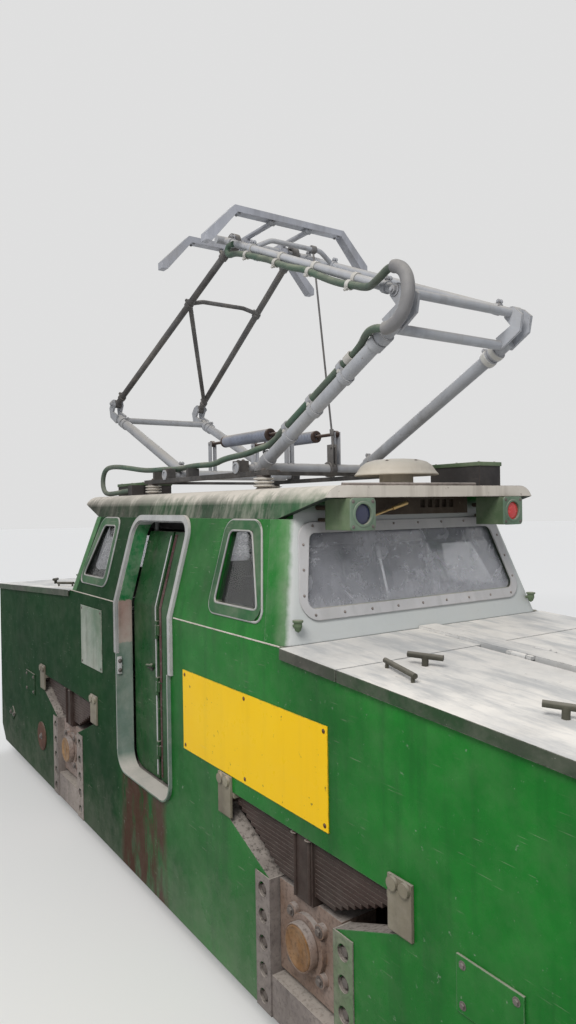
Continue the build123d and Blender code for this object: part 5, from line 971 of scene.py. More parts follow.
# %% Pour and finish
def pour(piece, shape, place=Matrix.Identity(4)):
    """Move a finished small shape into place and add it to the piece."""
    bmesh.ops.remove_doubles(shape, verts=shape.verts, dist=1e-6)
    shape.transform(place)
    bmesh.ops.recalc_face_normals(shape, faces=shape.faces)
    cup = bpy.data.meshes.new("cup")
    shape.to_mesh(cup)
    shape.free()
    piece.from_mesh(cup)
    bpy.data.meshes.remove(cup)


def finished(name, piece, body, look, angle=34):
    """Make the piece an object with one finish, riding on a body."""
    mesh = bpy.data.meshes.new(name)
    piece.to_mesh(mesh)
    piece.free()
    mesh.shade_smooth()
    mesh.set_sharp_from_angle(angle=math.radians(angle))
    mesh.materials.append(finish[look])
    made = bpy.data.objects.new(name, mesh)
    bpy.context.scene.collection.objects.link(made)
    if body:
        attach(made, body)
    print(name, len(mesh.polygons), "faces")
    return made


def facing(place, aim):
    """Matrix that stands a shape built on the Z axis at a place, with its Z along aim."""
    return Matrix.Translation(place) @ Vector(aim).to_track_quat("Z", "Y").to_matrix().to_4x4()


# %% [markdown]
# Most of the fittings of a locomotive are blocks and rods, as they come from a saw. A cube is stretched
# to its corners, a cylinder is laid between its ends, and a small bevel breaks the edges, because no real
# edge is perfectly sharp and a broken one catches the light.

# %% Blocks and rods
def box_matrix(low, high):
    """Matrix that stretches a unit cube from one corner to the other."""
    size = high - low
    return Matrix.Translation((low + high) / 2) @ Matrix.Diagonal((*size, 1.0))


def level_edges(shape, slack=1e-6):
    """Edges whose two ends are at one height: the rims of a rod or plate."""
    return [edge for edge in shape.edges if abs(edge.verts[0].co.z - edge.verts[1].co.z) < slack]


def soften(shape, edges, offset, segments=2):
    bmesh.ops.bevel(shape, geom=edges, offset=offset, segments=segments, profile=0.5,
                    affect="EDGES", material=-1)


def add_block(piece, low, high, soft=0.0015):
    shape = bmesh.new()
    bmesh.ops.create_cube(shape, size=1.0, matrix=box_matrix(Vector(low), Vector(high)))
    soften(shape, shape.edges[:], soft)
    pour(piece, shape)


def add_rod(piece, start, end, radius, sides=16, soft=0.0):
    """Cylinder between two places, with its rims bevelled by soft."""
    shape = bmesh.new()
    run = Vector(end) - Vector(start)
    bmesh.ops.create_cone(shape, cap_ends=True, segments=sides, radius1=radius, radius2=radius,
                          depth=run.length)
    if soft:
        soften(shape, level_edges(shape), soft)
    pour(piece, shape, facing((Vector(start) + Vector(end)) / 2, run))


# %% [markdown]
# Caps, collars and insulators come off a lathe. A turned piece is a half outline spun round an axis,
# which is how a lathe makes it; its outline lists a radius and a height for each point.

# %% Turned pieces, bolts and tubes
def add_turned(piece, outline, place, aim, steps=32):
    shape = bmesh.new()
    corners = [shape.verts.new((radius, 0.0, height)) for radius, height in outline]
    for pair in zip(corners, corners[1:]):
        shape.edges.new(pair)
    bmesh.ops.spin(shape, geom=shape.verts[:] + shape.edges[:], cent=(0, 0, 0), axis=(0, 0, 1),
                   angle=2 * math.pi, steps=steps, use_merge=True)
    pour(piece, shape, facing(place, aim))


def add_bolt(piece, place, aim, radius, hexagon=True):
    """Bolt head on its washer: a hexagon, or a round head with a flat rim."""
    away = Vector(aim).normalized()
    place = Vector(place)
    washer = [(0, 0), (radius * 1.5, 0), (radius * 1.5, radius * 0.2), (radius * 0.8, radius * 0.25)]
    add_turned(piece, washer, place, away, 14)
    if hexagon:
        add_rod(piece, place + away * radius * 0.15, place + away * radius * 0.85, radius, 6, radius * 0.12)
        return
    head = [(1.0, 0.2), (0.9, 0.5), (0.5, 0.75), (0, 0.8)]
    add_turned(piece, [(across * radius, up * radius) for across, up in head], place, away, 12)


def add_tube(piece, start, end, outer, inner, sides=24, soft=0.0006):
    """Ring or sleeve between two places, open through its middle."""
    run = Vector(end) - Vector(start)
    half = run.length / 2
    outline = [(inner, -half), (outer - soft, -half), (outer, -half + soft), (outer, half - soft),
               (outer - soft, half), (inner, half), (inner, -half)]
    add_turned(piece, outline, (Vector(start) + Vector(end)) / 2, run, sides)


# %% [markdown]
# A few sizes of the body are needed again and again. The sides stand upright up to the belt, and the cab
# leans in above it, so the half width at any height follows from the lean.

# %% Sizes of the body
SIDES = (-1, 1)
CORNERS = [(end, side) for end in SIDES for side in SIDES]
UP = Vector((0, 0, 1))
WIDE = 0.575
BELT = 1.2
LEAN = math.tan(math.radians(15))


def wall(z, inset=0.0):
    """Half width of the body at a height: upright below the belt, leaning in above it."""
    return WIDE - inset - max(0.0, z - BELT) * LEAN


print("the cab is", round(2 * wall(1.56), 3), "m wide under its roof")

# %% [markdown]
# ## Axle boxes and horn guides
# The round cap on each axle box is a bearing cover with a machined face, brown with old grease, in a cast
# rim.

# %% Bearing caps
AXLE = Vector((1.04, 0.0, 0.375))
CAP_OUT = 0.5835
CAP_R, RIM_R = 0.0605, 0.0655

caps, rims = bmesh.new(), bmesh.new()
cap_face = [(0, 0.004), (0.01, 0.0042), (0.014, 0.0024), (0.044, 0.0018), (0.049, 0.0042),
            (0.056, 0.0058), (CAP_R, 0.004), (CAP_R, -0.004)]
rim = [(CAP_R, -0.004), (CAP_R, 0.003), (0.0625, 0.0045), (0.0645, 0.003), (RIM_R, 0.0005),
       (RIM_R, -0.02), (0.063, -0.02)]
for end, side in CORNERS:
    centre = Vector((AXLE.x * end, side * CAP_OUT, AXLE.z))
    add_turned(caps, cap_face, centre, (0, side, 0), 40)
    add_turned(rims, rim, centre, (0, side, 0), 40)
finished("bearing_caps", caps, "locomotive", "cap_bronze")
finished("bearing_cap_rims", rims, "locomotive", "cast_box")

# %% [markdown]
# Four bolts hold the flange of each cap, and a row of bolts sits sunk in the pockets of each horn guide.

# %% Bolts on the running gear
LUG_CIRCLE, LUG_OUT = 0.096, 0.561
POCKET_ACROSS, POCKET_OUT = 0.195, 0.563
POCKET_LOWEST, POCKET_STEP, POCKETS = 0.131, 0.081, 5

nuts = bmesh.new()
for end, side in CORNERS:
    for quarter in range(4):
        angle = math.radians(45 + 90 * quarter)
        across, over = LUG_CIRCLE * math.cos(angle), LUG_CIRCLE * math.sin(angle)
        add_bolt(nuts, (AXLE.x * end + across, side * LUG_OUT, AXLE.z + over), (0, side, 0), 0.0105)
    for column in SIDES:
        x = AXLE.x * end + column * POCKET_ACROSS
        for row in range(POCKETS):
            z = POCKET_LOWEST + POCKET_STEP * row
            add_bolt(nuts, (x, side * POCKET_OUT, z), (0, side, 0), 0.0135)
finished("running_gear_bolts", nuts, "locomotive", "bolt_steel")

# %% [markdown]
# Under each leaf spring's buckle a pair of strap bolts pulls the leaves together, and each hanger has a
# pin through its two cheeks.

# %% Spring straps and hanger pins
STRAP_ACROSS, STRAP_OUT = 0.034, 0.5665
STRAP_FOOT, STRAP_HEAD = 0.505, 0.684
PIN_ACROSS, PIN_Z = 0.418, 0.65
PIN_FROM, PIN_TO = 0.47, 0.5745

straps = bmesh.new()
for end, side in CORNERS:
    for across in SIDES:
        x = AXLE.x * end + across * STRAP_ACROSS
        add_rod(straps, (x, side * STRAP_OUT, STRAP_FOOT), (x, side * STRAP_OUT, STRAP_HEAD), 0.0055, 10)
        add_bolt(straps, (x, side * STRAP_OUT, STRAP_HEAD - 0.002), UP, 0.009)
        x = AXLE.x * end + across * PIN_ACROSS
        add_rod(straps, (x, side * PIN_FROM, PIN_Z), (x, side * PIN_TO, PIN_Z), 0.01, 14)
finished("spring_straps", straps, "locomotive", "spring_steel")

# %% [markdown]
# ## Screws in plates and covers
# Every plate on the sides is held by small screws near its corners. One helper walks round a plate's edge
# and spaces them evenly, as a fitter would with a rule.

# %% Screws round the plates
PLATE_FACE, COVER_FACE = 0.5775, 0.5805
SIGN = ((0.32, 0.742), (1.18, 1.025))
NOTICE = ((-0.792, 0.862), (-0.512, 1.144))
COVER = ((1.63, 0.53), (1.806, 0.652))


def along_edges(low, high, inset, gap):
    """Places round a rectangle, a little inside its edge, about a gap apart."""
    (x0, z0), (x1, z1) = (low[0] + inset, low[1] + inset), (high[0] - inset, high[1] - inset)
    corners = [(x0, z0), (x1, z0), (x1, z1), (x0, z1), (x0, z0)]
    places = []
    for start, end in zip(corners, corners[1:]):
        count = max(1, round(math.dist(start, end) / gap))
        for k in range(count):
            share = k / count
            places.append((start[0] + (end[0] - start[0]) * share, start[1] + (end[1] - start[1]) * share))
    return places


screws, sign_screws = bmesh.new(), bmesh.new()
for side in SIDES:
    out = (0, side, 0)
    for x, z in along_edges(*SIGN, 0.016, 0.42):
        add_bolt(sign_screws, (x, side * PLATE_FACE, z), out, 0.0045, False)
    for x, z in along_edges(*NOTICE, 0.014, 0.26):
        add_bolt(screws, (x, side * PLATE_FACE, z), out, 0.0045, False)
    for end in SIDES:
        for x, z in along_edges(*COVER, 0.018, 0.15):
            add_bolt(screws, (end * x, side * COVER_FACE, z), out, 0.0065)
        add_bolt(screws, (end * 1.5, side * COVER_FACE, 0.33), out, 0.012)
        for x in (2.115, 2.185):
            add_bolt(screws, (end * x, side * COVER_FACE, 0.315), out, 0.01)
finished("plate_screws", screws, "locomotive", "bolt_steel")
finished("sign_screws", sign_screws, "locomotive", "rust")

# %% [markdown]
# ## Raising springs
# Two long coil springs between the pantograph's lower shafts lift it. A coil is a wire's round section
# spun round the spring's axis while it moves along it: the spin operator takes that travel as dvec.

# %% A coil
WIRE, COIL_R = 0.0036, 0.0222


def add_coil(piece, start, length, turns, steps=22):
    """Coil along X from a place; its wire's section is spun and carried forward."""
    shape = bmesh.new()
    upright = Matrix.Rotation(math.pi / 2, 4, "X")
    ring = bmesh.ops.create_circle(shape, segments=8, radius=WIRE, matrix=upright)
    bmesh.ops.translate(shape, vec=(COIL_R, 0, 0), verts=ring["verts"])
    total = turns * steps
    bmesh.ops.spin(shape, geom=shape.verts[:] + shape.edges[:], cent=(0, 0, 0), axis=(0, 0, 1),
                   dvec=(0, 0, length / total), angle=2 * math.pi * turns, steps=total, use_merge=False)
    ends = [edge for edge in shape.edges if edge.is_boundary]
    bmesh.ops.holes_fill(shape, edges=ends, sides=8)
    pour(piece, shape, facing(start, (1, 0, 0)))


# %% [markdown]
# The coils replace the plain ridged tubes of the CAD model.

# %% Coils and their ends
SPRING_Y, SPRING_Z = 0.115, 1.895
COIL_START, COIL_END = -0.158, 0.198
CAP_LENGTH, SPRING_CAP_R = 0.012, 0.0258
EYE_X, EYE_HALF = -0.29, 0.008

coils, spring_ends = bmesh.new(), bmesh.new()
for side in SIDES:
    y = side * SPRING_Y
    start, end, eye = (Vector((x, y, SPRING_Z)) for x in (COIL_START, COIL_END, EYE_X))
    cap, across = Vector((CAP_LENGTH, 0, 0)), Vector((0, EYE_HALF, 0))
    add_coil(coils, start, COIL_END - COIL_START, 31)
    add_rod(spring_ends, start - cap, start, SPRING_CAP_R, 28, 0.002)
    add_tube(spring_ends, end, end + cap, SPRING_CAP_R, 0.0115, 28, 0.002)
    add_rod(spring_ends, eye, (-0.168, y, SPRING_Z), 0.0068, 12)
    add_rod(spring_ends, (-0.183, y, SPRING_Z), start - cap, 0.0125, 6, 0.001)
    add_tube(spring_ends, eye - across, eye + across, 0.014, 0.0064, 20)
coil_piece = finished("raising_spring_coils", coils, "spring_coils", "coil_blue", 60)
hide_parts("spring_coils")
finished("raising_spring_ends", spring_ends, "spring_coils", "spring_steel")

# %% [markdown]
# ## Insulators
# The whole pantograph stands on four ribbed porcelain insulators, because it is live. Their outline goes
# in and out once for each rib; steel caps above and below hold them to the roof and the base.

# %% Turned porcelain
ROOF_TOP = 1.665
INSULATOR_X, INSULATOR_Y = (-0.46, 0.5), 0.335
RIBS, RIB_STEP, CORE_R = 3, 0.0125, 0.022

outline = [(0.0, 0.006), (0.021, 0.006)]
for rib in range(RIBS):
    low = 0.0075 + rib * RIB_STEP
    outline += [(CORE_R, low), (0.034, low + 0.0035), (0.0378, low + 0.006), (0.0375, low + 0.0082),
                (0.03, low + 0.01), (CORE_R, low + 0.0118)]
outline += [(0.021, 0.045), (0.0, 0.045)]
lower_cap = [(0, 0.0002), (0.029, 0.0002), (0.03, 0.002), (0.025, 0.0072), (0, 0.0072)]
upper_cap = [(0, 0.0435), (0.024, 0.0435), (0.026, 0.045), (0.026, 0.05), (0, 0.05)]

porcelain, caps = bmesh.new(), bmesh.new()
for x in INSULATOR_X:
    for side in SIDES:
        foot = (x, side * INSULATOR_Y, ROOF_TOP)
        add_turned(porcelain, outline, foot, UP, 36)
        add_turned(caps, lower_cap, foot, UP, 28)
        add_turned(caps, upper_cap, foot, UP, 28)
        add_bolt(caps, (x, side * INSULATOR_Y, 1.733), UP, 0.0085)
glazed = finished("porcelain_insulators", porcelain, "locomotive", "porcelain", 40)
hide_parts("insulators")
finished("insulator_caps", caps, "locomotive", "bolt_steel")

# %% [markdown]
# ## Pantograph fittings
# Where tubes meet, the real pantograph has cast sleeves, split collars and pinch bolts. They are short
# tubes and bolts set along an arm's centre line, so a helper gives each line, and one a place on it.

# %% Lines of the pantograph
FRONT_SHAFT, REAR_SHAFT = Vector((0.34, 0, 1.75)), Vector((-0.29, 0, 1.75))
FRONT_KNUCKLE, REAR_KNUCKLE = Vector((1.13288, 0, 2.22641)), Vector((-1.11418, 0, 2.16994))
APEX = Vector((-0.00393, 0, 2.72664))
ARM_Y, FRONT_APEX_Y, REAR_APEX_Y = 0.25, 0.19, 0.15
NECK_ALONG, NECK_BELOW = 0.862, 0.062


def at_side(point, y):
    return Vector((point.x, y, point.z))


def between(start, end, share):
    return start + (end - start) * share


def lower_line(shaft, knuckle, y):
    """Centre line of a lower arm: it runs to the neck that hangs under the knuckle."""
    unit = (knuckle - shaft).normalized()
    square = Vector((-unit.z, 0, unit.x)) if unit.x > 0 else Vector((unit.z, 0, -unit.x))
    return at_side(shaft, y), at_side(shaft + unit * NECK_ALONG - square * NECK_BELOW, y)


front_line = lower_line(FRONT_SHAFT, FRONT_KNUCKLE, ARM_Y)
print("a lower arm is", round((front_line[1] - front_line[0]).length, 3), "m long")

# %% [markdown]
# A split collar is a ring with two ears and a bolt through them, which pinches it on its tube.

# %% Collars and knuckle bolts
def add_collar(piece, line, share, radius, width):
    """Split collar round a tube, with its pinch bolt in two ears on top."""
    start, end = line
    middle, unit = between(start, end, share), (end - start).normalized()
    half = unit * width / 2
    add_tube(piece, middle - half, middle + half, radius + 0.0052, radius - 0.001, 24, 0.001)
    ear = (UP - unit * UP.dot(unit)).normalized()
    across = unit.cross(ear)
    seat = middle + ear * (radius + 0.01)
    add_rod(piece, seat - across * 0.012, seat + across * 0.012, 0.0035, 8)
    for sign in SIDES:
        add_rod(piece, seat + across * sign * 0.0035, seat + across * sign * 0.0085, 0.0085, 14, 0.0008)
        add_bolt(piece, seat + across * sign * 0.0085, across * sign, 0.0048)


def add_knuckle_bolts(piece, knuckle, sign):
    """Nut and threaded end on the outside of a knuckle pin."""
    add_bolt(piece, at_side(knuckle, sign * 0.2768), (0, sign, 0), 0.013)
    add_rod(piece, at_side(knuckle, sign * 0.276), at_side(knuckle, sign * 0.2925), 0.0065, 12, 0.0008)


# %% [markdown]
# The fittings are gathered in one piece for each body that they turn with.

# %% Fittings on the arms
LOWER_R, UPPER_R = 0.023, 0.015
LEVER_NUTS = (0.103, 0.127)
SHAFT_END_Y = 0.3552
shaft_cap = [(0.0, 0), (0.0225, 0), (0.0225, 0.004), (0.014, 0.005), (0.014, 0.001), (0, 0.001)]

bodies = ("front_lower", "front_upper", "rear_lower", "rear_upper", "pan", "locomotive")
fittings = {body: bmesh.new() for body in bodies}
for side in SIDES:
    y = side * ARM_Y
    # body, line, tube radius, and (share, width) of each collar
    collars = (
        ("front_lower", lower_line(FRONT_SHAFT, FRONT_KNUCKLE, y), LOWER_R, ((0.885, 0.03), (0.075, 0.034))),
        ("rear_lower", lower_line(REAR_SHAFT, REAR_KNUCKLE, y), LOWER_R, ((0.885, 0.026), (0.075, 0.034))),
        ("front_upper", (at_side(FRONT_KNUCKLE, y), at_side(APEX, side * FRONT_APEX_Y)), UPPER_R,
         ((0.06, 0.022), (0.795, 0.022), (0.95, 0.022))),
        ("rear_upper", (at_side(REAR_KNUCKLE, y), at_side(APEX, side * REAR_APEX_Y)), UPPER_R,
         ((0.05, 0.02), (0.67, 0.02), (0.93, 0.02))),
    )
    for body, line, radius, rows in collars:
        for share, width in rows:
            add_collar(fittings[body], line, share, radius, width)
    add_knuckle_bolts(fittings["front_lower"], FRONT_KNUCKLE, side)
    add_knuckle_bolts(fittings["rear_lower"], REAR_KNUCKLE, side)
    for shaft, body in ((FRONT_SHAFT, "front_lower"), (REAR_SHAFT, "rear_lower")):
        for lever_y, outward in zip(LEVER_NUTS, (-1, 1)):
            seat = (shaft.x, side * (lever_y + outward * 0.0035), SPRING_Z)
            add_bolt(fittings[body], seat, (0, side * outward, 0), 0.0058)
        add_turned(fittings[body], shaft_cap, at_side(shaft, side * SHAFT_END_Y), (0, side, 0), 24)
        for across in SIDES:
            seat = (shaft.x + across * 0.018, side * INSULATOR_Y, 1.7758)
            add_bolt(fittings["locomotive"], seat, UP, 0.006)
    for x in (-0.5, 0.54):
        add_bolt(fittings["locomotive"], (x, side * 0.3, 1.727), UP, 0.0075)

# %% [markdown]
# Under the pan, each contact rail rests on two springs in cups and is held by bolts from below.

# %% Fittings under the pan
RAIL_ACROSS = 0.2
RAIL_BOLT_Z, CUP_Z = 2.761, 2.7605

for rail in SIDES:
    x = APEX.x + rail * RAIL_ACROSS
    for side in SIDES:
        for y in (side * 0.09, side * 0.245):
            for across in SIDES:
                add_bolt(fittings["pan"], (x + across * 0.0135, y, RAIL_BOLT_Z), -UP, 0.0042)
        add_rod(fittings["pan"], (x, side * 0.075, CUP_Z), (x, side * 0.105, CUP_Z), 0.0135, 16, 0.001)
fitting_looks = {"locomotive": "bolt_steel", "rear_upper": "sooty_arm"}
for body, piece in fittings.items():
    finished(body + "_fittings", piece, body, fitting_looks.get(body, "arm_paint"))

# %% [markdown]
# The wire rubs a strip of softer metal on each contact rail, which is screwed on and shines while the
# rest of the rail is dull.

# %% Wear strips and white sleeves
STRIP_HALF_WIDTH, STRIP_HALF_LENGTH = 0.014, 0.262
STRIP_LOW, STRIP_TOP, SCREW_TOP = 2.7862, 2.7884, 2.7889

strips, sleeves = bmesh.new(), bmesh.new()
for rail in SIDES:
    x = APEX.x + rail * RAIL_ACROSS
    add_block(strips, (x - STRIP_HALF_WIDTH, -STRIP_HALF_LENGTH, STRIP_LOW),
              (x + STRIP_HALF_WIDTH, STRIP_HALF_LENGTH, STRIP_TOP), 0.0008)
    for step in range(7):
        y = -0.225 + step * 0.075
        add_rod(strips, (x, y, STRIP_TOP), (x, y, SCREW_TOP), 0.0042, 10)
far_unit = (front_line[1] - front_line[0]).normalized()
for share in (0.885, 0.928):
    middle = between(*front_line, share)
    add_tube(sleeves, middle - far_unit * 0.01, middle + far_unit * 0.01, 0.0305, 0.022, 24, 0.002)
finished("wear_strips", strips, "pan", "bare_rail")
finished("white_sleeves", sleeves, "front_lower", "white_fitting")

# %% [markdown]
# A thin rod hangs from the bow of the upper frame to the foot of the lower frame. Its two ends turn with
# different bodies, so the rod is one mesh that is left on no body.

# %% Thin rod across the knuckle
ROD_Y = 0.085
CHEEK_X, CHEEK_Z = (0.334, 0.372), (1.762, 1.85)

thin, clevis = bmesh.new(), bmesh.new()
bow = between(FRONT_KNUCKLE, APEX, 0.799) + Vector((0.018, ROD_Y, 0.041))
foot = Vector((0.362, ROD_Y, 1.842))
add_rod(thin, foot, bow, 0.0042, 10)
add_rod(thin, between(foot, bow, 0.055), between(foot, bow, 0.085), 0.0085, 6, 0.001)
add_tube(thin, bow - Vector((0, 0.011, 0)), bow + Vector((0, 0.011, 0)), 0.0165, 0.0095, 20)
thin_rod = finished("thin_rod", thin, None, "sooty_arm")
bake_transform(thin_rod)

for low_y, high_y in ((0.074, 0.079), (0.091, 0.096)):
    add_block(clevis, (CHEEK_X[0], low_y, CHEEK_Z[0]), (CHEEK_X[1], high_y, CHEEK_Z[1]), 0.001)
add_rod(clevis, foot + Vector((0, -0.014, -0.004)), foot + Vector((0, 0.014, -0.004)), 0.0055, 12)
add_tube(clevis, at_side(FRONT_SHAFT, ROD_Y - 0.015), at_side(FRONT_SHAFT, ROD_Y + 0.015), 0.031, 0.0215, 28)
finished("thin_rod_clevis", clevis, "front_lower", "sooty_arm")

# %% [markdown]
# ## The power hose
# The current comes down through a rubber hose that lies in a loop on the roof, runs up the front arm,
# swings in a loop round the knuckle and follows the upper arm to the contact rails. Its line is a NURBS
# curve: the route's points pull the curve towards them without making it turn sharply.

# %% A round curve
def round_curve(name, kind, points, radius, smoothness=4):
    """Round tube along points in metres, as a curve; radius 0 gives the bare line."""
    curve = bpy.data.curves.new(name, "CURVE")
    curve.dimensions = "3D"
    curve.bevel_depth = radius
    curve.bevel_resolution = smoothness
    curve.use_fill_caps = True
    spline = curve.splines.new(kind)
    spline.points.add(len(points) - 1)
    for control, point in zip(spline.points, points):
        control.co = (*point, 1.0)
    if kind == "NURBS":
        spline.order_u = 3
        spline.use_endpoint_u = True
        spline.resolution_u = 12
    made = bpy.data.objects.new(name, curve)
    bpy.context.scene.collection.objects.link(made)
    return made


def as_mesh(curve_object):
    """The curve as a mesh; the curve itself is removed."""
    bpy.context.view_layer.update()
    depsgraph = bpy.context.evaluated_depsgraph_get()
    mesh = bpy.data.meshes.new_from_object(curve_object.evaluated_get(depsgraph))
    bpy.data.objects.remove(curve_object)
    return mesh


def as_tube(curve_object):
    """The curve as a closed bmesh with its seam merged."""
    mesh = as_mesh(curve_object)
    tube = bmesh.new()
    tube.from_mesh(mesh)
    bpy.data.meshes.remove(mesh)
    bmesh.ops.remove_doubles(tube, verts=tube.verts, dist=1e-5)
    bmesh.ops.recalc_face_normals(tube, faces=tube.faces)
    return tube


# %% [markdown]
# The routes are written in millimetres, as one would read them off a drawing. A curve has no length of
# its own, so the line is turned into a mesh without thickness and its steps are added up.

# %% Routes of the hose
HOSE_R, SHEATH_R = 0.012, 0.0195
ROOF_ROUTE = [
    (-640, -358, 1690), (-735, -358, 1690), (-850, -372, 1679), (-957, -381, 1678), (-996, -382, 1717),
    (-996, -380, 1772), (-957, -376, 1811), (-860, -366, 1816), (-730, -342, 1802), (-620, -316, 1786),
    (-520, -301, 1782), (-420, -299, 1782), (-270, -296, 1775), (-160, -294, 1782), (-60, -295, 1782),
    (60, -297, 1778), (150, -295, 1798), (250, -294, 1802)]
TURN_ROUTE = [
    (250, -294, 1802), (320, -293.3, 1804.8), (375, -281, 1820), (418.3, -250, 1833.3), (471.9, -250, 1860.5)]
KNUCKLE_ROUTE = [
    (892.2, -250, 2073.6), (945.9, -250, 2100.8), (1010, -281, 2126), (1075, -303, 2126), (1140, -306, 2108),
    (1196, -304, 2138), (1222, -302, 2200), (1203, -300, 2264), (1146, -298, 2292), (1075, -290, 2268),
    (996.9, -263, 2264.6), (942, -260.1, 2288.8)]
UPPER_ROUTE = [
    (942, -260.1, 2288.8), (880, -257, 2309), (800, -254, 2343), (700, -249, 2393), (640, -245, 2424),
    (560, -240, 2452), (470, -236, 2490), (400, -232, 2526), (320, -228, 2558), (240, -223, 2590),
    (170, -219, 2618), (110, -216, 2636), (66, -214, 2640), (46, -213, 2662),
    (62, -212, 2686), (96, -212, 2680)]


def hose_curve(name, route, radius):
    points = [tuple(value / 1000 for value in point) for point in route]
    return round_curve(name, "NURBS", points, radius)


def read_line(route):
    """Points along the route's curve, in metres, and its length."""
    mesh = as_mesh(hose_curve("bare_line", route, 0.0))
    points = [vertex.co.copy() for vertex in mesh.vertices]
    bpy.data.meshes.remove(mesh)
    return points, sum((b - a).length for a, b in zip(points, points[1:]))


roof_line, roof_length = read_line(ROOF_ROUTE)
turn_line, turn_length = read_line(TURN_ROUTE)
knuckle_line, knuckle_length = read_line(KNUCKLE_ROUTE)
upper_line, upper_length = read_line(UPPER_ROUTE)
print("hose lengths", [round(each, 3) for each in (roof_length, turn_length, knuckle_length, upper_length)])

# %% [markdown]
# The stretch on the roof doesn't move, so it stays a curve and rides on the body.

# %% Hose on the roof
roof_hose = hose_curve("roof_hose", ROOF_ROUTE, HOSE_R)
roof_hose.data.materials.append(finish["cable_green"])
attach(roof_hose, "locomotive")
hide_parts("power_cable_roof")
print("hose on the roof", round(roof_length, 3), "m")

# %% [markdown]
# The stretches at the shaft and at the knuckle bend with the pantograph: each becomes a mesh tube that rides
# on no body.

# %% Stretches that bend
def bending_hose(name, route, nodes):
    """Mesh tube along a route, on no body, with the CAD nodes it replaces hidden."""
    made = finished(name, as_tube(hose_curve(name + "_curve", route, HOSE_R)), None, "cable_green", 50)
    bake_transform(made)
    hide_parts(*nodes)
    return made


turn_hose = bending_hose(
    "shaft_hose", TURN_ROUTE, ["power_cable_turn"])
knuckle_hose = bending_hose(
    "knuckle_hose", KNUCKLE_ROUTE, ["power_cable_knuckle"])

# %% [markdown]
# Round the knuckle a thicker sheath keeps the hose from chafing. It is a short tube whose middle line is a
# stretch of the hose's own line, so the two stay together.

# %% Sheath round the knuckle
SHEATH_FROM, SHEATH_TO = 0.335, 0.7


def stretch(line, start, end):
    """The points of a line between two shares of its length."""
    total = sum((b - a).length for a, b in zip(line, line[1:]))
    kept, run = [], 0.0
    for point, following in zip(line, line[1:] + line[-1:]):
        if start * total <= run <= end * total:
            kept.append(point)
        run += (following - point).length
    return kept


sheath_line = stretch(knuckle_line, SHEATH_FROM, SHEATH_TO)
sheath_curve = round_curve("sleeve_line", "POLY", sheath_line, SHEATH_R, 5)
sheath = finished("knuckle_sheath", as_tube(sheath_curve), None, "grey_sheath", 50)
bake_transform(sheath)

# %% [markdown]
# The last stretch turns only with the upper arm, so it stays a curve and rides on that arm.

# %% Hose on the upper arm
upper_hose = hose_curve("upper_hose", UPPER_ROUTE, HOSE_R)
upper_hose.data.materials.append(finish["cable_green"])
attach(upper_hose, "front_upper")
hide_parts("power_cable_upper")
print("hose on the upper arm", round(upper_length, 3), "m")

# %% [markdown]
# White clips tie the hose to the upper arm. Each is two rings, one round the arm and one round the hose
# where it passes, with a bolt on the outside; the nearest point of the hose is searched for.

# %% Clips on the upper arm
UPPER_ARM_LENGTH = 1.242
CLIP_HALF = 0.009

clips = bmesh.new()
arm_start, arm_end = at_side(FRONT_KNUCKLE, -ARM_Y), at_side(APEX, -FRONT_APEX_Y)
arm_unit = (arm_end - arm_start).normalized()
for share in (0.19, 0.395, 0.59, 0.79):
    wanted = share * UPPER_ARM_LENGTH
    on_hose = min(upper_line, key=lambda point: abs((point - arm_start).dot(arm_unit) - wanted))
    on_arm = arm_start + arm_unit * (on_hose - arm_start).dot(arm_unit)
    for centre, radius in ((on_arm, 0.0165), (on_hose, 0.0135)):
        half = arm_unit * CLIP_HALF
        add_tube(clips, centre - half, centre + half, radius + 0.0025, radius - 0.001, 24)
    away = (on_hose - on_arm).normalized()
    add_rod(clips, on_hose + away * 0.01, on_hose + away * 0.026, 0.0045, 6, 0.0005)
    add_bolt(clips, on_hose + away * 0.016, away, 0.0062)
finished("hose_clips", clips, "front_upper", "white_fitting")

# %% [markdown]
# On the lower arm the clamps come with the CAD model and only lack their bolts, and a short sleeve covers
# the joint where the hose leaves the arm.

# %% Clips on the lower arm
NEAR_CLAMPS = (0.23, 0.4, 0.59)
SLEEVE_FROM, SLEEVE_TO, SLEEVE_LIFT = 0.622, 0.652, 0.039
ARM_HOSE_LENGTH = 0.47

arm_clips = bmesh.new()
near_start, near_end = lower_line(FRONT_SHAFT, FRONT_KNUCKLE, -ARM_Y)
near_unit = (near_end - near_start).normalized()
near_up = Vector((-near_unit.z, 0, near_unit.x))
for distance in NEAR_CLAMPS:
    centre = near_start + near_unit * distance
    for across in SIDES:
        seat = centre + Vector((0, across * 0.0205, 0)) + near_up * 0.02
        add_bolt(arm_clips, seat, (0, across, 0), 0.0056)
sleeve_foot = near_start + near_up * SLEEVE_LIFT
sleeve_ends = [sleeve_foot + near_unit * distance for distance in (SLEEVE_FROM, SLEEVE_TO)]
add_tube(arm_clips, *sleeve_ends, 0.0185, 0.0145)
finished("arm_clips", arm_clips, "front_lower", "white_fitting")
on_arms = ARM_HOSE_LENGTH + upper_length
print("hose in all", round(roof_length + turn_length + knuckle_length + on_arms, 2), "m")

# %% [markdown]
# ## Lamps
# Each of the four lamps has a pressed rim: a plate with rounded corners and a round hole. The plate is
# made from two closed loops, the corners rounded by a vertex bevel, and the gap between them bridged.

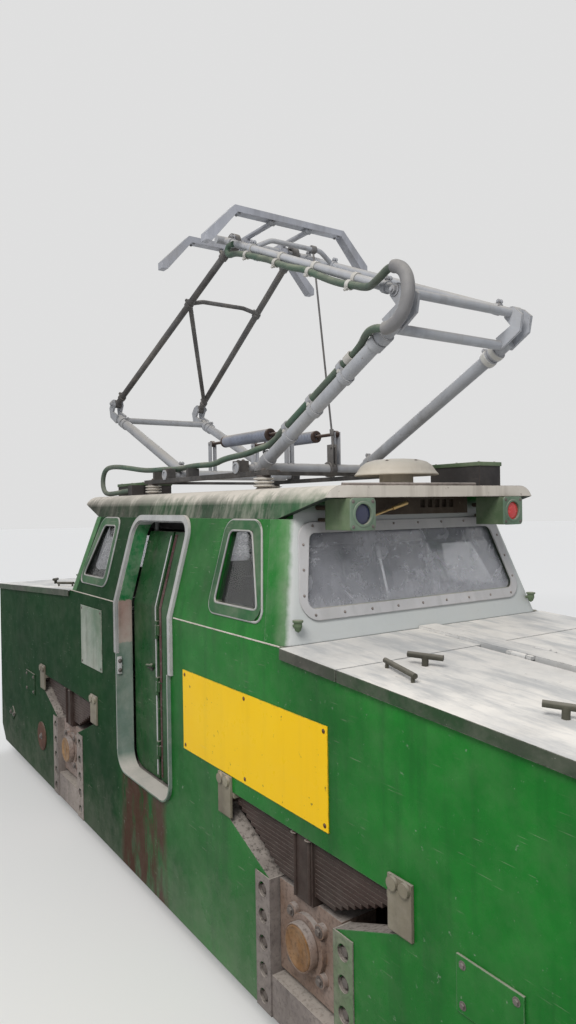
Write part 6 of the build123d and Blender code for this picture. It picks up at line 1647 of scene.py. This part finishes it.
# %% A plate with a hole
def add_holed_plate(piece, size, corner, hole_r, thick, place):
    """Square plate with rounded corners and a round hole."""
    shape = bmesh.new()
    around = ((-1, -1), (1, -1), (1, 1), (-1, 1))
    outline = [shape.verts.new((x * size / 2, y * size / 2, 0)) for x, y in around]
    shape.faces.new(outline)
    bmesh.ops.bevel(shape, geom=outline, offset=corner, segments=5, profile=0.5,
                    affect="VERTICES", material=-1)
    outer = shape.edges[:]
    bmesh.ops.delete(shape, geom=shape.faces[:], context="FACES_ONLY")
    hole = bmesh.ops.create_circle(shape, segments=32, radius=hole_r)["verts"]
    inner = list({edge for vert in hole for edge in vert.link_edges})
    bmesh.ops.bridge_loops(shape, edges=outer + inner)
    grown = bmesh.ops.extrude_face_region(shape, geom=shape.faces[:])["geom"]
    raised = [each for each in grown if isinstance(each, bmesh.types.BMVert)]
    bmesh.ops.translate(shape, vec=(0, 0, thick), verts=raised)
    rims = [edge for edge in level_edges(shape) if edge.is_manifold and edge.calc_face_angle(0) > 1.2]
    soften(shape, rims, 0.0009)
    pour(piece, shape, place)


# %% [markdown]
# A rolled ring lies round each hole, and four screws hold the plate to the lamp's box.

# %% Lamp rims
LAMP = Vector((1.045, 0.335, 1.5785))
SCREW_ACROSS = 0.0375


def lamp_centre(end, side):
    return Vector((end * LAMP.x, side * LAMP.y, LAMP.z))


rims, lamp_screws = bmesh.new(), bmesh.new()
for end, side in CORNERS:
    out = Vector((end, 0, 0))
    centre = lamp_centre(end, side)
    add_holed_plate(rims, 0.097, 0.014, 0.0315, 0.0045, facing(centre - out * 0.0005, out))
    add_tube(rims, centre + out * 0.003, centre + out * 0.0065, 0.0385, 0.0312, 32, 0.0012)
    for across, over in CORNERS:
        seat = centre + Vector((end * 0.0035, across * SCREW_ACROSS, over * SCREW_ACROSS))
        add_bolt(lamp_screws, seat, out, 0.004, False)
finished("lamp_rims", rims, "locomotive", "pale_green")
finished("lamp_screws", lamp_screws, "locomotive", "bolt_steel")

# %% [markdown]
# Behind each lamp two stays run back under the visor to the cab's end, and are bolted to the box.

# %% Lamp stays
BOX_DEPTH, STAY_OUT = 0.122, 0.022
# lift above the lamp's middle, X of the stay's foot on the cab, radius
STAYS = ((0.02, 0.846, 0.0075), (-0.018, 0.858, 0.006))

brackets = bmesh.new()
for end, side in CORNERS:
    out = Vector((end, 0, 0))
    y = side * (LAMP.y + STAY_OUT)
    heads = [Vector((end * (LAMP.x - BOX_DEPTH), y, LAMP.z + lift)) for lift, foot_x, radius in STAYS]
    for head, (lift, foot_x, radius) in zip(heads, STAYS):
        add_rod(brackets, head, (end * foot_x, y, LAMP.z + lift), radius, 12)
    for head in heads:
        add_bolt(brackets, head, -out, 0.0095)
# The stays wear the dark brown that is painted shade under the visor.
finished("lamp_brackets", brackets, "locomotive", "brown_panel")

# %% [markdown]
# The lenses are shallow domes, blue on one side and red on the other, as the photographed end shows.

# %% Lenses
lenses = {"lens": bmesh.new(), "red_lens": bmesh.new()}
lens_dome = [(0.0306, -0.004), (0.0306, 0.0), (0.026, 0.0016), (0.016, 0.003), (0.0, 0.0036)]
for end, side in CORNERS:
    out = Vector((end, 0, 0))
    colour = "lens" if end * side < 0 else "red_lens"
    add_turned(lenses[colour], lens_dome, lamp_centre(end, side) - out * 0.0015, out, 36)
blue = finished("blue_lenses", lenses["lens"], "locomotive", "lens")
red = finished("red_lenses", lenses["red_lens"], "locomotive", "red_lens")
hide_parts("lamp_lenses")

# %% [markdown]
# ## Windows
# The windscreens lean back with the cab's end. Each sits in a flat frame with a screw every hand's width,
# so the screws' places follow from the lean and from the frame's edges.

# %% Screws of the windscreens
SCREEN_LEAN = math.radians(16.4)
SCREEN_FOOT_X = 0.966
SCREW_PROUD = 0.0058
# height, half width and number of gaps of the lower and the upper row
SCREW_ROWS = ((1.277, 0.44, 8), (1.541, 0.392, 7))


def screen_x(z):
    return SCREEN_FOOT_X - (z - BELT) * math.tan(SCREEN_LEAN)


frame_screws = bmesh.new()
for end in SIDES:
    out = Vector((end * math.cos(SCREEN_LEAN), 0, math.sin(SCREEN_LEAN)))
    places = [(-half + 2 * half * k / count, z) for z, half, count in SCREW_ROWS for k in range(count + 1)]
    for side in SIDES:
        places += [(side * (0.5 - (z - 1.262) * 0.198 - 0.016), z) for z in (1.335, 1.41, 1.485)]
    for y, z in places:
        add_bolt(frame_screws, Vector((end * screen_x(z), y, z)) + out * SCREW_PROUD, out, 0.003, False)
finished("windscreen_screws", frame_screws, "locomotive", "horn_grey")

# %% [markdown]
# Each side window has two thin rubber beads, one outside its rim and one inside. A bead follows the
# window's rounded outline, which is drawn flat, rounded at its corners by a vertex bevel, and then laid
# on the leaning wall. Rings of the bead's section are set along it and bridged one to the next.

# %% A bead along an outline
def add_bead(piece, corners, corner_r, radius, lay):
    """Round bead along a closed outline with rounded corners; lay puts a flat place on the wall."""
    flat = bmesh.new()
    verts = [flat.verts.new((x, z, 0)) for x, z in corners]
    flat.faces.new(verts)
    bmesh.ops.bevel(flat, geom=verts, offset=corner_r, segments=7, profile=0.5,
                    affect="VERTICES", material=-1)
    flat.faces.ensure_lookup_table()
    places = [lay(loop.vert.co.x, loop.vert.co.y) for loop in flat.faces[0].loops]
    flat.free()
    shape = bmesh.new()
    rings = []
    for k, here in enumerate(places):
        along_here = places[(k + 1) % len(places)] - places[k - 1]
        ring = bmesh.ops.create_circle(shape, segments=8, radius=radius, matrix=facing(here, along_here))
        rings.append(ring["verts"])
    for k, ring in enumerate(rings):
        pair = ring + rings[(k + 1) % len(rings)]
        edges = {edge for vert in pair for edge in vert.link_edges if edge.other_vert(vert) in pair}
        open_edges = [edge for edge in edges if len(edge.link_faces) < 2]
        bmesh.ops.bridge_loops(shape, edges=open_edges)
    pour(piece, shape)


# %% [markdown]
# The window is a leaning trapezium: its front edge slants with the cab's end. An inset moves all four of
# its edges inwards, and a negative one outwards.

# %% Beads of the side windows
# X of the rear and the front corner, at the window's foot and at its head
WINDOW_FOOT, WINDOW_HEAD = (0.489, 0.841), (0.496, 0.716)
FOOT_Z, HEAD_Z = 1.252, 1.56


def side_window(inset):
    low, high = ((rear + inset, front - inset * 1.2) for rear, front in (WINDOW_FOOT, WINDOW_HEAD))
    foot_z, head_z = FOOT_Z + inset, HEAD_Z - inset
    return [(low[0], foot_z), (low[1], foot_z), (high[1], head_z), (high[0], head_z)]


def on_wall(end, side, proud):
    """Rule that lays a flat place on one of the four leaning walls."""
    return lambda x, z: Vector((end * x, side * (wall(z) + proud), z))


beads = bmesh.new()
for end, side in CORNERS:
    add_bead(beads, side_window(-0.001), 0.046, 0.0042, on_wall(end, side, 0.002))
    add_bead(beads, side_window(0.034), 0.022, 0.0036, on_wall(end, side, 0.004))
finished("window_beads", beads, "locomotive", "grey_trim")

# %% [markdown]
# ## Door details
# Each door is two leaves folding at a hinge. The leaves are bent at the belt, as the wall is, so a strip
# on a leaf is built as a row of sections that follow its outer face.

# %% A strip on a leaf
LEAF_FACE = 0.07


def leaf_place(x, z, side, proud=0.0):
    """Place on the leaf's outer face, or proud of it."""
    return Vector((x, side * (wall(z, LEAF_FACE) + proud), z))


def add_strip(piece, x_low, x_high, z_low, z_high, side, thick):
    """Flat strip on the leaning outer face of a leaf, bent where the wall is."""
    shape = bmesh.new()
    levels = [z_low, BELT, z_high] if z_low < BELT < z_high else [z_low, z_high]
    section = ((x_low, 0.0005), (x_high, 0.0005), (x_high, thick), (x_low, thick))
    rings = [[shape.verts.new(leaf_place(x, z, side, proud)) for x, proud in section] for z in levels]
    for below, over in zip(rings, rings[1:]):
        for k in range(4):
            following = (k + 1) % 4
            shape.faces.new((below[k], below[following], over[following], over[k]))
    shape.faces.new(rings[0])
    shape.faces.new(rings[-1])
    soften(shape, shape.edges[:], 0.0008, 1)
    pour(piece, shape)


# %% [markdown]
# A maroon strip with rivets covers the hinge on the front leaf. Everything on it is very thin, since the
# leaves fold flat against each other and leave little room.

# %% Hinge strips and rivets
STRIP_THICK = 0.0014
LEAF_FOOT, LEAF_HEAD = 0.515, 1.495
RIVETS, RIVET_FROM, RIVET_STEP = 18, 0.53, 0.056
rivet = [(0.003, -0.001), (0.003, 0.0), (0.0018, 0.0009), (0.0, 0.0012)]


def dress_front_leaf(name, side):
    strip, rivets = bmesh.new(), bmesh.new()
    add_strip(strip, -0.038, -0.016, 0.9, LEAF_HEAD, side, STRIP_THICK)
    add_strip(strip, -0.038, -0.022, LEAF_FOOT, 0.895, side, STRIP_THICK)
    for k in range(RIVETS):
        place = leaf_place(-0.028, RIVET_FROM + k * RIVET_STEP, side, 0.0013)
        add_turned(rivets, rivet, place, (0, side, 0), 10)
    finished("hinge_strip_" + name, strip, "door_front_leaf_" + name, "maroon")
    finished("hinge_rivets_" + name, rivets, "door_front_leaf_" + name, "bolt_steel")

# %% [markdown]
# A pale rubbed strip edges the rear leaf, and its latch is a round boss with a short handle.

# %% Edge strips and latches
def dress_rear_leaf(name, side):
    out = Vector((0, side, 0))
    edge_strip, latch = bmesh.new(), bmesh.new()
    add_strip(edge_strip, -0.08, -0.068, LEAF_FOOT, 1.49, side, 0.0012)
    finished("edge_strips_" + name, edge_strip, "door_rear_leaf_" + name, "screen_frame")
    boss = leaf_place(-0.112, 0.945, side, 0.002)
    handle = boss + out * 0.004
    add_rod(latch, boss - out * 0.003, boss + out * 0.006, 0.01, 20, 0.001)
    add_rod(latch, handle + Vector((0.004, 0, 0)), handle - Vector((0.036, 0, 0.003)), 0.0032, 10)
    finished("door_latch_" + name, latch, "door_rear_leaf_" + name, "base_dark")


for name, side in (("right", -1), ("left", 1)):
    dress_front_leaf(name, side)
    dress_rear_leaf(name, side)

# %% [markdown]
# On the rear jamb a small hasp takes the padlock when the locomotive is parked: a plate with two round-
# headed screws.

# %% Hasps
HASP_X, HASP_OUT = (-0.309, -0.2975), 0.574
HASP_Z, HASP_HALF = (0.895, 0.97), 0.01

hasps, hasp_bolts = bmesh.new(), bmesh.new()
for side in SIDES:
    y = side * HASP_OUT
    add_block(hasps, (HASP_X[0], y - HASP_HALF, HASP_Z[0]), (HASP_X[1], y + HASP_HALF, HASP_Z[1]), 0.003)
    for z in (0.912, 0.952):
        add_bolt(hasp_bolts, (HASP_X[1], y, z), (1, 0, 0), 0.006, False)
finished("door_hasps", hasps, "locomotive", "screen_frame")
finished("door_hasp_bolts", hasp_bolts, "locomotive", "bolt_steel")

# %% [markdown]
# ## Beads along the body
# A thin bead runs along the belt, where the leaning cab meets the upright side plates, and the door trims
# carry fine ribs.

# %% Belt beads and trim ribs
BELT_RUNS = ((-0.955, -0.345), (0.243, 0.955))
TRIM_RIBS_X = (-0.333, -0.3285, 0.2265, 0.231)
TRIM_FACE = 0.5862

belts, ribs = bmesh.new(), bmesh.new()
for side in SIDES:
    y = side * (WIDE - 0.0005)
    for x_low, x_high in BELT_RUNS:
        add_rod(belts, (x_low, y, BELT), (x_high, y, BELT), 0.0026, 8)
    for x in TRIM_RIBS_X:
        add_rod(ribs, (x, side * TRIM_FACE, 0.992), (x, side * TRIM_FACE, 1.194), 0.0014, 6)
finished("belt_beads", belts, "locomotive", "visor_beige")
finished("trim_ribs", ribs, "locomotive", "grey_trim")

# %% [markdown]
# ## Roof fittings
# The ventilator dome is pressed from sheet: a wide shallow bowl with a rolled lip, upside down over a
# short stem.

# %% Ventilator dome
DOME = Vector((0.76, 0.06, 1.767))
bowl = [(0, 0.0), (0.045, -0.001), (0.08, -0.004), (0.108, -0.012), (0.126, -0.025), (0.134, -0.037),
        (0.14, -0.046), (0.146, -0.052), (0.149, -0.056), (0.148, -0.0595), (0.144, -0.06),
        (0.141, -0.057), (0.134, -0.05), (0.12, -0.04), (0.08, -0.036), (0, -0.035)]
stem = [(0, -0.034), (0.056, -0.034), (0.06, -0.04), (0.06, -0.094), (0.07, -0.097), (0.072, -0.102),
        (0, -0.102)]

dome_piece, dome_bolts = bmesh.new(), bmesh.new()
add_turned(dome_piece, bowl, DOME, UP, 64)
add_turned(dome_piece, stem, DOME, UP, 48)
for k in range(6):
    angle = math.pi * k / 3
    seat = DOME + Vector((0.1 * math.cos(angle), 0.1 * math.sin(angle), -0.0105))
    add_bolt(dome_bolts, seat, UP, 0.0045, False)
dome_object = finished("ventilator_dome", dome_piece, "locomotive", "dome_paint")
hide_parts("roof_dome")
finished("dome_bolts", dome_bolts, "locomotive", "bolt_steel")

# %% [markdown]
# The two boxes on the roof get lids that stand a little proud, each held by six screws.

# %% Lids of the roof boxes
# low corner, high corner and height of each box
ROOF_BOXES = (((0.7, 0.29), (0.94, 0.4), 1.75), ((-0.9, -0.335), (-0.6, -0.18), 1.725))
LIP = 0.004

lids, lid_screws = bmesh.new(), bmesh.new()
for low, high, top in ROOF_BOXES:
    add_block(lids, (low[0] - LIP, low[1] - LIP, top - 0.012), (high[0] + LIP, high[1] + LIP, top + 0.0025))
    for x in (low[0] + 0.015, (low[0] + high[0]) / 2, high[0] - 0.015):
        for y in (low[1] + 0.014, high[1] - 0.014):
            add_bolt(lid_screws, (x, y, top + 0.002), UP, 0.0045, False)
finished("roof_box_lids", lids, "locomotive", "lamp_green")
finished("roof_box_screws", lid_screws, "locomotive", "bolt_steel")

# %% [markdown]
# A brass lever hangs under the visor between the lamps, with a thicker grip, and a thin rod lies along
# the front of the roof.

# %% Levers and roof rods
LEVER_X = 0.93

levers, rods = bmesh.new(), bmesh.new()
for end in SIDES:
    start = Vector((end * LEVER_X, -end * 0.196, 1.57))
    grip = Vector((end * LEVER_X, -end * 0.053, 1.61))
    add_rod(levers, start, grip, 0.0042, 12)
    add_rod(levers, start.lerp(grip, 0.58), start.lerp(grip, 1.03), 0.0072, 16, 0.002)
    add_rod(levers, start, (end * 0.885, -end * 0.205, 1.585), 0.0075, 14, 0.001)
    add_rod(rods, (end * 0.905, -0.3, 1.6715), (end * 0.965, 0.24, 1.6715), 0.0055, 12)
finished("window_levers", levers, "locomotive", "brass")
finished("roof_rods", rods, "locomotive", "horn_grey")

# %% [markdown]
# Inside, a board closes the space over each door, and a roller blind hangs in its box at the top of each
# windscreen. The boards are a dark sheet that stands for the shade in the cab above the doors; without them
# the sky would shine through there.

# %% Dark boards as painted shade, and roller blinds
BOARD_OUT, BOARD_HALF = 0.348, 0.003
BLIND_X, BLIND_HALF_WIDTH, BLIND_HALF = 0.838, 0.405, 0.01

# Each board is a dark sheet standing for the painted shade above a door.
boards = bmesh.new()
for side in SIDES:
    y = side * BOARD_OUT
    add_block(boards, (-0.46, y - BOARD_HALF, 1.51), (0.34, y + BOARD_HALF, 1.634), 0.001)
for end in SIDES:
    x = end * BLIND_X
    low, high = (x - BLIND_HALF, -BLIND_HALF_WIDTH, 1.478), (x + BLIND_HALF, BLIND_HALF_WIDTH, 1.56)
    add_block(boards, low, high, 0.006)
    add_rod(boards, (x, -BLIND_HALF_WIDTH, 1.472), (x, BLIND_HALF_WIDTH, 1.472), 0.009, 14)
finished("shade_boards_and_blinds", boards, "locomotive", "black_steel")

# %% [markdown]
# ## Seats
# A seat is a padded cushion on a pan. The cushion starts as a rounded block a little too small, and is
# rebuilt as an even net of small faces by a voxel remesh, because cloth needs an even net.

# %% The cushion's net
SEAT_LOW, SEAT_HIGH = Vector((0.646, -0.204, 0.8145)), Vector((0.928, 0.204, 0.852))
CORNER_R, EDGE_R = 0.045, 0.008
NET_SIZE = 0.0055


def cushion_net():
    """Object with an even net over a rounded block."""
    start = bmesh.new()
    bmesh.ops.create_cube(start, size=1.0, matrix=box_matrix(SEAT_LOW, SEAT_HIGH))
    uprights = [edge for edge in start.edges if edge not in level_edges(start, 0.01)]
    soften(start, uprights, CORNER_R, 6)
    soften(start, level_edges(start, 1e-5), EDGE_R, 3)
    mesh = bpy.data.meshes.new("cushion_start")
    start.to_mesh(mesh)
    start.free()
    pad = bpy.data.objects.new("cushion_start", mesh)
    bpy.context.scene.collection.objects.link(pad)
    remesh = pad.modifiers.new("net", "REMESH")
    remesh.mode = "VOXEL"
    remesh.voxel_size = NET_SIZE
    net = bpy.data.meshes.new_from_object(pad.evaluated_get(bpy.context.evaluated_depsgraph_get()))
    pad.modifiers.clear()
    pad.data = net
    return pad


# %% [markdown]
# The net is then blown up by cloth simulation with pressure inside, as foam fills a cover. Pressure alone
# would make a balloon, so a limit on each point's travel and on the height keeps the seat's form.

# %% Cushion by cloth simulation
STEPS, QUICK_STEPS = 20, 3
TRAVEL = 0.011
CUSHION_FOOT, CUSHION_TOP = 0.806, 0.8655


def puffed_cushion():
    """Coordinates and faces of one simulated cushion."""
    pad = cushion_net()
    calm = [vertex.co.copy() for vertex in pad.data.vertices]
    cloth = pad.modifiers.new("foam", "CLOTH")
    cloth.settings.use_pressure = True
    cloth.settings.uniform_pressure_force = 4.0
    cloth.settings.tension_stiffness = 18.0
    cloth.settings.compression_stiffness = 18.0
    cloth.settings.effector_weights.gravity = 0.0
    cloth.point_cache.frame_start = 1
    cloth.point_cache.frame_end = STEPS
    for step in range(STEPS):
        bpy.context.scene.frame_set(step + 1)
    depsgraph = bpy.context.evaluated_depsgraph_get()
    blown = [vertex.co.copy() for vertex in pad.evaluated_get(depsgraph).data.vertices]
    bpy.context.scene.frame_set(1)
    faces = [tuple(face.vertices) for face in pad.data.polygons]
    places = []
    for before, after in zip(calm, blown):
        move = after - before
        if move.length > TRAVEL:
            move *= TRAVEL / move.length
        place = before + move
        place.z = min(max(place.z, CUSHION_FOOT), CUSHION_TOP)
        places.append(place)
    bpy.data.objects.remove(pad)
    return places, faces


cushion_places, cushion_faces = puffed_cushion()
heights = [place.z for place in cushion_places]
print("cushion", len(cushion_faces), "faces, z", round(min(heights), 4), "to", round(max(heights), 4))

# %% [markdown]
# Two seams run across the seat: the points near a seam are drawn down along a narrow bell curve.

# %% Seat cushions
SEAMS, SEAM_DEPTH, SEAM_WIDTH = (-0.068, 0.068), 0.0045, 0.0055

for name, end in (("front", 1), ("rear", -1)):
    shape = bmesh.new()
    corners = [shape.verts.new((end * place.x, place.y, place.z)) for place in cushion_places]
    for face in cushion_faces:
        shape.faces.new([corners[k] for k in face])
    bmesh.ops.recalc_face_normals(shape, faces=shape.faces)
    for seam in SEAMS:
        for vert in shape.verts:
            if vert.co.z > 0.84:
                vert.co.z -= SEAM_DEPTH * math.exp(-((vert.co.y - seam) / SEAM_WIDTH) ** 2)
    cushion = finished("seat_cushion_" + name, shape, "locomotive", "seat_cover", 80)
    if end == 1:
        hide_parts("seats")

# %% [markdown]
# The pan below and the piping round the cushion are hard: a flat block, and a bead along the same rounded
# outline as the windows' beads.

# %% Seat pans and piping
SEAT_X = 0.787
PAN_HALF = Vector((0.145, 0.208))
PAN_Z, PIPING_Z = (0.8005, 0.812), 0.8165

piping, pans = bmesh.new(), bmesh.new()
for end in reversed(SIDES):
    x = end * SEAT_X
    add_block(pans, (x - PAN_HALF.x, -PAN_HALF.y, PAN_Z[0]), (x + PAN_HALF.x, PAN_HALF.y, PAN_Z[1]), 0.003)
    outline = [(x + along * 0.141, across * 0.203) for along, across in ((-1, -1), (1, -1), (1, 1), (-1, 1))]
    add_bead(piping, outline, CORNER_R, 0.0035, lambda x, y: Vector((x, y, PIPING_Z)))
finished("seat_piping", piping, "locomotive", "seat_cover")
finished("seat_pans", pans, "locomotive", "black_steel")

# %% [markdown]
# ## Ends
# The end plates are riveted to the side plates down both edges and bolted to the buffer beam in two rows.

# %% Rivets of the ends
END_X, BEAM_X = 2.45, 2.5
RIVETS_OUT, RIVETS_FROM, RIVETS_STEP = 0.545, 0.24, 0.1

end_rivets = bmesh.new()
for end, side in CORNERS:
    out = Vector((end, 0, 0))
    for k in range(9):
        z = RIVETS_FROM + k * RIVETS_STEP
        add_bolt(end_rivets, (end * END_X, side * RIVETS_OUT, z), out, 0.0075, False)
    for k in range(4):
        for z in (0.55, 0.26):
            add_bolt(end_rivets, (end * BEAM_X, side * (0.15 + k * 0.11), z), out, 0.0095)
finished("end_rivets", end_rivets, "locomotive", "green_paint")
